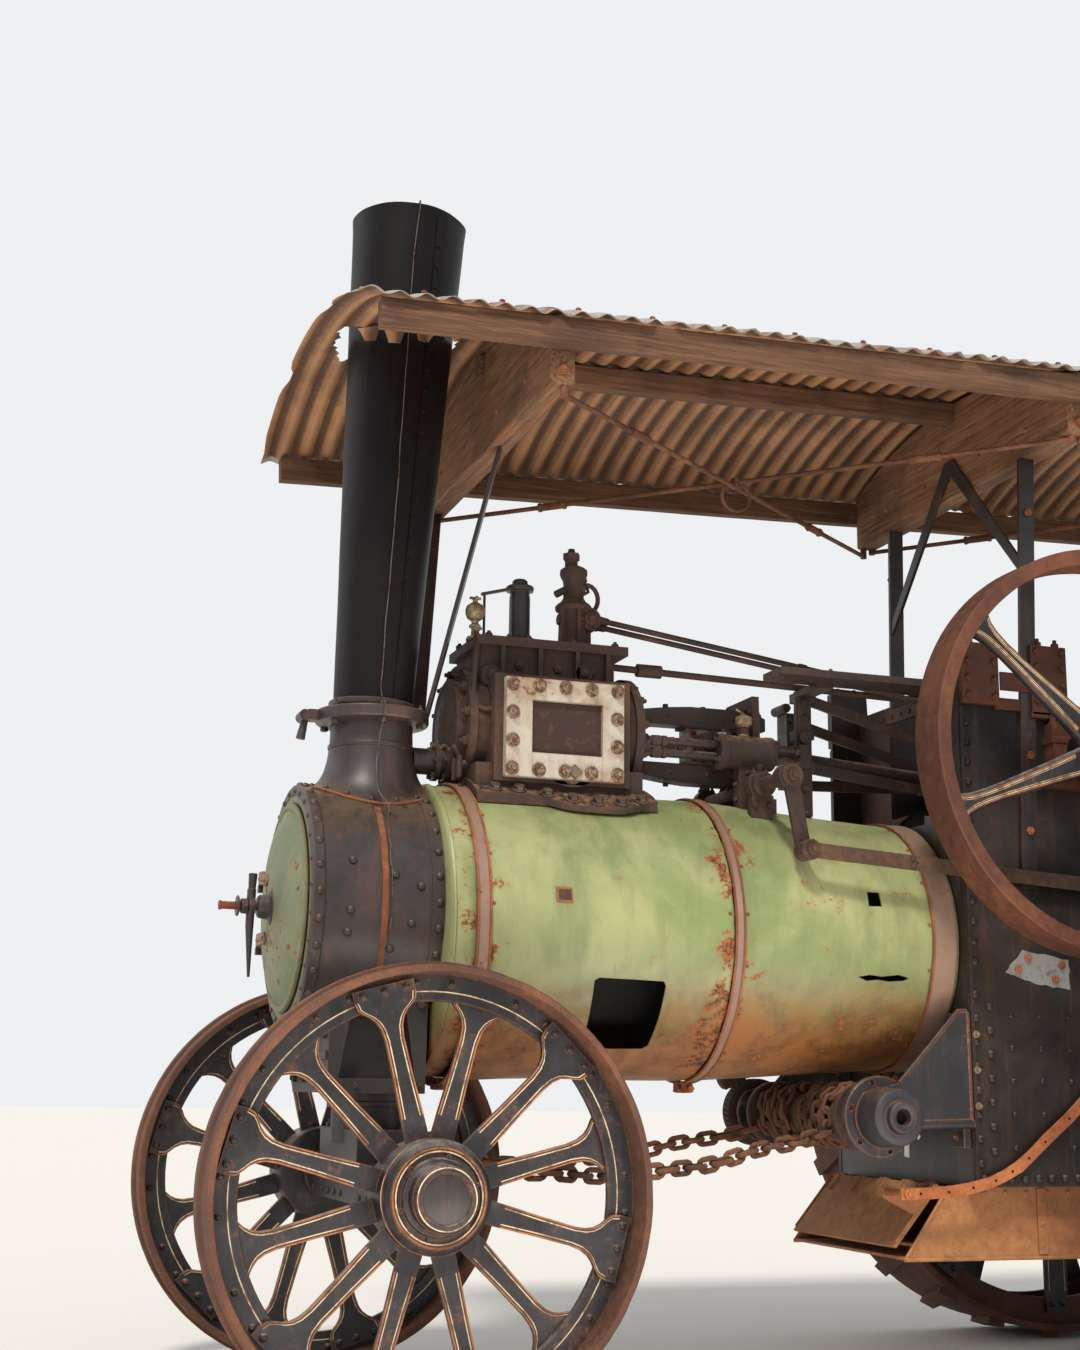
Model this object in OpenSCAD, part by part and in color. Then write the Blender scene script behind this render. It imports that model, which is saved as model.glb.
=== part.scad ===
// Steam traction engine of a family agricultural size, standing rusted in a yard.
// X is forward, Y is left, Z is up, all in millimetres, and the ground is Z = 0.
// Lengths along the engine are measured from the front axle, ahead is positive.

/* [Main] */
// Which sub-part is built
// Distance from the middle of the whole engine to the front axle
front_axle_x = 1637; // [1400:1800]

/* [Boiler] */
// Height of the boiler centre line
boiler_z = 1365; // [1200:1500]
// Outer radius of the boiler barrel
barrel_r = 332; // [300:420]
// Front end of the barrel, where the smokebox begins
barrel_front = -120; // [-300:0]
// Back end of the barrel, where the firebox begins
barrel_back = -1740; // [-2000:-1500]
// Height of the centre of the sagging cladding sheets
clad_z = 1318; // [1250:1400]
// Outer radius of the front cladding sheet
clad_front_r = 435; // [400:480]
// Outer radius of the rear cladding sheet at the firebox
clad_back_r = 388; // [360:450]
// Sheet thickness of the cladding
clad_t = 6; // [2:10]
// Joint between the front and rear cladding sheets
clad_joint = -965; // [-1200:-800]

/* [Smokebox and chimney] */
// Front face of the smokebox
smokebox_front = 262; // [200:350]
// Outer radius of the smokebox
smokebox_r = 352; // [300:400]
// Radius of the smokebox door
door_r = 304; // [250:330]
// Radius of the chimney at its foot
chimney_foot_r = 119; // [90:150]
// Radius of the chimney at its top
chimney_top_r = 180; // [140:220]
// Height of the foot of the chimney
chimney_z = 1972; // [1850:2100]
// Length of the chimney
chimney_len = 1615; // [1200:2000]
// Backward lean of the chimney in degrees
chimney_lean = 2.5; // [0:5]

/* [Cylinder and motion] */
// Height of the cylinder centre line
cyl_z = 1935; // [1850:2050]
// Front end of the cylinder block
cyl_front = -225; // [-300:-150]
// Back end of the cylinder block
cyl_back = -785; // [-900:-700]
// Place of the crankshaft behind the front axle
crank_x = -2150; // [-2300:-1900]
// Height of the crankshaft
crank_z = 1890; // [1700:2000]
// Distance of the valve rods from the middle of the engine
valve_rod_y = 120; // [115:140]
// Height of the middle of the valve rods
valve_rod_z = 1902; // [1880:1930]
// Radius of a valve rod
valve_rod_r = 13; // [8:18]
// Half depth of the slide bars from the cylinder centre line
slide_half = 124; // [110:140]
// Radius of the crankshaft
shaft_r = 48; // [30:70]
// Length of the crank throw
throw = 115; // [90:160]
// Turn of the seized crank in degrees
crank_turn = 200; // [0:360]
// Radius of the flywheel
flywheel_r = 633; // [550:720]
// Width of the flywheel rim
flywheel_w = 140; // [100:200]
// Outer face of the flywheel
flywheel_y = 680; // [550:750]

/* [Firebox and hornplates] */
// Half width over the firebox
firebox_y = 412; // [350:450]
// Back of the firebox
firebox_back = -2450; // [-2600:-2300]
// Bottom of the firebox
firebox_z = 590; // [500:700]
// Plate thickness of the hornplates
horn_t = 14; // [8:20]

/* [Front wheels] */
// Radius of a front wheel over its raised rib
front_r = 590; // [500:650]
// Outer face of a front wheel
front_y = 760; // [700:850]
// Width of a front tyre
front_w = 200; // [150:240]
// Number of spokes in a front wheel
front_spokes = 12; // [8:16]
// Half the angle the fore carriage can steer
steer_max = 22; // [15:30]

/* [Rear wheels] */
// Radius of a rear wheel over its strakes
rear_r = 870; // [750:950]
// Place of the rear axle behind the front axle
rear_x = -2800; // [-3000:-2600]
// Inner face of a rear wheel
rear_y = 702; // [650:800]
// Width of a rear tyre
rear_w = 380; // [300:450]
// Number of strakes round a rear tyre
strakes = 24; // [16:32]
// Number of spokes in each row of a rear wheel
rear_spokes = 10; // [8:14]

/* [Canopy] */
// Front edge of the canopy sheet
canopy_front = 240; // [100:400]
// Back edge of the canopy sheet
canopy_back = -3745; // [-4000:-3400]
// Half width of the canopy sheet
canopy_y = 760; // [700:900]
// Height of the sheet edge above the front axle
canopy_z = 2985; // [2800:3200]
// Rise of the canopy to its crown
canopy_rise = 165; // [100:250]
// Rise of the canopy towards the back in degrees
canopy_slope = 2.2; // [0:4]
// Place of the front roof beam behind the front axle
front_beam_x = -330; // [-450:-250]
// Place of the middle roof beam behind the front axle
mid_beam_x = -2048; // [-2150:-1950]
// Place of the rear roof beam behind the front axle
rear_beam_x = -3560; // [-3650:-3400]
// Pitch of the corrugations
wave_pitch = 76.2; // [70:130]
// Depth of the corrugations
wave_depth = 17; // [10:25]

/* [Steering] */
// Place of the steering barrel behind the front axle
barrel_x = -1440; // [-1550:-1350]
// Height of the steering barrel
barrel_z = 790; // [700:900]
// Radius of the worm wheel
worm_r = 112; // [90:130]
// Slope of the steering shaft in degrees
steer_tilt = 27.9; // [20:35]

/* [Fits] */
// Gap between pieces that seat on each other
seat = 0.3; // [0.1:0.1:0.5]

/* [Tender] */
// Half width of the tender
tender_y = 552; // [500:620]
// Back of the tender
tender_back = -3712; // [-3900:-3500]
// Height of the footplate
foot_z = 1000; // [900:1100]
// Height of the tender sides
tender_top = 1640; // [1400:1800]

/* [Hidden] */
$fn = 48;

iron = [0.20, 0.15, 0.14];
rust = [0.45, 0.24, 0.14];
green = [0.60, 0.66, 0.40];
black = [0.12, 0.11, 0.12];
wood = [0.42, 0.29, 0.19];

beam_places = [front_beam_x, mid_beam_x, rear_beam_x];

function wave_count() = floor((canopy_front - canopy_back) / wave_pitch);
function arch_r() = (canopy_y * canopy_y + canopy_rise * canopy_rise) / (2 * canopy_rise);
function clad_r(x) = x > clad_joint - 35 ? clad_front_r
  : clad_back_r + (clad_front_r - clad_back_r) * (x - barrel_back - 2) / (clad_joint - 37 - barrel_back);
function beam_low(x) = roof_z(x + 38) - 178;
function arch_z(y) = canopy_rise - arch_r() + sqrt(arch_r() * arch_r() - y * y);
function steer_at(l) = [barrel_x + (worm_r + 30 + seat) * sin(steer_tilt) - l * cos(steer_tilt), -450,
  barrel_z + (worm_r + 30 + seat) * cos(steer_tilt) + l * sin(steer_tilt)];
function roof_z(x) = canopy_z - x * tan(canopy_slope);

module place() { translate([front_axle_x, 0, 0]) children(); }
module both() { children(); mirror([0, 1, 0]) children(); }
module bx(x0, x1, y0, y1, z0, z1) {
  translate([min(x0, x1), min(y0, y1), min(z0, z1)])
    cube([abs(x1 - x0), abs(y1 - y0), abs(z1 - z0)]);
}
module cx(y, z, x0, x1, r, q = -1) {
  translate([min(x0, x1), y, z]) rotate([0, 90, 0])
    cylinder(h = abs(x1 - x0), r1 = r, r2 = q < 0 ? r : q);
}
module cy(x, z, y0, y1, r) {
  translate([x, min(y0, y1), z]) rotate([-90, 0, 0]) cylinder(h = abs(y1 - y0), r = r);
}
module cz(x, y, z0, z1, r, q = -1) {
  translate([x, y, z0]) cylinder(h = z1 - z0, r1 = r, r2 = q < 0 ? r : q);
}
module rod(a, b, r) {
  d = b - a;
  translate(a) rotate([0, acos(d[2] / norm(d)), atan2(d[1], d[0])]) cylinder(h = norm(d), r = r);
}
module flat(a, b, w, t, roll = 0) {
  d = b - a;
  translate(a) rotate([0, acos(d[2] / norm(d)), atan2(d[1], d[0])]) rotate([0, 0, roll])
    translate([-w / 2, -t / 2, 0]) cube([w, t, norm(d)]);
}
module side_plate(pts, y0, y1) {
  translate([0, max(y0, y1), 0]) rotate([90, 0, 0]) linear_extrude(abs(y1 - y0)) polygon(pts);
}
module end_plate(pts, x0, x1) {
  translate([min(x0, x1), 0, 0]) rotate([90, 0, 90]) linear_extrude(abs(x1 - x0)) polygon(pts);
}

// Boiler and its sheets

module clad_core(x0, x1, extra) {
  cx(0, clad_z, x0, x1, clad_r(x0) + extra, clad_r(x1) + extra);
}

module boiler_barrel() place() color(iron) {
  cx(0, boiler_z, barrel_back - 2 + seat, barrel_front, barrel_r);
  for (x = [-215, -995, -1700]) clad_core(x, x + 15, -clad_t);
}

module clad_tube(x0, x1, r0, r1) {
  difference() {
    cx(0, clad_z, x0, x1, r0, r1);
    cx(0, clad_z, x0 - 1, x1 + 1, r0 - clad_t, r1 - clad_t);
  }
}

module cladding_front() place() color(green) {
  difference() {
    clad_tube(clad_joint, barrel_front, clad_front_r, clad_front_r);
    bx(-766, -546, 250, 500, 976, 1168);
  }
}

module cladding_rear() place() color(green) {
  difference() {
    clad_tube(barrel_back + 2, clad_joint - 35, clad_back_r, clad_front_r);
    bx(-1474, -1429, 250, 500, 1408, 1452);
  }
}

module cladding_bands() place() color(rust) {
  for (b = [[-227, -186, clad_front_r], [-1001, -969, clad_front_r], [-1724, -1644, clad_back_r + 3]])
    difference() {
      cx(0, clad_z, b[0], b[1], b[2] + 4);
      cx(0, clad_z, b[0] - 1, b[1] + 1, min(clad_r(b[0]), clad_r(b[1])) - 1);
      clad_core(b[0] - 1, b[1] + 1, 0.2);
    }
}

// Smokebox and chimney

module smokebox() place() color(black) {
  difference() {
    cx(0, boiler_z, barrel_front, smokebox_front, smokebox_r);
    cx(0, boiler_z, barrel_front + 14, smokebox_front - 16, smokebox_r - 12);
    cx(0, boiler_z, barrel_front + 14, smokebox_front + 1, door_r - 14);
    cz(30, 0, boiler_z + 200, boiler_z + smokebox_r + 20, 100);
  }
  for (z = [-95, 95])
    bx(smokebox_front - 20, smokebox_front + 32, -smokebox_r + 8, -smokebox_r + 30,
       boiler_z + z - 22, boiler_z + z - seat);
}

module smokebox_door() place() color(green) {
  translate([smokebox_front + 2, 0, boiler_z]) rotate([0, 90, 0]) rotate_extrude()
    polygon([[0, 12], [door_r - 30, 0], [door_r, 0], [door_r, 16], [door_r - 30, 16],
             [door_r - 90, 36], [0, 52]]);
  for (z = [-95, 95]) {
    flat([smokebox_front + 22, -smokebox_r + 18, boiler_z + z + 21],
         [smokebox_front + 47, -70, boiler_z + z * 0.9], 34, 21);
    cz(smokebox_front + 17, -smokebox_r + 18, boiler_z + z, boiler_z + z + 40, 15);
  }
  cx(0, boiler_z, smokebox_front + 52, smokebox_front + 92, 36);
  cx(0, boiler_z, smokebox_front + 92, smokebox_front + 205, 12);
  cx(0, boiler_z, smokebox_front + 120, smokebox_front + 145, 24);
  rod([smokebox_front + 105, 0, boiler_z], [smokebox_front + 112, 30, boiler_z - 210], 11);
}

module chimney_base() place() color(black) {
  difference() {
    union() {
      translate([30, 0, 0]) rotate_extrude()
        polygon([[88, 1640], [200, 1640], [190, 1702], [146, 1750], [126, 1810], [124, 1925],
                 [172, 1925], [172, 1960], [88, 1960]]);
      for (a = [30 : 60 : 330]) translate([30, 0, 1960]) rotate([0, 0, a])
        translate([150, 0, 0]) cylinder(r = 11, h = 16, $fn = 6);
      bx(200, 262, -28, 28, 1860, 1950);
    }
    cx(0, boiler_z, -300, 400, smokebox_r + 0.1);
  }
}

module chimney() place() color(black) {
  difference() {
    translate([30, 0, chimney_z - 22]) rotate([0, -chimney_lean, 0]) difference() {
      union() {
        cylinder(h = chimney_len, r1 = chimney_foot_r, r2 = chimney_top_r);
        cylinder(h = 36, r = chimney_foot_r + 14);
      }
      translate([0, 0, -1])
        cylinder(h = chimney_len + 2, r1 = chimney_foot_r - 8, r2 = chimney_top_r - 8);
    }
    bx(-300, 300, -300, 300, chimney_z - 60, chimney_z - 12);
  }
}

module exhaust_pipe() place() color(black) {
  difference() {
    cx(20, 1822, cyl_front + 22, -90, 40);
    cz(30, 0, 1750, 1810, 146.2, 126.2);
    cz(30, 0, 1810, 1925, 126.2, 124.2);
  }
  cx(20, 1822, -170, -155, 58);
  cx(20, 1822, cyl_front + 22, cyl_front + 36, 58);
}

// Cylinder block and fittings

module cylinder_block() place() color(rust) {
  difference() {
    union() {
      cx(0, cyl_z, cyl_back + 20, cyl_front - 18, 178);
      cx(0, cyl_z, cyl_front - 24, cyl_front, 192);
      cx(0, cyl_z, cyl_back, cyl_back + 26, 192);
      bx(-720, -290, 0, 224, 1745, 2070);
      bx(-700, -270, -130, 140, 2000, 2190);
      bx(-740, -250, -150, 160, 2172, 2200);
      bx(-770, -240, -205, 205, 1640, 1800);
      bx(-720, -290, -224, 0, 1780, 1990);
    }
    cx(0, boiler_z, -900, 0, clad_front_r - 30);
    cx(0, clad_z, -900, 0, clad_front_r + 0.2);
    cx(0, clad_z, -231, 0, clad_front_r + 4 + seat);
  }
  intersection() {
    difference() {
      cx(0, clad_z, -800, -232, clad_front_r + 26);
      cx(0, clad_z, -801, -204, clad_front_r + 0.2);
    }
    bx(-800, -205, -250, 250, 1600, 1800);
  }
  cx(0, cyl_z, cyl_front, cyl_front + 22, 150);
  cx(valve_rod_y, valve_rod_z, cyl_back - 14, cyl_back + 6, 50);
  cx(valve_rod_y, valve_rod_z, cyl_back - 30, cyl_back - 8, 38);
}

module valve_chest_cover() place() color(rust) {
  difference() {
    bx(-692, -317, 224, 250, 1757, 2057);
    bx(-622, -400, 236, 260, 1832, 1990);
  }
}

module safety_valve() place() color(iron) {
  cz(-415, 60, 2200, 2222, 52);
  cz(-415, 60, 2222, 2370, 32);
  cz(-415, 60, 2370, 2386, 44);
  cz(-415, 60, 2386, 2410, 26);
}

module regulator_tower() place() color(iron) {
  cz(-600, 40, 2200, 2226, 62);
  cz(-600, 40, 2226, 2330, 46);
  cz(-600, 40, 2330, 2350, 58);
  cz(-600, 40, 2350, 2440, 34);
  cz(-590, 40, 2440, 2470, 44);
  cz(-590, 40, 2470, 2535, 24);
  rod([-640, 40, 2440], [-540, 40, 2380], 12);
  cx(40, 2300, -680, -600, 28);
}

module lubricator() place() color(iron) {
  cz(-262, 90, 2200, 2216, 34);
  cz(-262, 90, 2216, 2290, 20);
  cz(-262, 90, 2290, 2316, 30);
  cz(-262, 90, 2316, 2332, 14);
}

regulator_line = [[[-681.9, 54, 2306], [-2288, 150, 2062]], [[-681.9, 27, 2292], [-2288, 185, 2030]]];

module regulator_rods() place() color(iron) {
  for (r = regulator_line) rod(r[0], r[1], 9);
  rod([-700 - seat, 80, 2151], [-1850 + seat, 80, 2127], 11);
  cx(80, 2148.5, -880, -800, 21);
}

// Motion, seized solid

module slide_bars() place() color(iron) {
  for (s = [-1, 1])
    side_plate([for (p = [[cyl_back, 62], [cyl_back, slide_half - 26], [-1000, slide_half], [-1200, slide_half],
                          [-1265, slide_half - 22], [-1265, 62]]) [p[0], cyl_z - 3 + s * p[1]]], -34, 34);
}

module motion_bracket() place() color(rust) {
  difference() {
    union() {
      end_plate([[-150, 1660], [150, 1660], [110, 1800], [100, 2092], [-100, 2092], [-110, 1800]],
                -1212, -1188);
      both() bx(-1245, -1141, 60, 150, 1680, 1756);
      bx(-1176, -1121, valve_rod_y - 22, valve_rod_y + 22, 1700, valve_rod_z - 30);
      cx(valve_rod_y, valve_rod_z, -1239, -1052, 52);
      cx(valve_rod_y, valve_rod_z, -1072, -1052, 56);
      cz(-1148, valve_rod_y, valve_rod_z + 40, valve_rod_z + 86, 17);
      cz(-1148, valve_rod_y, valve_rod_z + 86, valve_rod_z + 110, 24);
    }
    clad_core(-1300, -1100, 0.2);
    bx(-1300, -1100, -60, 60, cyl_z - 3 - slide_half - seat, cyl_z - 3 + slide_half + seat);
    for (s = [-1, 1]) cx(valve_rod_y, valve_rod_z + s * 19, -1400, -1000, valve_rod_r + seat);
    cy(-1162, 1785, -400, 400, 22 + seat);
  }
  difference() {
    bx(-1864, -1850, -firebox_y, firebox_y, 1700, 2150);
    cx(0, boiler_z, -1900, -1800, firebox_y);
    bx(-1900, -1800, -200, 112, 1770, 2104);
    for (r = regulator_line) rod(r[0], r[1], 13);
  }
}

module crosshead() place() color(iron) {
  cx(0, 1932, -1020, cyl_back, 22);
  bx(-1100, -990, -30, 30, 1872, 1992);
  cy(-1050, 1932, -62, 62, 24);
}

module connecting_rod() place() color(iron) {
  pin = [crank_x + throw * cos(crank_turn), crank_z + throw * sin(crank_turn)];
  difference() {
    for (y = [-44, 44]) {
      flat([-1050, y, 1932], [-1220, y, 1928], 44, 14);
      cy(-1050, 1932, y - 7, y + 7, 40);
    }
    cy(-1050, 1932, -60, 60, 24 + seat);
  }
  rod([-1200, 0, 1928], [pin[0] + 64, 0, pin[1]], 26);
  bx(-1240, -1190, -51, 51, 1905, 1952);
  difference() {
    bx(pin[0] - 68, pin[0] + 68, -40, 40, pin[1] - 66, pin[1] + 66);
    cy(pin[0], pin[1], -50, 50, 42 + seat);
  }
}

module valve_gear() place() color(rust) {
  for (y = [-150, -110]) {
    difference() {
      cy(crank_x, crank_z, y - 14, y + 14, 105);
      cy(crank_x, crank_z, y - 15, y + 15, shaft_r + seat);
    }
    flat([crank_x + 95, y, crank_z + (y < -120 ? 20 : -20)], [-1440, y, y < -120 ? 2075 : 1850], 34, 12);
  }
  bx(-1450, -1405, -166, -94, 1840, 2090);
  flat([-1425, -130, 1960], [cyl_back - 0.5, -130, 1950], 26, 22);
  difference() {
    bx(-1395, -1340, 90, 104, 1680, 2110);
    clad_core(-1450, -1300, 0.2);
  }
  flat([-1400, 60, 2105], [-1840, 60, 1990], 34, 14);
  flat([-1400, 60, 1880], [-1830, 60, 1830], 34, 14);
  for (z = [1862, 1965, 2088]) bx(-1405, -1345, 50, 104, z, z + 30);
  bx(-1850 + seat, -1180, 200, 330, 2120, 2142);
  bx(-1395, -1340, 90, 260, 2100, 2120);
  for (s = [-1, 1]) cx(valve_rod_y, valve_rod_z + s * 19, -1350, cyl_back - 30 - seat, valve_rod_r);
  bx(-1370, -1338, 92, valve_rod_y + 16, valve_rod_z - 38, valve_rod_z + 38);
}

module reversing_shaft() place() color(iron) {
  cy(-1162, 1785, -330, 420, 22);
  cy(-1162, 1785, 380, 425, 40);
  flat([-1162, 412, 1785], [-1205, 412, 1560], 16, 46, 90);
  difference() {
    both() side_plate([[-1200, 1640], [-1120, 1640], [-1135, 1815], [-1190, 1815]], 190, 220);
    clad_core(-1300, -1100, 0.2);
    cy(-1162, 1785, -340, 430, 22);
  }
}

module reversing_link() place() color(iron) {
  flat([-1205, 455, 1560], [crank_x - 180, 455, 1488], 44, 14);
  cy(-1205, 1560, 420, 462, 26);
  cy(crank_x - 180, 1488, firebox_y + horn_t, 448, 14);
}

module crankshaft() place() color(iron) {
  pin = [crank_x + throw * cos(crank_turn), crank_z + throw * sin(crank_turn)];
  cy(crank_x, crank_z, 70, flywheel_y + 20, shaft_r);
  cy(crank_x, crank_z, -585, -70, shaft_r);
  cy(pin[0], pin[1], -70, 70, 42);
  both() translate([crank_x, 50, crank_z]) rotate([0, -crank_turn, 0])
    bx(-95, throw + 50, 0, 34, -58, 58);
}

module crank_bearings() place() color(rust) {
  both() difference() {
    union() {
      bx(crank_x - 105, crank_x + 105, firebox_y + horn_t, firebox_y + 70, crank_z - 90, crank_z + 110);
      bx(crank_x - 70, crank_x + 70, firebox_y + horn_t, firebox_y + 66, crank_z + 110, crank_z + 150);
    }
    cy(crank_x, crank_z, 300, 600, shaft_r + seat);
  }
}

spoke_half = [[88, 46], [200, 38], [flywheel_r - 200, 28], [flywheel_r - 110, 29], [flywheel_r - 70, 40],
  [flywheel_r - 45, 66], [flywheel_r - 34, 82]];

module flywheel() place() color(rust) {
  y0 = flywheel_y - flywheel_w;
  translate([crank_x, y0, crank_z]) rotate([-90, 0, 0]) {
    rotate_extrude() polygon([[flywheel_r - 46, 6], [flywheel_r, 0], [flywheel_r, flywheel_w],
      [flywheel_r - 46, flywheel_w - 6], [flywheel_r - 28, flywheel_w / 2]]);
    difference() {
      translate([0, 0, -10]) cylinder(h = flywheel_w + 20, r = 98);
      translate([0, 0, -11]) cylinder(h = flywheel_w + 22, r = shaft_r + seat);
    }
    for (i = [0 : 5]) rotate([0, 0, i * 60 - 20.6]) translate([0, 0, flywheel_w / 2 - 17])
      linear_extrude(34) polygon(concat([for (p = spoke_half) [p[0], -p[1]]],
        [for (i = [len(spoke_half) - 1 : -1 : 0]) spoke_half[i]]));
  }
}

module gear(x, z, r, n, y0, y1, bore) {
  translate([x, y0, z]) rotate([-90, 0, 0]) difference() {
    linear_extrude(y1 - y0) polygon([for (i = [0 : n - 1]) for (k = [[0, -9], [0.25, 9], [0.5, 9], [0.75, -9]])
      [(r + k[1]) * cos((i + k[0]) * 360 / n), (r + k[1]) * sin((i + k[0]) * 360 / n)]]);
    translate([0, 0, -1]) cylinder(h = y1 - y0 + 2, r = bore);
    if (r > 150) translate([0, 0, 20]) difference() {
      cylinder(h = y1 - y0, r = r - 50);
      translate([0, 0, -1]) cylinder(h = y1 - y0 + 2, r = bore + 40);
    }
  }
}

module gears() place() color(iron) {
  gear(crank_x, crank_z, 94, 16, -550, -490, shaft_r + seat);
  gear(-2400, 1580, 270, 46, -550, -490, 30);
  gear(-2400, 1580, 95, 16, -612, -549, 30);
  gear(-2560, 1300, 218, 36, -612, -566, 30);
  gear(-2560, 1300, 100, 16, -680, -611, 30);
  gear(rear_x, rear_r, 383, 64, -680, -624, 60 + seat);
  difference() {
    cy(rear_x, rear_r, -693, -533, 100);
    cy(rear_x, rear_r, -700, -500, 60 + seat);
  }
  cy(-2400, 1580, -618, -413, 38 - seat);
  cy(-2560, 1300, -686, -413, 38 - seat);
}

// Firebox, hornplates and ash pan

module horn_side() {
  side_plate([[barrel_back, firebox_z], [barrel_back, 1300], [barrel_back, 2250], [crank_x + 270, 2250],
              [crank_x + 262, 2080], [crank_x + 164, 2080], [crank_x + 156, 2262], [crank_x + 20, 2262],
              [crank_x + 6, 2060], [crank_x - 210, 2000], [-2440, 1700], [-2520, 1620], [-2980, 1010], [-2980, 600],
              [firebox_back, firebox_z]], firebox_y, firebox_y + horn_t);
}

module hornplate_left() place() color(black) {
  difference() {
    horn_side();
    cy(rear_x, rear_r, 300, 500, 60 + seat);
    cy(crank_x, crank_z, 300, 500, shaft_r + seat);
  }
}

module hornplate_right() place() color(black) {
  difference() {
    mirror([0, 1, 0]) horn_side();
    cy(rear_x, rear_r, -500, -300, 60 + seat);
    cy(crank_x, crank_z, -500, -300, shaft_r + seat);
    cy(-2400, 1580, -500, -300, 38);
    cy(-2560, 1300, -500, -300, 38);
  }
}

module firebox() place() color(iron) {
  difference() {
    union() {
      bx(firebox_back, barrel_back - 2, -firebox_y, firebox_y, firebox_z, boiler_z);
      cx(0, boiler_z, firebox_back, barrel_back - 2, firebox_y);
    }
    bx(firebox_back - 1, barrel_back, -200, 200, boiler_z + barrel_r, boiler_z + firebox_y + 1);
    bx(firebox_back + 70, barrel_back - 80, -firebox_y + 80, firebox_y - 80, firebox_z - 1, 1480);
    bx(firebox_back - 1, firebox_back + 80, -125, 125, 1090, 1290);
  }
  difference() {
    bx(firebox_back - 10, firebox_back, -170, 170, 1050, 1330);
    bx(firebox_back - 11, firebox_back + 1, -125, 125, 1090, 1290);
  }
  for (z = [1072, 1262]) bx(firebox_back - 30, firebox_back, 158, 186, z, z + 20 - seat);
}

module firehole_door() place() color(rust) {
  bx(firebox_back - 26, firebox_back - 10.5, -150, 150, 1065, 1315);
  for (z = [1092, 1282]) {
    cz(firebox_back - 22.5, 172, z, z + 30, 12);
    bx(firebox_back - 34, firebox_back - 26, -120, 165, z, z + 30);
  }
  bx(firebox_back - 70, firebox_back - 24, -128, -112, 1180, 1196);
}

module ash_pan() place() color(rust) {
  both() side_plate([[-1535, 380], [-1690, firebox_z], [-2420, firebox_z], [-2420, 380]], 352, 360);
  bx(-2420, -1535, -355, 355, 380, 388);
  bx(-2420, -2412, -355, 355, 384, firebox_z);
  side_plate([[-1676, 588], [-1524, 412], [-1516, 418], [-1668, 594]], -330, 330);
  side_plate([[-1650, 580], [-1490, 592], [-1485, 558], [-1600, 500]], 318, 330);
  cy(-1678, 582, -354, 354, 7);
}

module damper_rod() place() color(rust) {
  pts = [[-1480, 572], [-1640, 578], [-1780, 604], [-1880, 650], [-1980, 730], [-2060, 792], [-2200, 915],
         [-2440, 1080]];
  last = len(pts) - 1;
  side_plate(concat([for (i = [0 : last]) pts[i] + [0, 17]], [for (i = [last : -1 : 0]) pts[i] - [0, 17]]),
             442, 450);
  cy(-1500, 573, 330, 450, 10);
  cy(-2440, 1080, firebox_y + horn_t, 446, 10);
}

// Steering

module steering_barrel() place() color(rust) {
  cy(barrel_x, barrel_z, -440, 560, 30);
  cy(barrel_x, barrel_z, -300, 330, 66);
  for (y = [-300, 300]) cy(barrel_x, barrel_z, y - 12, y + 12, 100);
  difference() {
    cy(barrel_x, barrel_z, 392, 413, 118);
    for (a = [15 : 60 : 315]) cy(barrel_x + 100 * cos(a), barrel_z + 100 * sin(a), 380, 420, 9);
  }
  both() for (k = [0 : 5]) translate([barrel_x, 40 + k * 33, barrel_z]) rotate([90, 0, 0])
    rotate_extrude() translate([75, 0]) circle(r = 12, $fn = 16);
  cy(barrel_x, barrel_z, 412, 540, 82);
  cy(barrel_x, barrel_z, -475, -425, worm_r);
}

module steering_brackets() place() color(black) {
  both() difference() {
    side_plate([[barrel_x + 60, 730], [barrel_x + 40, 850], [-1640, 1097], [-1738, 1097], [-1738, 700],
                [-1640, 740]], 356, 380);
    cy(barrel_x, barrel_z, 300, 400, 30 + seat);
  }
  both() bx(barrel_back - 2 + seat, -1716, 335, firebox_y - seat, 700, 1097);
  for (l = [460, 1150]) difference() {
    p = steer_at(l);
    bx(p[0] - 22, p[0] + 22, -476, -firebox_y - horn_t, p[2] - 30, p[2] + 30);
    rod(steer_at(l - 100), steer_at(l + 100), 14 + seat);
  }
}

module steering_column() place() color(iron) {
  rod(steer_at(-70), steer_at(1570), 14);
  rod(steer_at(-60), steer_at(60), 30);
  translate(steer_at(1540)) rotate([0, steer_tilt - 90, 0]) {
    rotate_extrude($fn = 36) translate([160, 0]) circle(r = 12, $fn = 16);
    for (a = [0 : 90 : 270]) rotate([0, 0, a]) rotate([0, 90, 0]) cylinder(r = 9, h = 160);
    cylinder(r = 26, h = 50, center = true);
  }
}

module chain_run(a, b, link) {
  d = b - a;
  n = floor(norm(d) / (link * 0.74));
  for (i = [0 : n - 1]) {
    p = a + d * ((i + 0.5) / n);
    translate(p) rotate([0, acos(d[2] / norm(d)), atan2(d[1], d[0])]) rotate([0, 0, i % 2 * 90])
      difference() {
        cube([34, 11, link], center = true);
        cube([13, 13, link - 22], center = true);
      }
  }
}

module steering_chain_left() place() color(rust) {
  chain_run([-86.5, 470, 640], [-760, 370, 650], 62);
  chain_run([-760, 370, 650], [-1362, 250, 742], 62);
}

module steering_chain_right() place() color(rust) {
  chain_run([-86.5, -470, 640], [-760, -370, 650], 62);
  chain_run([-760, -370, 650], [-1362, -250, 742], 62);
}

// Fore carriage

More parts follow.
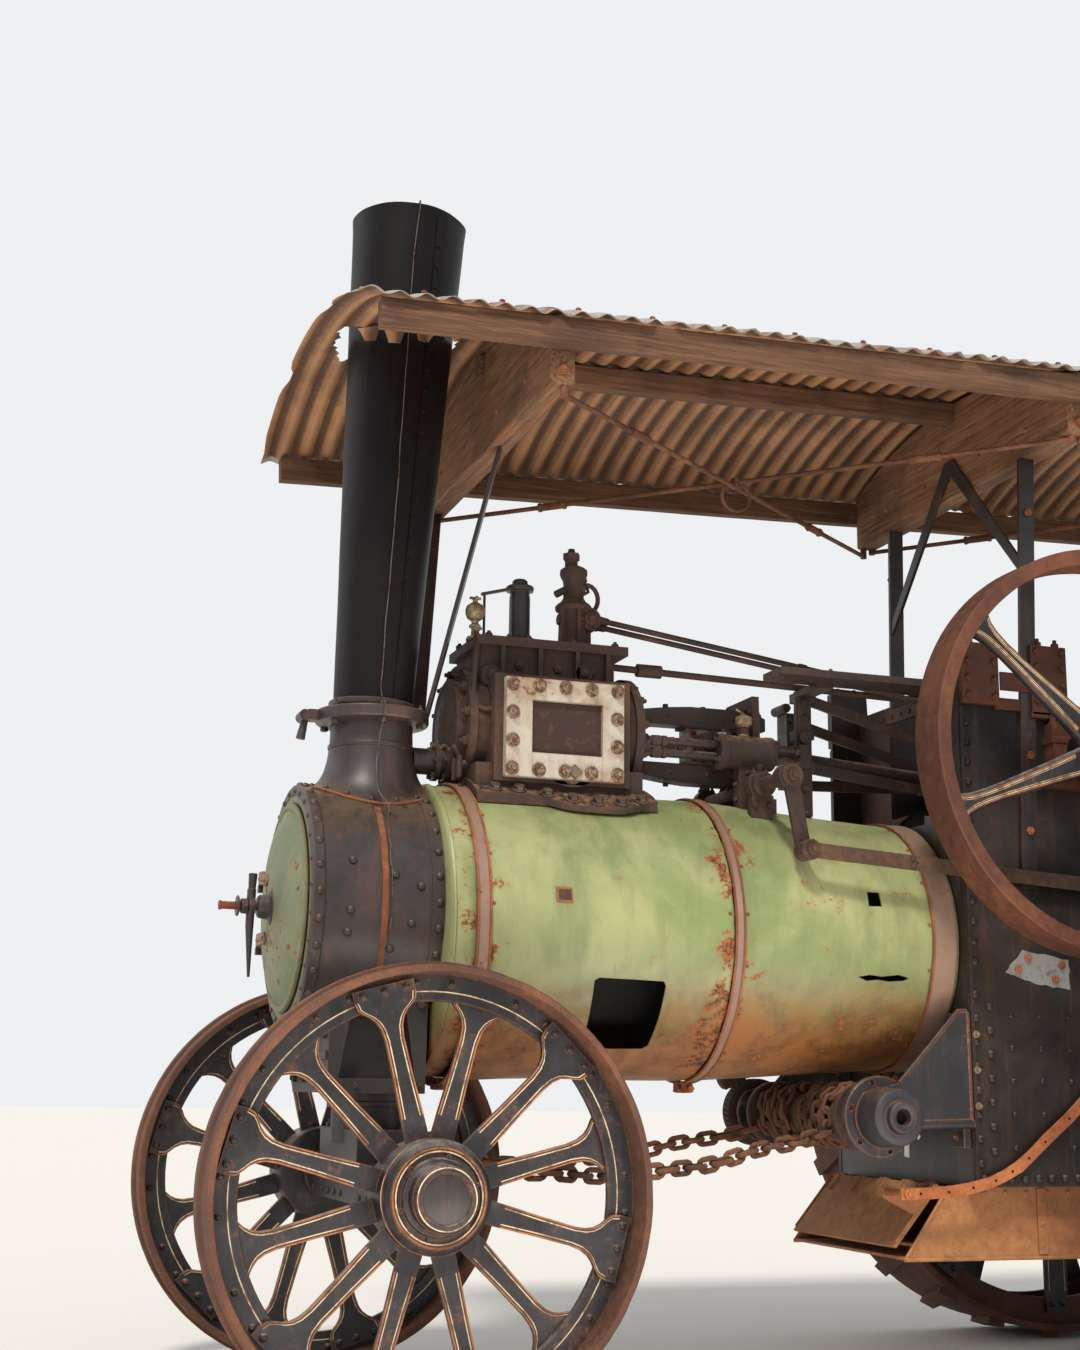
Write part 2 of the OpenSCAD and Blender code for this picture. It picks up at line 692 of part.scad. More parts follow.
module perch_bracket() place() color(black) {
  difference() {
    end_plate([[-240, 840], [240, 840], [250, 1150], [-250, 1150]], -100, 180);
    cx(0, boiler_z, -200, 300, smokebox_r + 0.1);
    both() side_plate([[-70, 880], [150, 880], [120, 1060], [-40, 1060]], 150, 260);
  }
  cz(0, 0, 800, 845, 120);
}

module front_axle() place() color(black) {
  cz(0, 0, 700, 800 - seat, 110);
  bx(-50, 50, -520, 520, 590 - 60, 590 + 60);
  bx(-90, 90, -240, 240, 640, 740);
  both() cy(0, front_r, 500, front_y + 20, 45);
  both() cy(0, front_r, 515, front_y - front_w / 2 - 85 - seat, 70);
  both() bx(-78, -50, 440, 500, 615, 665);
}

module wheel_tyre(s) {
  y1 = s * front_y;
  y0 = s * (front_y - front_w);
  difference() {
    union() {
      cy(0, front_r, y0, y1, front_r - 10);
      cy(0, front_r, (y0 + y1) / 2 - 22, (y0 + y1) / 2 + 22, front_r);
    }
    cy(0, front_r, min(y0, y1) - 1, max(y0, y1) + 1, front_r - 28);
  }
  difference() {
    cy(0, front_r, (y0 + y1) / 2 - 9, (y0 + y1) / 2 + 9, front_r - 20);
    cy(0, front_r, (y0 + y1) / 2 - 10, (y0 + y1) / 2 + 10, front_r - 105);
  }
}

module wheel_spokes(s) {
  mid = s * (front_y - front_w / 2);
  difference() {
    union() {
      cy(0, front_r, mid - s * 85, mid + s * 112, 142);
      cy(0, front_r, mid + s * 112, mid + s * 188, 82);
    }
    cy(0, front_r, s * 400, s * (front_y + 22), 45 + seat);
  }
  for (i = [0 : front_spokes - 1]) translate([0, mid, front_r])
    rotate([0, i * 360 / front_spokes + 15, 0]) translate([0, (i % 2 ? 17 : -17) - 8, 0])
      rotate([90, 0, 0]) translate([0, 0, -16]) linear_extrude(16)
        polygon([[-30, 130], [-24, front_r - 190], [-34, front_r - 140], [-78, front_r - 102], [-84, front_r - 50],
                 [84, front_r - 50], [78, front_r - 102], [34, front_r - 140], [24, front_r - 190], [30, 130]]);
}

module front_tyre_left() place() color(rust) { wheel_tyre(1); }
module front_wheel_left() place() color(black) { wheel_spokes(1); }
module front_tyre_right() place() color(rust) { wheel_tyre(-1); }
module front_wheel_right() place() color(black) { wheel_spokes(-1); }

// Rear axle and wheels

module rear_axle() place() color(iron) {
  cy(rear_x, rear_r, -rear_y - rear_w - 24, rear_y + rear_w + 24, 60);
  both() difference() {
    bx(rear_x - 110, rear_x + 110, firebox_y + horn_t, firebox_y + 120, rear_r - 110, rear_r + 110);
    cy(rear_x, rear_r, 300, 700, 59);
  }
  cy(rear_x, rear_r, 530, rear_y - 8 - seat, 85);
  both() cy(rear_x, rear_r, rear_y + rear_w + 12 + seat, rear_y + rear_w + 24, 80);
}

module rear_tyre() {
  difference() {
    cy(rear_x, rear_r, rear_y, rear_y + rear_w, rear_r - 20);
    cy(rear_x, rear_r, rear_y - 1, rear_y + rear_w + 1, rear_r - 42);
  }
  for (y = [rear_y + 82 + seat, rear_y + rear_w - 98 - seat]) difference() {
    cy(rear_x, rear_r, y, y + 16, rear_r - 30);
    cy(rear_x, rear_r, y - 1, y + 17, rear_r - 130);
  }
  for (i = [0 : strakes - 1]) translate([rear_x, rear_y + rear_w / 2, rear_r])
    rotate([0, i * 360 / strakes, 0]) translate([0, 0, -rear_r]) rotate([0, 0, 22])
      translate([-28, -rear_w / 2 + 4, 0]) cube([56, rear_w - 8, 26]);
}

module rear_spoke_set() {
  mid = rear_y + rear_w / 2;
  difference() {
    union() {
      cy(rear_x, rear_r, rear_y - 8, rear_y + rear_w + 12, 120);
      for (y = [rear_y + 50, rear_y + rear_w - 72]) cy(rear_x, rear_r, y, y + 22, 210);
    }
    cy(rear_x, rear_r, 600, 1200, 60 + seat);
  }
  for (k = [0, 1]) for (i = [0 : rear_spokes - 1])
    translate([rear_x, k ? rear_y + rear_w - 82 : rear_y + 66, rear_r])
      rotate([0, (i + k * 0.5) * 360 / rear_spokes, 0]) translate([-45, 0, 150])
        cube([90, 16, rear_r - 230]);
}

module rear_tyre_left() place() color(rust) { rear_tyre(); }
module rear_wheel_left() place() color(black) { rear_spoke_set(); }
module rear_tyre_right() place() color(rust) { mirror([0, 1, 0]) rear_tyre(); }
module rear_wheel_right() place() color(black) { mirror([0, 1, 0]) rear_spoke_set(); }

// Tender

module tender() place() color(black) {
  difference() {
    bx(-3010, tender_back, -tender_y, tender_y, 480, foot_z - 14);
    bx(-3020, tender_back + 10, -tender_y + 10, tender_y - 10, 490, foot_z - 24);
  }
  both() side_plate([[-2700, foot_z - 14], [-2700, 1360], [-2980, 1360], [-3060, tender_top],
                     [tender_back, tender_top], [tender_back, foot_z - 14]], tender_y - 10, tender_y);
  bx(tender_back + 10, tender_back, -tender_y, tender_y, foot_z - 14, tender_top);
  bx(-3200, -3210, -tender_y + 10, tender_y - 10, foot_z, 1450);
  both() bx(-2700, -2710, firebox_y + horn_t, tender_y, foot_z + seat, 1360);
}

module footplate() place() color(rust) {
  difference() {
    bx(-2450, tender_back + 10, -tender_y + 10, tender_y - 10, foot_z - 14, foot_z);
    both() bx(-2990, -2440, firebox_y - seat, firebox_y + horn_t + seat, 900, 1100);
    cy(rear_x, rear_r, -tender_y, tender_y, 60 + seat);
    both() bx(rear_x - 110 - seat, rear_x + 110 + seat, firebox_y, firebox_y + 120 + seat, rear_r, rear_r + 110 + seat);
    cy(rear_x, rear_r, firebox_y, tender_y, 85 + seat);
  }
}

module drawbar() place() color(rust) {
  difference() {
    union() {
      bx(tender_back - 90, tender_back, -70, 70, 590, 650);
      cz(tender_back - 90, 0, 590, 650, 62);
      bx(tender_back, tender_back - 16, -180, 180, 540, 740);
    }
    cz(tender_back - 92, 0, 500, 700, 21);
  }
}

// Canopy

module canopy_sheet() place() color(wood) {
  n = wave_count();
  r = arch_r();
  half = asin(canopy_y / r);
  top = [for (i = [0 : 2 * n]) [r + (i % 2 ? wave_depth : 0), i * wave_pitch / 2]];
  low = [for (i = [2 * n : -1 : 0]) [r - 3 + (i % 2 ? wave_depth : 0), i * wave_pitch / 2]];
  difference() {
    translate([0, 0, canopy_z + canopy_rise - r]) rotate([0, canopy_slope, 0])
      translate([canopy_back, 0, 0]) rotate([0, 90, 0]) rotate([0, 0, 180 - half])
        rotate_extrude(angle = 2 * half) polygon(concat(top, low));
    translate([0, 0, 2700]) linear_extrude(900)
      polygon([[178, -70], [190, 60], [150, 150], [40, 190], [-110, 178], [-196, 90], [-190, -110], [-90, -186],
               [60, -196], [140, -150]]);
  }
}

module canopy_rails() place() color(wood) {
  low = arch_z(739) - 2.6 - 42;
  for (s = [-1, 1]) flat([canopy_front - 20, s * 715, roof_z(canopy_front - 20) + low],
                         [canopy_back + 20, s * 715, roof_z(canopy_back + 20) + low], 84, 48);
  mid = arch_z(30) - 3.5 - 37;
  flat([-280, 0, roof_z(-280) + mid], [canopy_back + 20, 0, roof_z(canopy_back + 20) + mid], 74, 60);
}

module canopy_beams() place() color(wood) {
  for (x = beam_places) {
    z = roof_z(x + 38);
    difference() {
      end_plate(concat([[-690.8, z - 178], [690.8, z - 178]],
        [for (i = [0 : 12]) let (y = 690.8 - i * 115.133) [y, z + arch_z(y) - 4]]), x - 38, x + 38);
      bx(x - 50, x + 50, -30 - seat, 30 + seat, z + arch_z(30) - 78, z + 300);
    }
  }
}

module canopy_ties() place() color(rust) {
  for (x = [[front_beam_x - 10, mid_beam_x + 18, front_beam_x, mid_beam_x],
            [mid_beam_x - 18, rear_beam_x + 10, mid_beam_x, rear_beam_x]]) for (s = [-1, 1]) {
    drop = s > 0 ? 208 : 190.5;
    rod([x[0], s * 678, roof_z(x[0]) - drop], [x[1], -s * 678, roof_z(x[1]) - drop], 8);
    for (k = [0, 1]) cz(x[k], (k ? -s : s) * 678, roof_z(x[k]) - drop - 8, beam_low(x[k + 2]) - seat, 12);
  }
}

module canopy_posts() place() color(iron) {
  side = firebox_y + horn_t + 7;
  difference() {
    union() {
      flat([-124, -36, 1955], [front_beam_x, -650, roof_z(front_beam_x) - 165], 12, 40);
      flat([-130, 36, 1955], [front_beam_x, 110, roof_z(front_beam_x) - 165], 12, 40);
      flat([crank_x + 188, side, 1480], [mid_beam_x + 26, side, roof_z(mid_beam_x) - 165], 54, 14);
      flat([crank_x + 142, -side, 1800], [mid_beam_x + 18, -side, roof_z(mid_beam_x) - 165], 54, 14);
      for (s = [-1, 1]) flat([rear_beam_x, s * (tender_y + 7), 1200],
                             [rear_beam_x, s * (tender_y + 7), roof_z(rear_beam_x) - 165], 54, 14);
    }
    for (x = beam_places) bx(x - 90, x + 90, -800, 800, beam_low(x) - seat, beam_low(x) + 200);
    cz(30, 0, 1900, 1960, 200);
  }
  top = beam_low(mid_beam_x) + 116;
  foot = firebox_y + horn_t - seat;
  end_plate([[-24, top + 14], [24, top + 14], [foot, top - 470], [foot, top - 516], [0, top - 30],
             [-foot, top - 516], [-foot, top - 470]], mid_beam_x + 38 + seat, mid_beam_x + 50);
}

module controls() place() color(iron) {
  rod([crank_x - 180, 478, 1488], [crank_x - 330, 478, 1960], 14);
  cy(crank_x - 180, 1488, 462 + seat, 490, 20);
  rod([-2560, 250, 1480], [-2450, 250, 1480], 30);
  bx(-2310, -2290, 118, 200 - seat, boiler_z + barrel_r, 2110);
  rod([-2700, 380, foot_z], [-2700, 380, 1620], 14);
  translate([-2700, 380, 1620]) rotate_extrude($fn = 36) translate([120, 0]) circle(r = 11, $fn = 16);
  rod([-2700, 260, 1620], [-2700, 500, 1620], 8);
  rod([-2820, 380, 1620], [-2580, 380, 1620], 8);
}

boiler_barrel();
cladding_front();
cladding_rear();
cladding_bands();
smokebox();
smokebox_door();
chimney_base();
chimney();
exhaust_pipe();
cylinder_block();
valve_chest_cover();
safety_valve();
regulator_tower();
lubricator();
regulator_rods();
slide_bars();
motion_bracket();
crosshead();
connecting_rod();
valve_gear();
reversing_shaft();
reversing_link();
crankshaft();
crank_bearings();
flywheel();
gears();
hornplate_left();
hornplate_right();
firebox();
firehole_door();
ash_pan();
damper_rod();
steering_barrel();
steering_brackets();
steering_column();
steering_chain_left();
steering_chain_right();
perch_bracket();
front_axle();
front_tyre_left();
front_wheel_left();
front_tyre_right();
front_wheel_right();
rear_axle();
rear_tyre_left();
rear_wheel_left();
rear_tyre_right();
rear_wheel_right();
tender();
footplate();
drawbar();
canopy_sheet();
canopy_rails();
canopy_beams();
canopy_ties();
canopy_posts();
controls();
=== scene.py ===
"""Visual model of an old farm steam traction engine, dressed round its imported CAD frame.

All places are in metres in the row frame: +X forward, +Y to the engine's left, +Z up.
Most sizes along the engine are measured from the front axle, so at() shifts them.
"""
import itertools
import logging
import math
from dataclasses import dataclass
from enum import Enum
from typing import Callable, Iterable, Optional, Sequence

import bmesh
import bpy
from mathutils import Matrix, Vector, noise


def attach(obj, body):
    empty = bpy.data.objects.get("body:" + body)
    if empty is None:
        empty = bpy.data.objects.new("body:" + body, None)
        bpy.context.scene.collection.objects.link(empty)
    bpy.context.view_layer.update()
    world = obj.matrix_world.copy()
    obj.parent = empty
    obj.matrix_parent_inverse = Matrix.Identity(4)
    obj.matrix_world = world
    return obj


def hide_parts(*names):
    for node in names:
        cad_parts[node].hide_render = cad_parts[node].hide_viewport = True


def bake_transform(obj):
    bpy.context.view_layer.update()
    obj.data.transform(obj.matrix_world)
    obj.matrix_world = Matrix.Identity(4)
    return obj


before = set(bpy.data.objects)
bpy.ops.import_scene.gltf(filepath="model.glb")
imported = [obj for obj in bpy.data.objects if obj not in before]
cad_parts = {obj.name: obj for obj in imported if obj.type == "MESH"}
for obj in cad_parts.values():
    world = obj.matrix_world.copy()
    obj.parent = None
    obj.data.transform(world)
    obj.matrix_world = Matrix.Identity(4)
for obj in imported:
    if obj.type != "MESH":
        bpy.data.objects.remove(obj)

# X of the front axle in the row frame, then places that several sub-assemblies share.
AXLE = 1.637
BOILER_Z = 1.318
SMOKEBOX_Z = 1.365
REAR_X = -2.800
REAR_Z = 0.870
CRANK = (-2.150, 1.890)
COLUMN_TILT = 27.9
# A piece with more faces than this gets a plainer rounding of its edges.
MANY_FACES = 1500
TAU = 2 * math.pi
log = logging.getLogger("engine")
Colour = tuple[float, float, float]
Point = Sequence[float]


class Body(Enum):
    """Names of the moving bodies."""

    ENGINE = "engine"
    FORE = "fore_carriage"
    SMOKEBOX_DOOR = "smokebox_door_leaf"
    FIREHOLE_DOOR = "firehole_door_leaf"
    FRONT_LEFT = "left_front_wheel"
    FRONT_RIGHT = "right_front_wheel"
    REAR_LEFT = "left_rear_wheel"
    REAR_RIGHT = "right_rear_wheel"


class Slot(Enum):
    """Material slots of the record."""

    IRON = "rusty_iron"
    GREEN = "green_paint"
    BLACK = "black_paint"
    LINED = "lined_black"
    BAND = "band_paint"
    WOOD = "weathered_wood"
    SHEET = "corrugated_iron"


class Side(Enum):
    """Side of the engine, as the sign of Y."""

    LEFT = 1
    RIGHT = -1


def at(x: float, y: float, z: float) -> Vector:
    """Returns a row-frame point from a place measured from the front axle."""
    return Vector((x + AXLE, y, z))


def paint(red: int, green: int, blue: int) -> Colour:
    """Turns a display colour of 0 to 255 into the linear colour that shaders take.

    Args:
        red, green, blue: the display colour.

    Returns:
        The linear colour.
    """
    values = [c / 255 for c in (red, green, blue)]
    return tuple(c / 12.92 if c <= 0.04045 else ((c + 0.055) / 1.055) ** 2.4 for c in values)


def wobble(x: float, y: float, z: float, scale: float = 1.0) -> float:
    """Returns smooth noise between about -1 and 1 at a place."""
    return noise.noise(Vector((x, y, z)) * scale)


def aim(place: Point, direction: Point, side: str = "Y") -> Matrix:
    """Returns a frame at a place whose Z axis points along a direction."""
    turn = Vector(direction).normalized().to_track_quat("Z", side).to_matrix().to_4x4()
    return Matrix.Translation(Vector(place)) @ turn


class Graph:
    """Adds and joins the shader nodes of one material."""

    def __init__(self, name: str) -> None:
        """Starts an empty material with object coordinates.

        Args:
            name: name of the material.
        """
        self.material = bpy.data.materials.new(name)
        self.material.use_nodes = True
        self.nodes = self.material.node_tree.nodes
        self.nodes.clear()
        self.coords = self.nodes.new("ShaderNodeTexCoord").outputs["Object"]

    def put(self, socket: bpy.types.NodeSocket, value: object) -> None:
        """Links a socket to another, or sets its value.

        Args:
            socket: the input that takes it.
            value: a socket, a colour or a plain value.
        """
        if isinstance(value, bpy.types.NodeSocket):
            self.material.node_tree.links.new(value, socket)
        elif isinstance(value, tuple) and len(value) == 3 and socket.type == "RGBA":
            socket.default_value = (*value, 1.0)
        else:
            socket.default_value = value

    def node(self, kind: str, inputs: dict, **settings: object) -> bpy.types.Node:
        """Adds a shader node.

        Args:
            kind: the node's type, without its ShaderNode prefix.
            inputs: value or socket by input name or number.
            settings: plain settings of the node.

        Returns:
            The node.
        """
        made = self.nodes.new("ShaderNode" + kind)
        for key, value in settings.items():
            setattr(made, key, value)
        for key, value in inputs.items():
            self.put(made.inputs[key], value)
        return made

    def stretched(self, by: Point) -> bpy.types.NodeSocket:
        """Returns the coordinates scaled by three factors."""
        return self.node("Mapping", {"Vector": self.coords, "Scale": tuple(by)}).outputs[0]

    def cloud(self, scale: float, detail: float = 5.0, rough: float = 0.6,
              by: Optional[Point] = None, bend: float = 0.0) -> bpy.types.NodeSocket:
        """Returns noise of 0 to 1 over the surface.

        Args:
            scale: how fine the noise is.
            detail: how many layers it has.
            rough: how strong the fine layers are.
            by: three factors that stretch it.
            bend: how far it is distorted.

        Returns:
            The noise.
        """
        place = self.stretched(by) if by else self.coords
        made = self.node("TexNoise", {"Vector": place, "Scale": scale, "Detail": detail,
                                      "Roughness": rough, "Distortion": bend})
        return made.outputs["Fac"]

    def cells(self, scale: float, by: Optional[Point] = None) -> bpy.types.NodeSocket:
        """Returns the distance to the nearest of scattered points."""
        place = self.stretched(by) if by else self.coords
        return self.node("TexVoronoi", {"Vector": place, "Scale": scale}).outputs["Distance"]

    def between(self, value: object, low: float, high: float, to_low: float = 0.0,
                to_high: float = 1.0) -> bpy.types.NodeSocket:
        """Returns a value eased from one range to another.

        Args:
            value: the value to ease.
            low, high: ends of its own range.
            to_low, to_high: what the two ends become.

        Returns:
            The eased value.
        """
        made = self.node("MapRange", {0: value, 1: low, 2: high, 3: to_low, 4: to_high},
                         interpolation_type="SMOOTHSTEP")
        return made.outputs[0]

    def calc(self, way: str, first: object, second: object = 0.0) -> bpy.types.NodeSocket:
        """Returns the result of one math step, held between 0 and 1."""
        return self.node("Math", {0: first, 1: second}, operation=way, use_clamp=True).outputs[0]

    def times(self, first: object, second: object) -> bpy.types.NodeSocket:
        """Returns a product, held between 0 and 1."""
        return self.calc("MULTIPLY", first, second)

    def add(self, first: object, second: object) -> bpy.types.NodeSocket:
        """Returns a sum, held between 0 and 1."""
        return self.calc("ADD", first, second)

    def free(self, way: str, first: object, second: object = 0.0) -> bpy.types.NodeSocket:
        """Returns the result of one math step that may leave the range of 0 to 1."""
        return self.node("Math", {0: first, 1: second}, operation=way).outputs[0]

    def mix(self, share: object, first: object, second: object) -> bpy.types.NodeSocket:
        """Returns a blend of two colours."""
        made = self.node("Mix", {0: share, 6: first, 7: second}, data_type="RGBA")
        return made.outputs[2]

    def stops(self, value: object, colours: Sequence[tuple[float, Colour]]) -> bpy.types.NodeSocket:
        """Returns a colour from a row of stops.

        Args:
            value: place on the row, 0 to 1.
            colours: place and colour of each stop.

        Returns:
            The colour at that place.
        """
        made = self.node("ValToRGB", {0: value})
        row = made.color_ramp.elements
        while len(row) < len(colours):
            row.new(0.5)
        for stop, (place, colour) in zip(row, colours):
            stop.position = place
            stop.color = (*colour, 1.0)
        return made.outputs[0]

    def along(self, axis: int) -> bpy.types.NodeSocket:
        """Returns the coordinate along one axis."""
        return self.node("SeparateXYZ", {0: self.coords}).outputs[axis]

    def facing(self, axis: int) -> bpy.types.NodeSocket:
        """Returns how far the surface faces along one axis."""
        turned = self.nodes.new("ShaderNodeNewGeometry").outputs["Normal"]
        return self.node("SeparateXYZ", {0: turned}).outputs[axis]

    def edges(self, radius: float) -> bpy.types.NodeSocket:
        """Returns 1 near sharp edges and 0 on open faces.

        Args:
            radius: how far the wear of an edge reaches.

        Returns:
            The share of wear.
        """
        soft = self.node("Bevel", {"Radius": radius}, samples=3).outputs[0]
        hard = self.nodes.new("ShaderNodeNewGeometry").outputs["Normal"]
        same = self.node("VectorMath", {0: soft, 1: hard}, operation="DOT_PRODUCT").outputs["Value"]
        return self.between(same, 0.995, 0.86)

    def corners(self, reach: float) -> bpy.types.NodeSocket:
        """Returns 1 deep in corners and 0 on open faces, from ambient occlusion: the mask of painted shade.
        """
        open_sky = self.node("AmbientOcclusion", {"Distance": reach}, samples=4).outputs["AO"]
        return self.between(open_sky, 0.75, 0.25)

    def relief(self, height: object, depth: float, below: object = None) -> bpy.types.NodeSocket:
        """Returns a normal bumped by a height.

        Args:
            height: the height, 0 to 1.
            depth: what a height of 1 means in metres.
            below: a bumped normal that lies under it.

        Returns:
            The bumped normal.
        """
        inputs = {"Height": height, "Distance": depth, "Strength": 1.0}
        if below is not None:
            inputs["Normal"] = below
        return self.node("Bump", inputs).outputs[0]

    def finish(self, colour: object, rough: object, metal: object, normal: object,
               sockets: Optional[dict] = None) -> bpy.types.Material:
        """Adds the surface shader and returns the material.

        Args:
            colour: base colour.
            rough: roughness.
            metal: share of bare metal.
            normal: bumped normal, or None.
            sockets: further inputs by name.

        Returns:
            The material.
        """
        inputs = {"Base Color": colour, "Roughness": rough, "Metallic": metal}
        if normal is not None:
            inputs["Normal"] = normal
        inputs.update(sockets or {})
        shader = self.node("BsdfPrincipled", inputs)
        self.node("OutputMaterial", {0: shader.outputs[0]})
        return self.material


@dataclass(frozen=True)
class RustyIron:
    """Bare iron under old rust, with pits, pale dust and painted shade in its crevices."""

    name: str
    deep: Colour = paint(58, 36, 28)
    middle: Colour = paint(104, 62, 42)
    bright: Colour = paint(150, 88, 52)
    dust: Colour = paint(172, 132, 96)
    scale: float = 9.0
    brightness: float = 0.5
    dusty: float = 0.25
    rough: float = 0.82
    pits: float = 0.0016

    def build(self) -> bpy.types.Material:
        """Returns the material.

        Returns:
            The finished material.
        """
        g = Graph(self.name)
        broad = g.cloud(self.scale * 0.35, 6, 0.62, bend=0.4)
        fine = g.cloud(self.scale * 5, 6, 0.68)
        grain = g.cloud(self.scale * 26, 3, 0.6)
        blend = g.add(g.times(broad, 0.62), g.times(fine, 0.38))
        centre = 0.62 - 0.2 * self.brightness
        colour = g.stops(blend, [(centre - 0.2, self.deep), (centre - 0.03, self.middle),
                                 (centre + 0.12, self.bright)])
        flecks = g.between(g.cells(self.scale * 14), 0.28, 0.1)
        colour = g.mix(g.times(flecks, 0.45), colour, self.deep)
        # Painted shade: corners and crevices are darkened towards the deep colour by ambient occlusion.
        colour = g.mix(g.times(g.corners(0.05), 0.6), colour, self.deep)
        up = g.between(g.facing(2), 0.35, 0.95)
        settled = g.times(g.times(up, g.between(fine, 0.35, 0.65)), self.dusty * 2)
        colour = g.mix(settled, colour, self.dust)
        colour = g.mix(g.times(g.edges(0.003), 0.35), colour, self.bright)
        height = g.add(g.times(fine, 0.7), g.times(grain, 0.3))
        return g.finish(colour, g.between(fine, 0.3, 0.7, self.rough - 0.14, min(self.rough + 0.1, 1.0)),
                        0.12, g.relief(height, self.pits))


@dataclass(frozen=True)
class OldPaint:
    """Weathered paint on iron: faded patches, chips with rust, runs below them and painted shade in corners.
    """

    name: str
    fresh: Colour
    faded: Colour
    rust: Colour = paint(140, 82, 46)
    deep: Colour = paint(74, 44, 32)
    worn: float = 0.3
    edge: float = 0.8
    streaks: float = 0.4
    dust: float = 0.2
    dust_colour: Colour = paint(150, 122, 96)
    rough: float = 0.5
    scale: float = 1.0
    bubbles: float = 0.0007
    gloss: float = 0.5

    def build(self) -> bpy.types.Material:
        """Returns the material.

        Returns:
            The finished material.
        """
        g = Graph(self.name)
        s = self.scale
        broad = g.cloud(2.6 * s, 5, 0.6, bend=0.5)
        chips = g.cloud(15 * s, 8, 0.72, bend=0.3)
        grain = g.cloud(120 * s, 3, 0.6)
        runs = g.cloud(16 * s, 5, 0.65, by=(1.0, 1.0, 0.09))
        colour = g.mix(g.between(broad, 0.35, 0.65), self.fresh, self.faded)
        colour = g.mix(g.times(g.between(g.cloud(40 * s, 4), 0.4, 0.7), 0.3), colour, self.faded)
        bare = g.add(g.times(broad, 0.42), g.times(chips, 0.58))
        limit = 0.72 - 0.22 * self.worn
        at_edge = g.times(g.edges(0.005), self.edge)
        bare = g.add(bare, g.times(at_edge, 0.24))
        gone = g.between(bare, limit - 0.012, limit + 0.012)
        halo = g.between(bare, limit - 0.09, limit + 0.02)
        stain = g.times(g.between(runs, 0.5, 0.72), self.streaks)
        colour = g.mix(g.times(g.calc("MAXIMUM", stain, g.times(halo, 0.5)), 0.8), colour, self.rust)
        rusty = g.stops(g.cloud(46 * s, 5, 0.7), [(0.36, self.deep), (0.6, self.rust)])
        colour = g.mix(gone, colour, rusty)
        # Painted shade: corners are darkened towards the deep colour by ambient occlusion.
        colour = g.mix(g.times(g.corners(0.04), 0.55), colour, self.deep)
        up = g.between(g.facing(2), 0.4, 0.95)
        colour = g.mix(g.times(g.times(up, g.between(chips, 0.3, 0.6)), self.dust * 2),
                       colour, self.dust_colour)
        rough = g.between(gone, 0, 1, self.rough, 0.9)
        height = g.add(g.times(grain, 0.25), g.calc("SUBTRACT", g.times(chips, 0.5), g.times(gone, 0.35)))
        return g.finish(colour, rough, 0.05, g.relief(height, self.bubbles),
                        {"Specular IOR Level": self.gloss})


@dataclass(frozen=True)
class CladdingPaint:
    """Sun-bleached green sheet paint that goes rust brown low down and beside the bands, with painted shade
    towards sage lower on the barrel and in corners.
    """

    name: str
    green: Colour = paint(126, 138, 87)
    pale: Colour = paint(163, 164, 115)
    sage: Colour = paint(102, 116, 72)
    rust: Colour = paint(148, 90, 46)
    deep: Colour = paint(76, 46, 29)
    low: float = 0.98
    bands: tuple[float, ...] = (0.655, 0.68, 1.43)

    def build(self) -> bpy.types.Material:
        """Returns the material.

        Returns:
            The finished material.
        """
        g = Graph(self.name)
        broad = g.cloud(2.2, 5, 0.6, bend=0.6)
        mid = g.cloud(9, 7, 0.7, bend=0.3)
        fine = g.cloud(70, 4, 0.65)
        wash = g.cloud(10, 5, 0.6, by=(1.0, 1.0, 0.16))
        colour = g.mix(g.between(broad, 0.36, 0.62), self.green, self.pale)
        colour = g.mix(g.times(g.between(wash, 0.42, 0.7), 0.6), colour, self.sage)
        height = g.along(2)
        # Painted shade: lower on the barrel the colour is mixed towards sage, so the top stays lighter.
        shade = g.between(height, 1.40, 1.12)
        colour = g.mix(g.times(shade, 0.45), colour, self.sage)
        below = g.between(g.free("ADD", height, g.times(broad, 0.34)), self.low + 0.43, self.low + 0.16)
        colour = g.mix(g.times(below, 0.92), colour,
                       g.mix(g.between(mid, 0.4, 0.68), self.rust, self.deep))
        near = None
        for place in self.bands:
            away = g.free("ABSOLUTE", g.free("SUBTRACT", g.along(0), place))
            one = g.between(away, 0.10, 0.0)
            near = one if near is None else g.calc("MAXIMUM", near, one)
        rusty = g.add(g.times(mid, 0.7), g.times(fine, 0.3))
        rusty = g.add(rusty, g.times(near, 0.105))
        rusty = g.add(rusty, g.times(below, 0.06))
        spots = g.between(rusty, 0.632, 0.652)
        halo = g.between(rusty, 0.570, 0.655)
        drips = g.times(g.between(g.cloud(26, 4, 0.6, by=(1.0, 1.0, 0.05)), 0.62, 0.76), 0.55)
        colour = g.mix(g.calc("MAXIMUM", drips, g.times(halo, 0.42)), colour, self.rust)
        colour = g.mix(spots, colour, g.mix(g.between(fine, 0.42, 0.6), self.deep, self.rust))
        colour = g.mix(g.times(g.edges(0.004), 0.8), colour, self.deep)
        # Painted shade: corners are darkened towards the deep colour by ambient occlusion.
        colour = g.mix(g.times(g.corners(0.05), 0.5), colour, self.deep)
        bump = g.calc("SUBTRACT", g.times(fine, 0.3), g.times(spots, 0.3))
        dents = g.relief(g.cloud(5, 2, 0.5), 0.006)
        return g.finish(colour, g.between(spots, 0, 1, 0.42, 0.9), 0.0, g.relief(bump, 0.0008, dents))


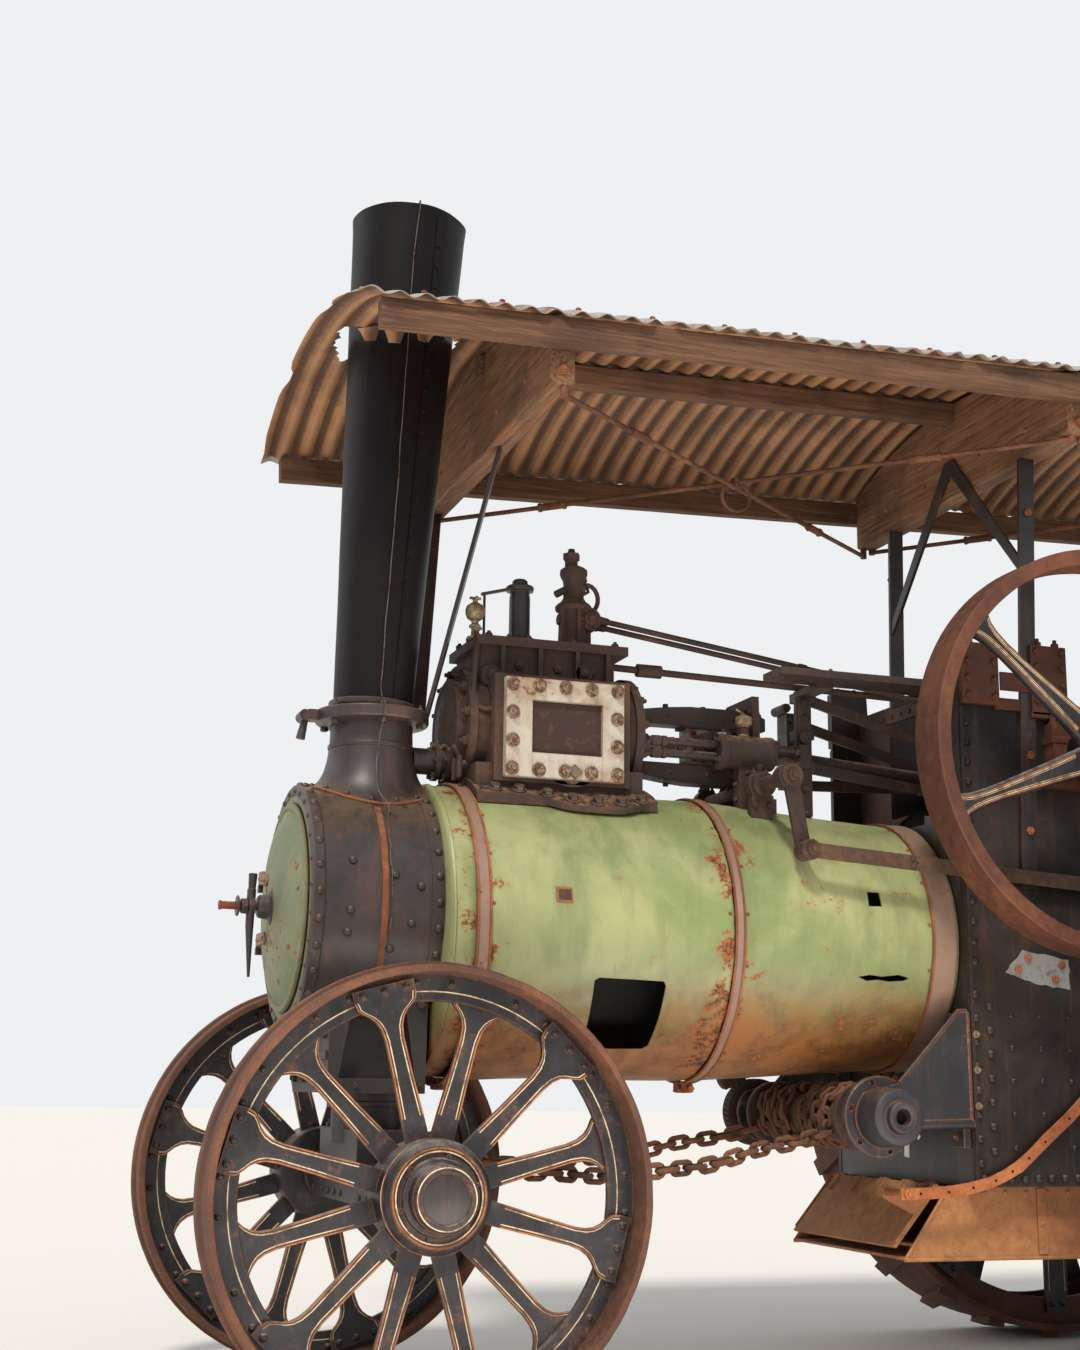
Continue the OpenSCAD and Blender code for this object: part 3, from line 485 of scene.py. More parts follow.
@dataclass(frozen=True)
class DryTimber:
    """Weathered timber with grain along one axis, cracks and rusty stains."""

    name: str
    axis: int = 0
    pale: Colour = paint(136, 98, 69)
    brown: Colour = paint(101, 69, 47)
    dark: Colour = paint(50, 34, 25)

    def build(self) -> bpy.types.Material:
        """Returns the material.

        Returns:
            The finished material.
        """
        g = Graph(self.name)
        long = [1.0, 1.0, 1.0]
        long[self.axis] = 0.045
        grain = g.cloud(90, 6, 0.7, by=long, bend=0.4)
        bands = g.cloud(22, 4, 0.6, by=long, bend=0.8)
        patches = g.cloud(3.5, 5, 0.6)
        colour = g.stops(grain, [(0.3, self.dark), (0.5, self.brown), (0.72, self.pale)])
        colour = g.mix(g.times(g.between(bands, 0.4, 0.7), 0.5), colour, self.brown)
        colour = g.mix(g.times(g.between(patches, 0.45, 0.7), 0.55), colour, self.dark)
        cracks = g.between(g.cells(26, by=long), 0.09, 0.02)
        colour = g.mix(g.times(cracks, 0.8), colour, self.dark)
        # Painted shade: corners are darkened towards the dark colour by ambient occlusion.
        colour = g.mix(g.times(g.corners(0.05), 0.5), colour, self.dark)
        height = g.calc("SUBTRACT", grain, g.times(cracks, 0.6))
        return g.finish(colour, 0.86, 0.0, g.relief(height, 0.0022))


@dataclass(frozen=True)
class RoofIron:
    """Corrugated iron: tan stained below, grey and rusty above, with painted shade between the waves and a
    painted highlight on their lowest lobes below.
    """

    name: str
    tan: Colour = paint(186, 136, 94)
    umber: Colour = paint(126, 88, 62)
    zinc: Colour = paint(168, 164, 158)
    rust: Colour = paint(134, 78, 46)
    # Painted shade colour for the hollows between the waves, seen from below.
    groove_shade: Colour = paint(70, 47, 34)
    # Painted highlight colour for the lowest lobes of the waves, seen from below.
    light: Colour = paint(206, 160, 116)
    pitch: float = 0.0762
    slope: float = 2.2
    back: float = -3.745
    level: float = 1.3172

    def wave(self, g: Graph) -> bpy.types.NodeSocket:
        """Returns how high the corrugation stands at each place, from 0 to 1.

        Args:
            g: the graph that takes the nodes.

        Returns:
            The height of the wave.
        """
        turn = math.radians(self.slope)
        ahead = g.free("MULTIPLY", g.along(0), math.cos(turn) / self.pitch)
        up = g.free("MULTIPLY", g.along(2), -math.sin(turn) / self.pitch)
        shift = -(AXLE * math.cos(turn) - self.level * math.sin(turn) + self.back) / self.pitch
        turns = g.free("ADD", g.free("ADD", ahead, up), shift)
        swing = g.free("COSINE", g.free("MULTIPLY", turns, TAU))
        return g.free("ADD", g.free("MULTIPLY", swing, -0.5), 0.5)

    def build(self) -> bpy.types.Material:
        """Returns the material.

        Returns:
            The finished material.
        """
        g = Graph(self.name)
        broad = g.cloud(1.7, 6, 0.65, bend=0.8)
        across = g.cloud(9, 6, 0.65, by=(1.0, 0.12, 0.3))
        fine = g.cloud(60, 5, 0.7)
        under = g.mix(g.between(broad, 0.36, 0.64), self.tan, self.umber)
        under = g.mix(g.times(g.between(across, 0.45, 0.68), 0.6), under, self.umber)
        under = g.mix(g.times(g.between(fine, 0.5, 0.75), 0.3), under, self.rust)
        wave = self.wave(g)
        # Painted shade: the hollows between the waves are darkened on the underside.
        under = g.mix(g.times(g.between(wave, 0.45, 0.95), 0.82), under, self.groove_shade)
        # Painted highlight: the lowest lobes of the waves are lightened on the underside.
        under = g.mix(g.times(g.between(wave, 0.35, 0.0), 0.35), under, self.light)
        above = g.mix(g.between(g.cloud(3, 7, 0.7), 0.50, 0.64), self.zinc, self.rust)
        above = g.mix(g.times(g.between(across, 0.5, 0.72), 0.6), above, self.rust)
        above = g.mix(g.times(g.between(wave, 0.3, 0.0), 0.55), above, self.umber)
        aside = g.free("ABSOLUTE", g.along(1))
        under = g.mix(g.times(g.between(aside, 0.738, 0.746), 0.8), under, self.zinc)
        colour = g.mix(g.between(g.facing(2), -0.1, 0.1), under, above)
        # Painted shade: corners are darkened towards umber by ambient occlusion.
        colour = g.mix(g.times(g.corners(0.04), 0.5), colour, self.umber)
        colour = g.mix(g.times(g.edges(0.003), 0.5), colour, self.rust)
        return g.finish(colour, g.between(fine, 0.3, 0.7, 0.55, 0.9), 0.15, g.relief(fine, 0.0008))


@dataclass(frozen=True)
class PlainPaint:
    """A thin painted line, bare metal or soot, with light mottling."""

    name: str
    colour: Colour
    second: Colour
    rough: float = 0.6
    metal: float = 0.0
    share: tuple[float, float] = (0.45, 0.62)
    scale: float = 18.0
    depth: float = 0.0005

    def build(self) -> bpy.types.Material:
        """Returns the material.

        Returns:
            The finished material.
        """
        g = Graph(self.name)
        patches = g.cloud(self.scale, 7, 0.7, bend=0.3)
        fine = g.cloud(self.scale * 7, 4, 0.6)
        colour = g.mix(g.between(patches, *self.share), self.colour, self.second)
        colour = g.mix(g.times(g.between(fine, 0.5, 0.7), 0.3), colour, self.second)
        return g.finish(colour, g.between(patches, 0.3, 0.7, self.rough, min(self.rough + 0.2, 1.0)),
                        self.metal, g.relief(fine, self.depth))


class Palette:
    """Every finish of the engine, built once."""

    def __init__(self) -> None:
        """Builds the finishes."""
        self.green = CladdingPaint("green_cladding").build()
        self.green_strip = CladdingPaint("green_ring", bands=(1.41, 1.45), low=0.9).build()
        self.band = OldPaint("band_brown", paint(126, 100, 88), paint(146, 118, 100), worn=0.55, edge=1.0,
                             rough=0.6).build()
        self.smoke = OldPaint("smokebox_black", paint(36, 31, 31), paint(64, 53, 51), paint(112, 66, 44),
                              paint(38, 30, 29), worn=0.42, edge=0.7, streaks=0.35, rough=0.42).build()
        self.black = OldPaint("black_iron", paint(27, 25, 26), paint(48, 44, 44), paint(116, 68, 42),
                              paint(48, 32, 26), worn=0.34, edge=0.9, streaks=0.25, rough=0.4).build()
        self.chimney = OldPaint("chimney_black", paint(16, 13, 14), paint(24, 20, 21), paint(66, 44, 36),
                                paint(24, 19, 18), worn=0.04, edge=0.4, streaks=0.12, dust=0.0,
                                rough=0.46, gloss=0.14).build()
        self.door = OldPaint("door_green", paint(96, 108, 76), paint(120, 128, 96), worn=0.66, edge=1.0,
                             rough=0.55, scale=1.6).build()
        self.panel = OldPaint("spoke_charcoal", paint(23, 22, 25), paint(48, 46, 50), paint(138, 90, 58),
                              paint(60, 42, 34), worn=0.42, edge=1.1, streaks=0.1, dust=0.4,
                              dust_colour=paint(150, 144, 138), rough=0.45, scale=2.2, gloss=0.34).build()
        self.cream = PlainPaint("cream_line", paint(206, 190, 156), paint(140, 110, 80)).build()
        self.orange = PlainPaint("orange_line", paint(160, 98, 58), paint(112, 70, 46)).build()
        self.tyre = RustyIron("tyre_rust", paint(56, 36, 29), paint(88, 55, 40), paint(124, 78, 54),
                              brightness=0.45, dusty=0.1, scale=8).build()
        self.iron = RustyIron("cast_rust", paint(34, 26, 23), paint(66, 46, 37), paint(108, 74, 52),
                              brightness=0.35).build()
        self.oily = RustyIron("oily_iron", paint(30, 24, 22), paint(60, 43, 35), paint(108, 70, 48),
                              brightness=0.3, rough=0.6, dusty=0.3).build()
        self.rust = RustyIron("bright_rust", paint(74, 42, 30), paint(128, 74, 44), paint(170, 102, 58),
                              brightness=0.55).build()
        self.rim = RustyIron("rim_rust", paint(56, 31, 23), paint(86, 48, 32), paint(118, 70, 45),
                             brightness=0.4, scale=6, dusty=0.1, rough=0.7, pits=0.0008).build()
        self.tan = RustyIron("ash_rust", paint(96, 60, 38), paint(146, 95, 58), paint(178, 126, 80),
                             paint(192, 148, 104), brightness=0.7, scale=5, pits=0.0012).build()
        self.cover = OldPaint("chest_cream", paint(184, 176, 162), paint(156, 136, 114),
                              paint(140, 92, 62), paint(92, 60, 44), worn=0.60, edge=1.2, streaks=0.35,
                              dust=0.0, rough=0.75, scale=2.4, bubbles=0.0012).build()
        self.steel = PlainPaint("worn_steel", paint(112, 100, 92), paint(92, 58, 40), 0.4, 0.75,
                                (0.46, 0.6), 22).build()
        self.torn = PlainPaint("bare_patch", paint(152, 152, 150), paint(104, 92, 84), 0.45, 0.5,
                               (0.48, 0.66), 16).build()
        self.panel_red = PlainPaint("chest_panel", paint(50, 30, 24), paint(78, 50, 36), 0.66, 0.1,
                                    (0.5, 0.66), 30, 0.0008).build()
        self.stud = PlainPaint("cream_studs", paint(150, 128, 104), paint(94, 62, 44), 0.6, 0.1,
                               (0.40, 0.56), 60, 0.0006).build()
        self.stud_old = RustyIron("grey_studs", paint(70, 56, 46), paint(112, 96, 78), paint(140, 110, 84),
                                  brightness=0.5).build()
        self.brass = PlainPaint("dull_brass", paint(150, 134, 104), paint(104, 82, 58), 0.45, 0.4,
                                (0.44, 0.6), 40, 0.0006).build()
        self.horn = OldPaint("hornplate_black", paint(25, 22, 22), paint(50, 43, 39), paint(98, 66, 48),
                             paint(42, 30, 26), worn=0.30, edge=0.7, streaks=0.45, dust=0.3,
                             dust_colour=paint(150, 146, 138), rough=0.42, scale=1.2, bubbles=0.0010,
                             gloss=0.3).build()
        self.rimmed = OldPaint("bracket_black", paint(30, 30, 34), paint(48, 47, 52), paint(176, 112, 66),
                               paint(92, 56, 38), worn=0.30, edge=1.25, streaks=0.08, dust=0.15,
                               rough=0.5, scale=2.0).build()
        self.link = RustyIron("chain_rust", paint(52, 32, 24), paint(98, 62, 42), paint(146, 96, 62),
                              paint(150, 116, 84), brightness=0.4, scale=16).build()
        self.strap = RustyIron("strap_rust", paint(96, 52, 32), paint(158, 88, 50), paint(190, 118, 72),
                               paint(190, 146, 104), brightness=0.6, scale=12).build()
        # Near-black soot for the chimney's inside, also used as painted shade for the disc inside the
        # steering boss.
        self.soot_and_shade = PlainPaint("soot_and_shade", paint(16, 14, 14), paint(26, 22, 21), 0.95).build()
        self.beam_x = DryTimber("rail_timber", 0).build()
        self.beam_y = DryTimber("beam_timber", 1, paint(158, 118, 84), paint(124, 84, 56)).build()
        self.roof = RoofIron("roof_iron").build()


class Shape:
    """Collects the faces of one piece, each with the number of its finish."""

    def __init__(self) -> None:
        """Starts an empty shape."""
        self.points: list[Vector] = []
        self.faces: list[tuple[int, ...]] = []
        self.marks: list[int] = []

    def add(self, points: Iterable[Point], faces: Iterable[Sequence[int]], mark: int = 0,
            turn: Optional[Matrix] = None) -> None:
        """Adds points and the faces between them, moved by a matrix where one is given.

        Args:
            points: the new points.
            faces: numbers of the points of each face.
            mark: number of the finish.
            turn: matrix that moves the points.
        """
        start = len(self.points)
        self.points += [turn @ Vector(p) if turn is not None else Vector(p) for p in points]
        new = [tuple(start + i for i in face) for face in faces]
        self.faces += new
        self.marks += [mark] * len(new)

    def block(self, low: Point, high: Point, mark: int = 0, turn: Optional[Matrix] = None) -> None:
        """Adds a box between two corners.

        Args:
            low, high: two opposite corners.
            mark: number of the finish.
            turn: matrix that moves the box.
        """
        x, y, z = zip(low, high)
        points = [(x[i], y[j], z[k]) for i in (0, 1) for j in (0, 1) for k in (0, 1)]
        faces = [(0, 1, 3, 2), (4, 6, 7, 5), (0, 4, 5, 1), (2, 3, 7, 6), (0, 2, 6, 4), (1, 5, 7, 3)]
        self.add(points, faces, mark, turn)

    def loft(self, rings: Sequence[Sequence[Point]], mark: int = 0, turn: Optional[Matrix] = None,
             caps: bool = True, loop: bool = False) -> None:
        """Joins a row of equal rings with faces.

        Args:
            rings: closed outlines with the same number of points.
            mark: number of the finish.
            turn: matrix that moves the points.
            caps: whether the two ends are closed.
            loop: whether the last ring joins the first.
        """
        count = len(rings[0])
        points = [p for ring in rings for p in ring]
        faces = []
        for r in range(len(rings) if loop else len(rings) - 1):
            s = (r + 1) % len(rings)
            faces += [(r * count + i, r * count + (i + 1) % count,
                       s * count + (i + 1) % count, s * count + i) for i in range(count)]
        if caps and not loop:
            faces.append(tuple(reversed(range(count))))
            faces.append(tuple((len(rings) - 1) * count + i for i in range(count)))
        self.add(points, faces, mark, turn)

    def lathe(self, profile: Sequence[tuple[float, float]], turn: Matrix, sides: int = 48,
              mark: int = 0, loop: bool = False,
              bend: Optional[Callable[[float, float, float], float]] = None) -> None:
        """Turns a profile of radius and height round a local Z axis.

        Args:
            profile: points of radius and height.
            turn: matrix of the local axes.
            sides: number of points round the axis.
            mark: number of the finish.
            loop: whether the profile closes on itself.
            bend: extra radius by radius, height and angle.
        """
        rings = []
        for radius, height in profile:
            ring = []
            for i in range(sides):
                a = TAU * i / sides
                r = radius + (bend(radius, height, a) if bend else 0.0)
                ring.append((r * math.cos(a), r * math.sin(a), height))
            rings.append(ring)
        self.loft(rings, mark=mark, turn=turn, caps=not loop, loop=loop)

    def rod(self, start: Point, end: Point, radius: float, far: Optional[float] = None,
            sides: int = 14, mark: int = 0) -> None:
        """Adds a round bar between two points."""
        way = Vector(end) - Vector(start)
        self.lathe([(radius, 0), (far or radius, way.length)], aim(start, way), sides, mark=mark)

    def bar(self, start: Point, end: Point, width: float, depth: float, mark: int = 0,
            side: str = "Y") -> None:
        """Adds a flat bar between two points.

        Args:
            start, end: middle of its two ends.
            width, depth: size of its section.
            mark: number of the finish.
            side: world axis that its depth keeps to.
        """
        way = Vector(end) - Vector(start)
        self.block((-width / 2, -depth / 2, 0), (width / 2, depth / 2, way.length), mark=mark,
                   turn=aim(start, way, side))

    def plate(self, outline: Sequence[tuple[float, float]], thickness: float, turn: Matrix,
              mark: int = 0) -> None:
        """Adds a flat plate from an outline in the local XY plane."""
        self.loft([[(x, y, z) for x, y in outline] for z in (0.0, thickness)], mark=mark, turn=turn)

    def tube(self, path: Sequence[Point], radius: float, sides: int = 10, mark: int = 0,
             loop: bool = False) -> None:
        """Adds a round tube along a path.

        Args:
            path: places along its middle.
            radius: its radius.
            sides: points round it.
            mark: number of the finish.
            loop: whether its end joins its start.
        """
        spots = [Vector(p) for p in path]
        count = len(spots)
        rings = []
        side = None
        for i, spot in enumerate(spots):
            if loop:
                way = spots[(i + 1) % count] - spots[i - 1]
            else:
                way = spots[min(i + 1, count - 1)] - spots[max(i - 1, 0)]
            way.normalize()
            if side is None:
                side = way.orthogonal().normalized()
            side = (side - way * side.dot(way)).normalized()
            other = way.cross(side)
            ring = []
            for k in range(sides):
                a = TAU * k / sides
                ring.append(spot + (side * math.cos(a) + other * math.sin(a)) * radius)
            rings.append(ring)
        self.loft(rings, mark=mark, caps=not loop, loop=loop)

    def rivets(self, places: Iterable[Point], normal: Callable[[Vector], Vector] | Point, radius: float,
               height: float, mark: int = 0, sides: int = 8) -> None:
        """Adds domed rivet heads.

        Args:
            places: their places on the surface.
            normal: direction of all of them, or one by place.
            radius, height: size of a head.
            mark: number of the finish.
            sides: points round a head.
        """
        profile = [(radius, -0.002), (radius, height * 0.25), (radius * 0.8, height * 0.7),
                   (radius * 0.35, height)]
        for place in places:
            way = normal(Vector(place)) if callable(normal) else normal
            self.lathe(profile, aim(place, way), sides, mark=mark)

    def bolts(self, places: Iterable[Point], normal: Point, width: float, height: float, mark: int = 0,
              stud: float = 0.0, square: bool = False) -> None:
        """Adds nuts or square bolt heads, with a stud end where one is given.

        Args:
            places: their places on the surface.
            normal: direction that they point in.
            width, height: radius over the corners and height.
            mark: number of the finish.
            stud: how far a stud stands out of the nut.
            square: whether the heads have four sides.
        """
        sides = 4 if square else 6
        for i, place in enumerate(places):
            turn = aim(place, normal) @ Matrix.Rotation(0.9 * i, 4, "Z")
            self.lathe([(width, -0.002), (width, height * 0.8), (width * 0.86, height)], turn, sides,
                       mark=mark)
            if stud:
                self.lathe([(width * 0.5, height * 0.9), (width * 0.5, height + stud)], turn, 8, mark=mark)

    def grid(self, across: int, along: int, place: Callable[[float, float], Vector],
             thickness: float = 0.0, out: Optional[Callable[[float, float], Vector]] = None,
             mark: int = 0) -> None:
        """Adds a curved sheet.

        Args:
            across, along: numbers of cells.
            place: surface point for two shares of 0 to 1.
            thickness: thickness below the surface, where it is a closed sheet.
            out: surface direction for the same shares.
            mark: number of the finish.
        """
        top = [place(i / across, j / along) for j in range(along + 1) for i in range(across + 1)]
        row = across + 1
        faces = [(j * row + i, j * row + i + 1, (j + 1) * row + i + 1, (j + 1) * row + i)
                 for j in range(along) for i in range(across)]
        if not thickness:
            self.add(top, faces, mark)
            return
        low = [place(i / across, j / along) - out(i / across, j / along) * thickness
               for j in range(along + 1) for i in range(across + 1)]
        size = len(top)
        faces += [tuple(size + i for i in reversed(face)) for face in faces]
        rim = list(range(across)) + [across + j * row for j in range(along)]
        rim += [along * row + i for i in range(across, 0, -1)] + [j * row for j in range(along, 0, -1)]
        for k, first in enumerate(rim):
            second = rim[(k + 1) % len(rim)]
            faces.append((second, first, first + size, second + size))
        self.add(top + low, faces, mark)

    def make(self, name: str, body: Body, slot: Slot, finishes: Sequence[bpy.types.Material],
             bevel: float = 0.0, angle: float = 35.0, replaces: Sequence[str] = (),
             flip: bool = True, ride: bool = True) -> bpy.types.Object:
        """Turns the shape into a piece of the scene.

        Args:
            name: name of the piece.
            body: body that it moves with.
            slot: material slot of the record; not used.
            finishes: materials by mark.
            bevel: width of its worn edges.
            angle: faces that meet under this angle look smooth.
            replaces: CAD nodes that it stands for.
            flip: whether all faces are turned outwards.
            ride: whether it rides on the body now.

        Returns:
            The object.
        """
        mesh = bpy.data.meshes.new(name)
        mesh.from_pydata([tuple(p) for p in self.points], [], self.faces)
        for finish in finishes:
            mesh.materials.append(finish)
        mesh.polygons.foreach_set("material_index", self.marks)
        if flip:
            work = bmesh.new()
            work.from_mesh(mesh)
            bmesh.ops.recalc_face_normals(work, faces=work.faces)
            work.to_mesh(mesh)
            work.free()
        mesh.shade_smooth()
        mesh.set_sharp_from_angle(angle=math.radians(angle))
        made = bpy.data.objects.new(name, mesh)
        bpy.context.scene.collection.objects.link(made)
        if bevel:
            rounding = made.modifiers.new("edge", "BEVEL")
            rounding.width = bevel
            rounding.segments = 1 if len(self.faces) > MANY_FACES else 2
            rounding.limit_method = "ANGLE"
            rounding.angle_limit = math.radians(32)
        if ride:
            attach(made, body.value)
        if replaces:
            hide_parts(*replaces)
        log.info("%s: %d faces", name, len(self.faces))
        return made


def cut(target: bpy.types.Object, cutter: Shape) -> None:
    """Cuts a shape out of a piece and keeps the result in its mesh.

    Args:
        target: the piece.
        cutter: the shape that is taken away.
    """
    mesh = bpy.data.meshes.new("cutter")
    mesh.from_pydata([tuple(p) for p in cutter.points], [], cutter.faces)
    work = bmesh.new()
    work.from_mesh(mesh)
    bmesh.ops.recalc_face_normals(work, faces=work.faces)
    work.to_mesh(mesh)
    work.free()
    tool = bpy.data.objects.new("cutter", mesh)
    bpy.context.scene.collection.objects.link(tool)
    step = target.modifiers.new("cut", "BOOLEAN")
    step.object = tool
    step.operation = "DIFFERENCE"
    step.solver = "EXACT"
    bpy.context.view_layer.update()
    ready = target.evaluated_get(bpy.context.evaluated_depsgraph_get())
    result = bpy.data.meshes.new_from_object(ready)
    target.modifiers.remove(step)
    old = target.data
    target.data = result
    bpy.data.meshes.remove(old)
    bpy.data.objects.remove(tool)
    bpy.data.meshes.remove(mesh)


def dress(finish: bpy.types.Material, *nodes: str) -> None:
    """Gives CAD nodes a finish.

    Args:
        finish: the material.
        nodes: names of the nodes.
    """
    for node in nodes:
        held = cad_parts[node]
        if not held.material_slots:
            held.data.materials.append(finish)
        for place in held.material_slots:
            place.link = "OBJECT"
            place.material = finish


def punch(target: bpy.types.Object, outline: Sequence[tuple[float, float]], inner: float,
          outer: float) -> None:
    """Cuts a hole through the left side of a piece.

    Args:
        target: the piece.
        outline: the hole seen from the side, as points of X and Z.
        inner, outer: where the cut starts and ends in Y.
    """
    tool = Shape()
    tool.loft([[at(x, y, z) for x, z in outline] for y in (inner, outer)])
    cut(target, tool)


def smooth(piece: bpy.types.Object, degrees: float) -> None:
    """Shades a cut piece smooth, with sharp edges where its faces meet at more than an angle."""
    piece.data.shade_smooth()
    piece.data.set_sharp_from_angle(angle=math.radians(degrees))


def outwards(u: float, v: float) -> Vector:
    """Returns the direction away from the boiler's middle line at a share of the turn."""
    return Vector((0, math.sin(TAU * u), math.cos(TAU * u)))


def flowing(points: Sequence[Vector], steps: int) -> list[Vector]:
    """Returns a smooth line through points.

    Args:
        points: the points that the line meets.
        steps: how many steps it takes from each point to the next.

    Returns:
        The points of the smooth line.
    """
    ends = [points[0] * 2 - points[1], *points, points[-1] * 2 - points[-2]]
    line = []
    for before, here, after, later in zip(ends, ends[1:], ends[2:], ends[3:]):
        for k in range(steps):
            t = k / steps
            square = before * 2 - here * 5 + after * 4 - later
            cube = here * 3 - before - after * 3 + later
            line.append((here * 2 + (after - before) * t + square * t ** 2 + cube * t ** 3) / 2)
    line.append(points[-1].copy())
    return line


def ring_of(count: int, radius: float, centre: Point, axis: int, phase: float = 0.0) -> list[Vector]:
    """Returns points round a circle whose axis is X, Y or Z, given as 0, 1 or 2.

    Args:
        count: number of points.
        radius: radius of the circle.
        centre: its centre.
        axis: number of the axis that it stands square to.
        phase: angle of the first point.

    Returns:
        The points.
    """
    spots = []
    for i in range(count):
        a = phase + TAU * i / count
        flat = [radius * math.cos(a), radius * math.sin(a)]
        flat.insert(axis, 0.0)
        spots.append(Vector(centre) + Vector(flat))
    return spots


@dataclass
class FrontWheel:
    """A front wheel: ribbed tyre, riveted flange, twelve flared spokes and a capped hub."""

    side: Side
    body: Body
    radius: float = 0.590
    outer: float = 0.760
    width: float = 0.200
    spokes: int = 12

    def frame_of(self) -> Matrix:
        """Returns axes at the wheel's centre with Z pointing outwards."""
        middle = self.outer - self.width / 2
        return aim(at(0, self.side.value * middle, self.radius), (0, self.side.value, 0))

    def tyre(self, palette: Palette) -> None:
        """Builds the tyre and the flange that the spokes rivet to.

        Args:
            palette: the finishes.
        """
        half = self.width / 2
        r = self.radius
        shape = Shape()
        profile = [(r - 0.028, -half), (r - 0.014, -half), (r - 0.010, -half + 0.004),
                   (r - 0.010, -0.024), (r - 0.002, -0.021), (r, -0.016), (r, 0.016), (r - 0.002, 0.021),
                   (r - 0.010, 0.024), (r - 0.010, half - 0.004), (r - 0.014, half), (r - 0.028, half),
                   (r - 0.031, half - 0.008), (r - 0.031, -half + 0.008)]

        def chips(radius: float, height: float, a: float) -> float:
            """Returns how deep the tyre is chipped at an angle round the wheel."""
            return -0.0018 * max(0.0, wobble(math.cos(a) * 3, math.sin(a) * 3, height * 9, 4))

        shape.lathe(profile, self.frame_of(), 144, loop=True, bend=chips)
        shape.lathe([(r - 0.103, -0.009), (r - 0.100, -0.009), (r - 0.030, -0.009), (r - 0.030, 0.009),
                     (r - 0.100, 0.009), (r - 0.103, 0.006)], self.frame_of(), 96, mark=1, loop=True)
        for z in (0.0092, -0.0103):
            shape.lathe([(r - 0.079, z), (r - 0.076, z), (r - 0.076, z + 0.001), (r - 0.079, z + 0.001)],
                        self.frame_of(), 96, mark=2, loop=True)
        turn = self.frame_of()
        for i in range(self.spokes):
            for k in (-1, 1):
                a = TAU * (i + 0.5 + 0.33 * k) / self.spokes
                for face in (1, -1):
                    spot = turn @ Vector((math.cos(a) * (r - 0.055), math.sin(a) * (r - 0.055),
                                          face * 0.009))
                    shape.rivets([spot], turn.to_3x3() @ Vector((0, 0, face)), 0.010, 0.008, mark=1)
        name = self.side.name.lower()
        shape.make(f"front_tyre_{name}_detail", self.body, Slot.IRON,
                   [palette.tyre, palette.panel, palette.cream], replaces=[f"front_tyre_{name}"])

    def spoke(self, shape: Shape, turn: Matrix, face: int) -> None:
        """Adds one spoke with its painted lines and rivets to a shape.

        Args:
            shape: the shape that takes it.
            turn: axes with X along the spoke and Z out of the wheel.
            face: 1 where it lies on the outer side of the flange, -1 on the inner side.
        """
        half = [(0.125, 0.031), (0.20, 0.030), (0.30, 0.0265), (0.40, 0.025), (0.432, 0.029), (0.452, 0.037),
                (0.468, 0.050), (0.480, 0.066), (0.492, 0.079), (0.512, 0.084), (0.542, 0.084)]
        outline = half + [(x, -y) for x, y in reversed(half)]
        low = 0.009 if face > 0 else -0.025
        shape.plate(outline, 0.016, turn @ Matrix.Translation((0, 0, low)))
        for inset, wide, mark in ((0.0080, 0.0030, 1), (0.0, 0.0042, 2)):
            for z in (low + 0.0158, low - 0.0008):
                for s in (1, -1):
                    rows = [[(x, s * (y - inset), z), (x, s * (y - inset - wide), z),
                             (x, s * (y - inset - wide), z + 0.001), (x, s * (y - inset), z + 0.001)]
                            for x, y in half[1:-1]]
                    shape.loft(rows, mark=mark, turn=turn)
        for y in (-0.058, 0.0, 0.058):
            for z, way in ((low + 0.016, 1), (low, -1)):
                shape.rivets([turn @ Vector((0.524, y, z))], turn.to_3x3() @ Vector((0, 0, way)), 0.0115,
                             0.010)

    def build(self, palette: Palette) -> None:
        """Builds the whole wheel.

        Args:
            palette: the finishes.
        """
        self.tyre(palette)
        shape = Shape()
        for i in range(self.spokes):
            step = Matrix.Rotation(TAU * (i + 0.5) / self.spokes, 4, "Z")
            self.spoke(shape, self.frame_of() @ step, 1 if i % 2 else -1)
        turn = self.frame_of()
        shape.lathe([(0.046, -0.085), (0.120, -0.085), (0.138, -0.078), (0.142, -0.066), (0.142, 0.088),
                     (0.138, 0.100), (0.128, 0.108), (0.126, 0.110), (0.110, 0.110), (0.107, 0.104),
                     (0.098, 0.104), (0.094, 0.112), (0.088, 0.114), (0.083, 0.118), (0.082, 0.172),
                     (0.078, 0.180), (0.074, 0.182), (0.064, 0.182), (0.061, 0.176), (0.046, 0.176)],
                    turn, 64, loop=True)
        shape.lathe([(0.0, 0.17), (0.062, 0.17), (0.060, 0.1765), (0.030, 0.182), (0.0, 0.184)], turn, 48,
                    mark=3)
        for r0, r1, z, mark in ((0.1385, 0.1435, 0.080, 2), (0.1385, 0.1432, 0.074, 1),
                                (0.111, 0.1145, 0.1095, 1), (0.1185, 0.123, 0.1095, 2),
                                (0.0745, 0.0775, 0.1815, 1), (0.0805, 0.0832, 0.160, 2)):
            shape.lathe([(r0, z), (r1, z), (r1, z + 0.0035 if mark == 2 else z + 0.002), (r0, z + 0.002)],
                        turn, 64, mark=mark, loop=True)
        shape.bolts([turn @ Vector((0.102 * math.cos(a), 0.102 * math.sin(a), 0.104))
                     for a in (TAU * k / 6 + 0.3 for k in range(6))], turn.to_3x3() @ Vector((0, 0, 1)),
                    0.008, 0.006)
        name = self.side.name.lower()
        shape.make(f"front_wheel_{name}_detail", self.body, Slot.LINED,
                   [palette.panel, palette.cream, palette.orange, palette.black], bevel=0.0012,
                   replaces=[f"front_wheel_{name}"])


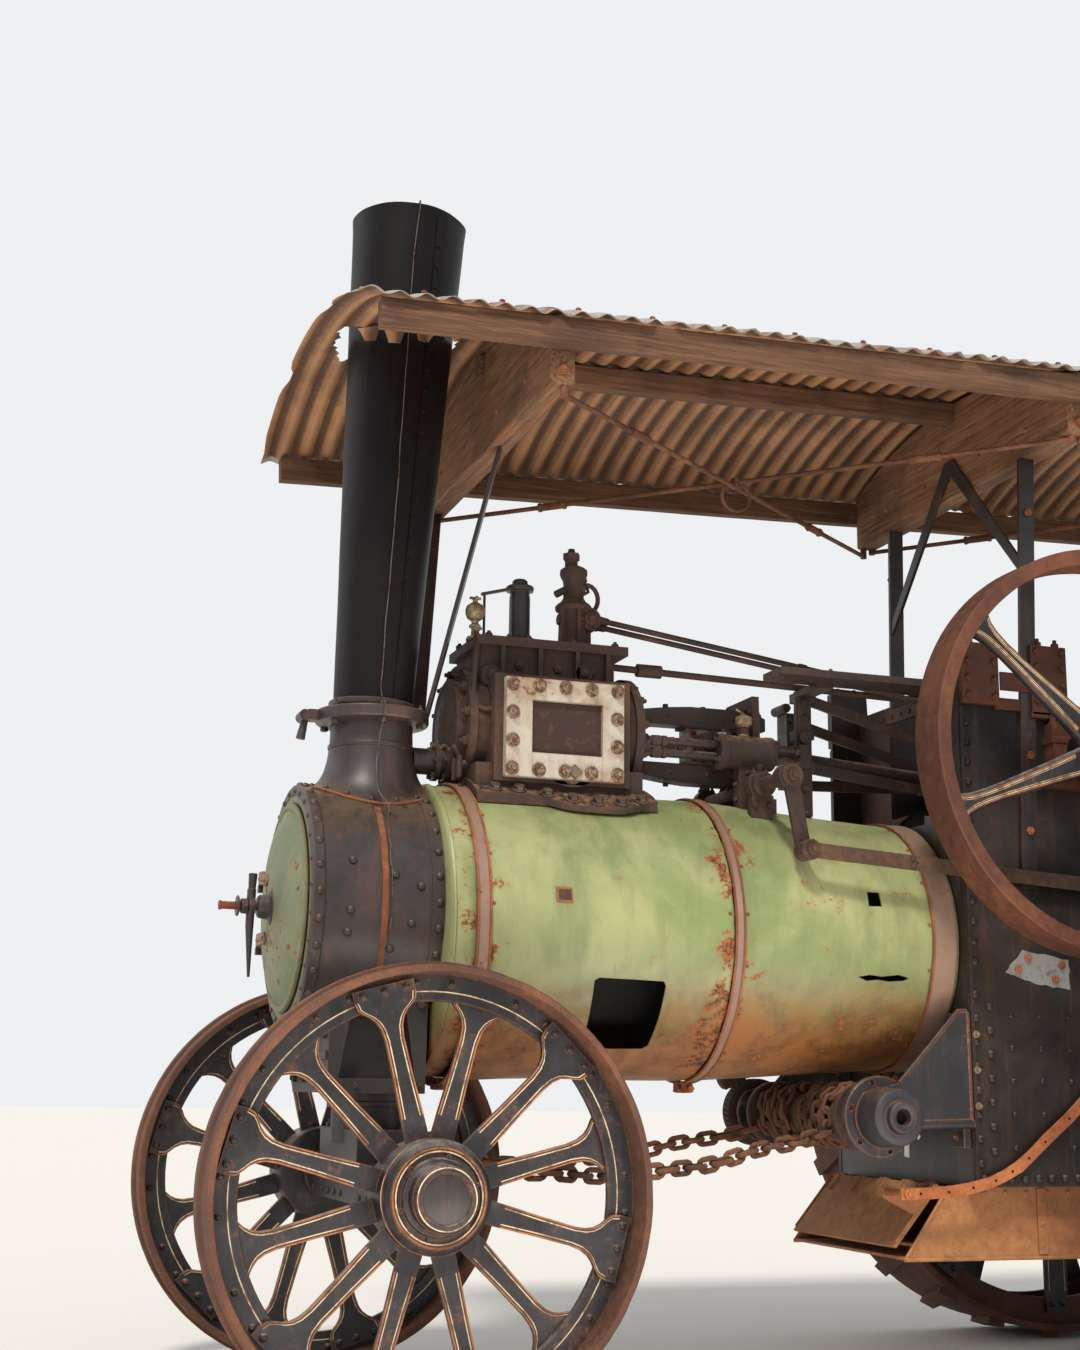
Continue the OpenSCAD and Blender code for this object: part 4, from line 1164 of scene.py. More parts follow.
@dataclass
class RearWheel:
    """A rear wheel: rivets of the strakes and spokes over the CAD wheel, and painted lines."""

    side: Side
    body: Body
    x: float = REAR_X
    radius: float = REAR_Z
    inner: float = 0.702
    width: float = 0.380
    strakes: int = 24
    spokes: int = 10

    def build(self, palette: Palette) -> None:
        """Builds the rivets, lines and hub cap of the wheel.

        Args:
            palette: the finishes.
        """
        s = self.side.value
        centre = at(self.x, 0, self.radius)
        shape = Shape()
        for i in range(self.strakes):
            a = TAU * i / self.strakes
            out = Vector((-math.sin(a), 0, -math.cos(a)))
            along = Vector((-out.z, 0, out.x))
            for k in (-0.12, -0.04, 0.04, 0.12):
                y = s * (self.inner + self.width / 2 + k)
                spot = centre + out * self.radius + along * (0.4 * k * s) + Vector((0, y, 0))
                shape.rivets([spot - out * 0.0035], out, 0.011, 0.0035)
        for k, (face, y) in enumerate(((-1, 0.066), (1, self.width - 0.066))):
            for i in range(self.spokes):
                a = (i + k * 0.5) * TAU / self.spokes
                out = Vector((math.sin(a), 0, math.cos(a)))
                along = Vector((-out.z, 0, out.x))
                for r, w in ((0.76, 0.022), (0.76, -0.022), (0.18, 0.022), (0.18, -0.022)):
                    deep = y if r > 0.3 else (0.05 if k == 0 else self.width - 0.05)
                    spot = centre + out * r + along * w + Vector((0, s * (self.inner + deep), 0))
                    shape.rivets([spot], (0, s * face, 0), 0.012, 0.009)
                for w in (-0.033, 0.033):
                    start = centre + out * 0.215 + along * w
                    start += Vector((0, s * (self.inner + y + face * 0.0003), 0))
                    end = start + out * 0.50
                    side = along * 0.00175
                    thick = Vector((0, s * face * 0.0012, 0))
                    shape.loft([[p - side - thick, p + side - thick, p + side + thick, p - side + thick]
                                for p in (start, end)], mark=1)
        turn = aim(centre + Vector((0, s * (self.inner + self.width + 0.012), 0)), (0, s, 0))
        shape.lathe([(0.118, -0.004), (0.122, -0.004), (0.122, 0.001), (0.118, 0.001)], turn, 64, mark=2,
                    loop=True)
        name = self.side.name.lower()
        shape.make(f"rear_wheel_{name}_rivets", self.body, Slot.LINED,
                   [palette.panel, palette.cream, palette.orange])
        dress(palette.tyre, f"rear_tyre_{name}")
        dress(palette.panel, f"rear_wheel_{name}")


@dataclass
class Boiler:
    """The boiler's green sheets, bands, bare badge plate and rivets."""

    centre: float = BOILER_Z
    front_r: float = 0.435
    back_r: float = 0.388
    sheet: float = 0.004

    def radius(self, x: float) -> float:
        """Returns the radius of the sheets at a place behind the front axle.

        Args:
            x: the place along the boiler.

        Returns:
            The radius there.
        """
        if x > -1.0:
            return self.front_r
        return self.back_r + (self.front_r - self.back_r) * (x + 1.738) / 0.738

    def skin(self, x: float, a: float, out: float = 0.0) -> Vector:
        """Returns a point of the sheets, with their dents, at an angle from the top.

        Args:
            x: the place along the boiler.
            a: angle from the top, positive to the left.
            out: distance above the sheets.

        Returns:
            The point in the row frame.
        """
        sag = 0.0
        low = max(0.0, -math.cos(a))
        if x > -1.0:
            share = max(0.0, (x + 0.55) / 0.43)
            sag = 0.016 * low * share * share
        dent = 0.0035 * wobble(x, math.sin(a), math.cos(a), 3.1) + 0.0012 * wobble(x, a, 4, 11)
        r = self.radius(x) - 0.0035 + dent + out + sag
        return at(x, r * math.sin(a), self.centre + r * math.cos(a))

    def sheets(self, palette: Palette) -> None:
        """Builds the front and rear sheets with their holes, tears and eaten edges.

        Args:
            palette: the finishes.
        """
        for name, x0, x1, cells in (("front", -0.184, -0.9675, 72), ("rear", -1.003, -1.736, 64)):

            def place(u: float, v: float, x0: float = x0, x1: float = x1, name: str = name) -> Vector:
                """Returns a point of the sheet.

                Args:
                    u, v: shares of 0 to 1 round and along the sheet.
                    x0, x1: where the sheet starts and ends.
                    name: front or rear.

                Returns:
                    The point.
                """
                a = math.radians(-178.6 + 357.2 * u)
                x = x0 + (x1 - x0) * v
                if name == "front" and v < 0.3:
                    low = max(0.0, -math.cos(a) - 0.45)
                    x -= low * (0.10 + 0.06 * wobble(a * 6, 1, 2, 2)) * (1 - v / 0.3)
                x += 0.004 * wobble(a * 5, v * 2, 7, 2) * (1 if v in (0, 1) else 0)
                return self.skin(x, a)

            def out(u: float, v: float) -> Vector:
                """Returns the sheet's outward direction."""
                a = math.radians(-178.6 + 357.2 * u)
                return Vector((0, math.sin(a), math.cos(a)))

            shape = Shape()
            shape.grid(200, cells, place, self.sheet, out)
            made = shape.make(f"cladding_{name}_sheet", Body.ENGINE, Slot.GREEN,
                              [palette.green, palette.rust], replaces=[f"cladding_{name}"])
            if name == "front":
                hole = [(-0.546, 1.160), (-0.560, 1.168), (-0.655, 1.166), (-0.758, 1.163), (-0.766, 1.150),
                        (-0.764, 1.06), (-0.760, 0.985), (-0.745, 0.976), (-0.65, 0.974), (-0.562, 0.978),
                        (-0.552, 0.99), (-0.548, 1.08)]
                punch(made, hole, 0.22, 0.5)
            else:
                punch(made, [(-1.429, 1.408), (-1.431, 1.452), (-1.473, 1.451), (-1.474, 1.409)], 0.25, 0.5)
                slit = [(-1.39, 1.196), (-1.43, 1.203), (-1.47, 1.199), (-1.53, 1.206), (-1.566, 1.198),
                        (-1.55, 1.190), (-1.50, 1.186), (-1.46, 1.190), (-1.42, 1.186)]
                punch(made, slit, 0.25, 0.5)
            smooth(made, 38)

    def strap(self, shape: Shape, x0: float, x1: float, extra: float, mark: int = 0) -> None:
        """Adds one band round the sheets.

        Args:
            shape: the shape that takes it.
            x0, x1: where the band starts and ends.
            extra: height above the sheets.
            mark: number of the finish.
        """

        def place(u: float, v: float) -> Vector:
            """Returns a point of the band.

            Args:
                u, v: shares of 0 to 1 round and along the band.

            Returns:
                The point.
            """
            a = TAU * u
            x = x0 + (x1 - x0) * v + 0.0018 * wobble(math.sin(a), math.cos(a), x0, 2.5)
            uneven = 0.0012 * wobble(math.sin(a), math.cos(a), x * 9, 3)
            r = max(self.radius(x0), self.radius(x1)) + extra + uneven
            r += 0.016 * max(0.0, -math.cos(a)) * (1 if x0 > -0.3 else 0)
            return at(x, r * math.sin(a), self.centre + r * math.cos(a))

        shape.grid(160, 3, place, 0.006, outwards, mark=mark)

    def bands(self, palette: Palette) -> None:
        """Builds the three bands with their rusty edges, clamps and bolts, and the narrow green rings.

        Args:
            palette: the finishes.
        """
        shape = Shape()
        for x0, x1, extra in ((-0.186, -0.227, 0.0045), (-0.970, -1.001, 0.0045), (-1.644, -1.724, 0.0035)):
            self.strap(shape, x0, x1, extra)
            self.strap(shape, x0 + 0.001, x0 - 0.005, extra + 0.0018, 1)
            self.strap(shape, x1 + 0.005, x1 - 0.001, extra + 0.0018, 1)
            middle = (x0 + x1) / 2
            r = max(self.radius(x0), self.radius(x1)) + extra
            for a in (math.radians(176), math.radians(184)):
                spot = at(middle, r * math.sin(a), self.centre + r * math.cos(a))
                turn = aim(spot, (0, math.sin(a), math.cos(a)))
                shape.block((-0.012, -0.017, -0.004), (0.012, 0.017, 0.028), mark=1, turn=turn)
            low = at(middle, -0.06, self.centre - r * math.cos(math.radians(4)) - 0.016)
            shape.rod(low, low + Vector((0, 0.12, 0)), 0.006, mark=1)
            shape.bolts([low + Vector((0, 0.118, 0))], (0, 1, 0), 0.011, 0.009, mark=1)
        shape.make("cladding_bands_detail", Body.ENGINE, Slot.BAND, [palette.band, palette.rust],
                   replaces=["cladding_bands"])
        ring = Shape()

        def ring_point(u: float, v: float) -> Vector:
            """Returns a point of the green ring behind the smokebox.

            Args:
                u, v: shares of 0 to 1 round and along the ring.

            Returns:
                The point.
            """
            a = TAU * u
            r = self.front_r - 0.006 + 0.001 * wobble(math.sin(a), math.cos(a), v, 3)
            return at(-0.122 - 0.066 * v, r * math.sin(a), self.centre + r * math.cos(a))

        def back_ring(u: float, v: float) -> Vector:
            """Returns a point of the green ring at the firebox.

            Args:
                u, v: shares of 0 to 1 round and along the ring.

            Returns:
                The point.
            """
            a = TAU * u
            r = self.back_r - 0.003
            return at(-1.722 - 0.017 * v, r * math.sin(a), self.centre + r * math.cos(a))

        ring.grid(140, 4, ring_point, 0.004, outwards)
        ring.grid(140, 2, back_ring, 0.004, outwards)
        rows = []
        for x, r, share in ((-0.1275, 0.4335, 0.0), (-0.1205, 0.4315, 0.0), (-0.1165, 0.424, 0.06),
                            (-0.1150, 0.40, 0.4), (-0.1145, 0.3545, 1.0), (-0.1185, 0.3535, 1.0),
                            (-0.1190, 0.40, 0.4), (-0.1225, 0.424, 0.0)):
            middle = self.centre + (SMOKEBOX_Z - self.centre) * share
            row = []
            for i in range(120):
                across = math.sin(TAU * i / 120)
                up = math.cos(TAU * i / 120)
                row.append(at(x + 0.0012 * wobble(across, up, x * 30, 2.5), r * across, middle + r * up))
            rows.append(row)
        ring.loft(rows, caps=False, loop=True)
        ring.make("cladding_green_rings", Body.ENGINE, Slot.GREEN, [palette.green_strip])

    def fittings(self, palette: Palette) -> None:
        """Builds the bare badge plate and the screws of the sheets.

        Args:
            palette: the finishes.
        """
        shape = Shape()
        a = math.asin((1.395 - self.centre) / self.front_r)
        y = self.front_r * math.cos(a)
        turn = aim(at(-0.444, y - 0.0015, 1.395), (0, math.cos(a), math.sin(a)), "X")
        shape.block((-0.021, -0.024, 0), (0.021, 0.024, 0.0035), turn=turn)
        shape.block((-0.016, -0.019, 0.003), (0.016, 0.019, 0.0042), mark=1, turn=turn)
        shape.rivets([turn @ Vector((i, j, 0.0035)) for i in (-0.017, 0.017) for j in (-0.020, 0.020)],
                     (0, math.cos(a), math.sin(a)), 0.0025, 0.0018, sides=6)
        shape.make("blank_badge_plate", Body.ENGINE, Slot.IRON, [palette.rust, palette.iron], bevel=0.0008)
        screws = Shape()
        for x in (-0.235, -0.955, -1.012, -1.635):
            for k in range(-8, 9):
                b = math.radians(k * 20 + 4)
                spot = self.skin(x, b)
                screws.rivets([spot], (0, math.sin(b), math.cos(b)), 0.0055, 0.0035, sides=6)
        screws.make("cladding_screws", Body.ENGINE, Slot.IRON, [palette.rust])
        dress(palette.soot_and_shade, "boiler_barrel")

    def build(self, palette: Palette) -> None:
        """Builds the dressed boiler.

        Args:
            palette: the finishes.
        """
        self.sheets(palette)
        self.bands(palette)
        self.fittings(palette)


@dataclass
class FrontEnd:
    """Smokebox, its door, the chimney base and the tall dented chimney."""

    centre: float = SMOKEBOX_Z
    radius: float = 0.352
    face: float = 0.262
    foot: tuple[float, float, float] = (0.030, 0.0, 1.950)
    lean: float = 2.5
    foot_r: float = 0.119
    top_r: float = 0.180
    length: float = 1.615

    def smokebox(self, palette: Palette) -> None:
        """Builds the rivets, rolled ring, green face ring and seam strap of the smokebox.

        Args:
            palette: the finishes.
        """
        dress(palette.smoke, "smokebox")
        shape = Shape()
        turn = aim(at(self.face, 0, self.centre), (1, 0, 0))
        r = self.radius
        shape.lathe([(r - 0.002, -0.034), (r + 0.005, -0.034), (r + 0.008, -0.030), (r + 0.008, -0.002),
                     (r + 0.003, 0.002), (r - 0.022, 0.002), (r - 0.022, -0.003), (r - 0.002, -0.003)],
                    turn, 128, loop=True)
        shape.lathe([(r - 0.024, -0.002), (r - 0.024, 0.0012), (r - 0.047, 0.0012), (r - 0.047, -0.002)],
                    turn, 96, mark=1, loop=True)
        shape.lathe([(r - 0.001, -0.3815), (r + 0.004, -0.3815), (r + 0.004, -0.340),
                     (r - 0.001, -0.340)], turn, 96, loop=True)
        shape.rivets(ring_of(28, r - 0.011, at(self.face + 0.001, 0, self.centre), 0, 0.11), (1, 0, 0),
                     0.009, 0.007)

        def outward(spot: Vector) -> Vector:
            """Returns the direction away from the smokebox's middle line."""
            return Vector((0, spot.y, spot.z - self.centre))

        for x, phase in ((self.face - 0.018, 0.05), (-0.099, 0.0)):
            extra = 0.008 if x > 0.2 else 0.004
            shape.rivets(ring_of(30, r + extra - 0.001, at(x, 0, self.centre), 0, phase), outward, 0.0125,
                         0.010)
        for x, degrees in ((0.150, 72), (0.030, 78), (-0.045, 83), (0.155, 95), (0.160, 105),
                           (0.036, 112), (-0.02, 100), (0.085, 128), (-0.03, 131), (0.16, -75),
                           (0.02, -84), (0.09, -120)):
            b = math.radians(degrees)
            spot = at(x, r * math.sin(b), self.centre + r * math.cos(b))
            shape.rivets([spot - outward(spot).normalized() * 0.001], outward, 0.013, 0.012)
        for side in (1, -1):
            rows = []
            for k in range(25):
                b = side * math.radians(38 + 4.2 * k)
                row = []
                for w, h in ((-0.009, -0.001), (0.009, -0.001), (0.009, 0.003), (-0.009, 0.003)):
                    row.append(at(0.058 + w + 0.002 * wobble(k, w, side, 0.7), (r + h) * math.sin(b),
                                  self.centre + (r + h) * math.cos(b)))
                rows.append(row)
            shape.loft(rows, mark=2)
        shape.make("smokebox_detail", Body.ENGINE, Slot.BLACK,
                   [palette.smoke, palette.door, palette.rust], bevel=0.001)

    def door(self, palette: Palette) -> None:
        """Builds the smokebox door with its straps, dart, nuts and rusty lever.

        Args:
            palette: the finishes.
        """
        shape = Shape()
        turn = aim(at(self.face + 0.002, 0, self.centre), (1, 0, 0))
        shape.lathe([(0.0, 0.012), (0.27, 0.0), (0.300, 0.0), (0.304, 0.004), (0.304, 0.012),
                     (0.300, 0.016), (0.290, 0.017), (0.284, 0.012), (0.276, 0.015), (0.262, 0.023),
                     (0.235, 0.033), (0.214, 0.038), (0.16, 0.0435), (0.1, 0.048), (0.04, 0.051),
                     (0.0, 0.052)], turn, 96)
        for z in (-0.095, 0.095):
            start = at(self.face + 0.0200, -self.radius + 0.018, self.centre + z + 0.021)
            end = at(self.face + 0.047, -0.075, self.centre + z * 0.9)
            way = end - start
            rows = []
            for k, (w, t) in enumerate(((0.017, 0.011), (0.017, 0.011), (0.014, 0.010), (0.019, 0.010),
                                        (0.004, 0.006))):
                spot = start + way * (0, 0.3, 0.85, 0.96, 1.04)[k]
                rows.append([spot + Vector((i * t, 0, j * w))
                             for i, j in ((-1, -1), (1, -1), (1, 1), (-1, 1))])
            shape.loft(rows, mark=1)
            shape.rivets([start + way * s + Vector((0.0105, 0, 0)) for s in (0.2, 0.45, 0.7, 0.95)],
                         (1, 0, 0), 0.008, 0.006, mark=1)
            axis = at(self.face + 0.017, -self.radius + 0.018, self.centre + z)
            shape.lathe([(0.0, -0.004), (0.012, -0.002), (0.0145, 0.001), (0.0145, 0.038), (0.010, 0.044),
                         (0.0, 0.046)], aim(axis, (0, 0, 1)), 20, mark=1)
        front = at(self.face, 0, self.centre)
        shape.lathe([(0.0, 0.050), (0.052, 0.050), (0.050, 0.056), (0.036, 0.062), (0.034, 0.086),
                     (0.028, 0.092), (0.0, 0.092)], aim(front, (1, 0, 0)), 32, mark=2)
        shape.rod(front + Vector((0.09, 0, 0)), front + Vector((0.198, 0, 0)), 0.0115, mark=3)
        shape.rod(front + Vector((0.196, 0, 0)), front + Vector((0.203, 0, 0)), 0.014, mark=3)
        shape.bolts([front + Vector((x, 0, 0)) for x in (0.1, 0.122)], (1, 0, 0), 0.025, 0.018, mark=2)
        shape.rod(front + Vector((0.146, 0, 0)), front + Vector((0.152, 0, 0)), 0.03, 0.03, 20, mark=2)
        shape.rod(front + Vector((0.109, 0.0, 0.05)), front + Vector((0.112, 0.004, -0.06)), 0.013, 0.012,
                  mark=2)
        shape.rod(front + Vector((0.112, 0.004, -0.055)), front + Vector((0.113, 0.030, -0.205)), 0.012,
                  0.004, mark=2)
        shape.rod(front + Vector((0.109, 0, 0.035)), front + Vector((0.106, -0.004, 0.095)), 0.010, 0.013,
                  mark=2)
        shape.make("smokebox_door_detail", Body.SMOKEBOX_DOOR, Slot.GREEN,
                   [palette.door, palette.band, palette.black, palette.rust], bevel=0.0014,
                   replaces=["smokebox_door"])

    def tilt(self) -> Matrix:
        """Returns the leaning axes of the chimney."""
        a = math.radians(self.lean)
        return aim(at(self.foot[0], 0, self.foot[2]), (-math.sin(a), 0, math.cos(a)))

    def chimney(self, palette: Palette) -> None:
        """Builds the hollow chimney with dents, a bent lip and its foot ring.

        Args:
            palette: the finishes.
        """

        def bend(radius: float, height: float, a: float) -> float:
            """Returns the dents of the wall.

            Args:
                radius: radius of the round wall there, which the dents leave out.
                height: height above the foot.
                a: angle round the chimney.

            Returns:
                The change of the radius.
            """
            top = max(0.0, (height - 1.48) / 0.135)
            dent = 0.0022 * wobble(math.cos(a), math.sin(a), height * 2.2, 1.7)
            torn = 0.020 * max(0.0, math.cos(a - 0.5)) ** 14
            return dent + top * top * (0.006 * wobble(math.cos(a), math.sin(a), 5, 2.4) + torn)

        def wall(inside: float) -> list[tuple[float, float]]:
            """Returns the profile of one face of the wall."""
            return [(self.foot_r + (self.top_r - self.foot_r) * k / 40 - inside,
                     0.012 + (self.length - 0.012) * k / 40) for k in range(41)]

        outer = wall(0.0)
        outer[-1] = (outer[-1][0] + 0.002, outer[-1][1])
        profile = outer + [(self.top_r - 0.004, self.length + 0.0015)] + list(reversed(wall(0.006)))
        shape = Shape()
        shape.lathe(profile, self.tilt(), 96, loop=True, bend=bend)

        def seam(k: int) -> list[Vector]:
            """Returns one ring of the seam strip.

            Args:
                k: number of the ring from the foot.

            Returns:
                The ring's corners.
            """
            h = 0.03 + 1.56 * k / 30
            r = self.foot_r + (self.top_r - self.foot_r) * h / self.length
            spots = []
            for b, e in ((-0.16, 0.0), (0.0, 0.0), (0.0, 0.003), (-0.16, 0.003)):
                a = math.radians(205) + b
                q = r + e + bend(r, h, a)
                spots.append((q * math.cos(a), q * math.sin(a), h))
            return spots

        shape.loft([seam(k) for k in range(31)], turn=self.tilt())
        self.wire(palette)
        for k in range(22):
            h = 0.06 + 0.068 * k
            r = self.foot_r + (self.top_r - self.foot_r) * h / self.length + 0.003
            a = math.radians(205) - 0.08
            way = self.tilt().to_3x3() @ Vector((math.cos(a), math.sin(a), 0))
            shape.rivets([self.tilt() @ Vector((r * math.cos(a), r * math.sin(a), h))], way, 0.006, 0.004,
                         sides=6)
        shape.lathe([(self.foot_r + 0.001, 0.018), (0.133, 0.018), (0.1345, 0.022), (0.134, 0.034),
                     (0.130, 0.037), (self.foot_r + 0.002, 0.038)], self.tilt(), 72, mark=1, loop=True)
        shape.make("chimney_detail", Body.ENGINE, Slot.BLACK, [palette.chimney, palette.smoke], angle=50,
                   replaces=["chimney"])
        inside = Shape()
        inside.lathe([(self.foot_r - 0.0062, 0.014), (self.top_r - 0.0062, self.length - 0.02),
                      (self.top_r - 0.0068, self.length - 0.02), (self.foot_r - 0.0068, 0.014)],
                     self.tilt(), 72, loop=True)
        inside.make("chimney_soot", Body.ENGINE, Slot.BLACK, [palette.soot_and_shade])

    def wire(self, palette: Palette) -> None:
        """Builds the slack wire that hangs down the chimney and over the smokebox.

        Args:
            palette: the finishes.
        """
        lean = math.tan(math.radians(self.lean))

        def beside(z: float, off: float, turn: float) -> Vector:
            """Returns a point at a height, so far off the chimney's wall and so far round it."""
            r = self.foot_r + (self.top_r - self.foot_r) * (z - self.foot[2]) / self.length + off
            return at(self.foot[0] - (z - self.foot[2]) * lean + r * math.cos(turn), r * math.sin(turn), z)

        first = math.radians(86)
        lip, bend = 3.5600, 0.015
        path = [beside(z, -0.003 - bend, first) for z in (3.49, 3.515, 3.54)]
        for k in range(9):
            a = math.pi * (1 - k / 8)
            path.append(beside(lip, -0.003 + bend * math.cos(a), first) + Vector((0, 0, bend * math.sin(a))))
        for k in range(31):
            z = 3.545 - 1.53 * k / 30
            sway = math.radians(3 * wobble(z, 1, 1, 1.6) + 1.5 * wobble(z, 2, 7, 7)) * min(1.0, k / 3)
            path.append(beside(z, 0.0085, first + sway))
        for x, y, z in ((0.036, 0.168, 1.964), (0.034, 0.184, 1.935), (0.040, 0.160, 1.880),
                        (0.046, 0.148, 1.80), (0.050, 0.176, 1.74), (0.052, 0.214, 1.690),
                        (0.030, 0.240, 1.650), (0.034, 0.262, 1.622)):
            path.append(at(x, y, z))
        for k in range(14):
            b = math.radians(59 + 4.2 * k)
            r = self.radius + 0.006
            path.append(at(0.040 + 0.004 * wobble(k, 1, 3, 0.8), r * math.sin(b),
                           self.centre + r * math.cos(b)))
        shape = Shape()
        path = flowing(path, 4)
        thick = 0.0036
        shape.tube(path, thick / 2, 6)
        made = shape.make("chimney_wire", Body.ENGINE, Slot.IRON, [palette.steel])

    def base(self, palette: Palette) -> None:
        """Builds the flared saddle, its beads, the hinged ring, lug and bolts.

        Args:
            palette: the finishes.
        """
        shape = Shape()
        turn = aim(at(self.foot[0], 0, 0), (0, 0, 1))

        def saddle(u: float, v: float, extra: float = 0.0) -> Vector:
            """Returns a point of the flared foot on the smokebox.

            Args:
                u, v: shares of 0 to 1 round the foot and down to its rim.
                extra: what the rim is wider by.

            Returns:
                The point in the row frame.
            """
            a = TAU * u
            rim = 0.200 + extra
            r = 0.124 + (rim - 0.124) * v ** 2.2
            x = r * math.cos(a)
            y = r * math.sin(a)
            on_box = self.centre + math.sqrt(max(self.radius ** 2 - y * y, 0.0)) + 0.006
            top = 1.925
            z = on_box + (top - on_box) * (1 - v) ** 1.9
            return at(self.foot[0] + x, y, z)

        rows = [[saddle(i / 72, v / 16) for i in range(72)] for v in range(17)]
        rows.append([spot - Vector((0, 0, 0.0075)) for spot in rows[-1]])
        rows.append([saddle(i / 72, 0.9, -0.02) - Vector((0, 0, 0.0075)) for i in range(72)])
        shape.loft(rows, caps=False)
        for k in range(16):
            spot = saddle((k + 0.5) / 16, 0.92)
            shape.rivets([spot], (0, spot.y * 1.2, spot.z - self.centre), 0.010, 0.008)
        lip = []
        for r, z in ((-0.003, -0.002), (0.003, -0.006), (0.003, 0.0), (-0.002, 0.003)):
            row = []
            for i in range(72):
                way = Vector((math.cos(TAU * i / 72), math.sin(TAU * i / 72), 0))
                row.append(saddle(i / 72, 1.0) + Vector((0, 0, z)) + way * r)
            lip.append(row)
        shape.loft(lip, mark=1, caps=False, loop=True)
        shape.lathe([(0.1225, 1.84), (0.130, 1.845), (0.131, 1.855), (0.124, 1.862)], turn, 72, loop=True)
        shape.lathe([(0.118, 1.918), (0.150, 1.920), (0.168, 1.924), (0.172, 1.930), (0.172, 1.957),
                     (0.168, 1.961), (0.118, 1.961)], turn, 72, loop=True)
        shape.bolts(ring_of(6, 0.150, at(self.foot[0], 0, 1.961), 2, math.radians(30)), (0, 0, 1), 0.0125,
                    0.013, stud=0.008)
        shape.bolts(ring_of(6, 0.150, at(self.foot[0], 0, 1.919), 2, math.radians(30)), (0, 0, -1),
                    0.0125, 0.010)
        lug = at(self.foot[0] + 0.165, 0.0, 1.945)
        shape.block((lug.x - 0.01, -0.026, 1.925), (lug.x + 0.035, 0.026, 1.957))
        shape.rod((lug.x + 0.046, -0.034, 1.937), (lug.x + 0.046, 0.034, 1.937), 0.017)
        shape.rod((lug.x + 0.040, 0.0, 1.93), (lug.x + 0.052, 0.0, 1.868), 0.010, 0.014)
        shape.make("chimney_base_detail", Body.ENGINE, Slot.BLACK, [palette.smoke, palette.rust],
                   bevel=0.0012, replaces=["chimney_base"])
        dress(palette.smoke, "exhaust_pipe")
        pipe = Shape()
        for x in (-0.187, -0.153):
            pipe.bolts([at(x, 0.020 + 0.049 * math.cos(TAU * k / 6), 1.822 + 0.049 * math.sin(TAU * k / 6))
                        for k in range(6)], (1, 0, 0), 0.007, 0.006)
        pipe.make("exhaust_bolts", Body.ENGINE, Slot.BLACK, [palette.smoke])

    def build(self, palette: Palette) -> None:
        """Builds the dressed front end.

        Args:
            palette: the finishes.
        """
        self.smokebox(palette)
        self.door(palette)
        self.base(palette)
        self.chimney(palette)


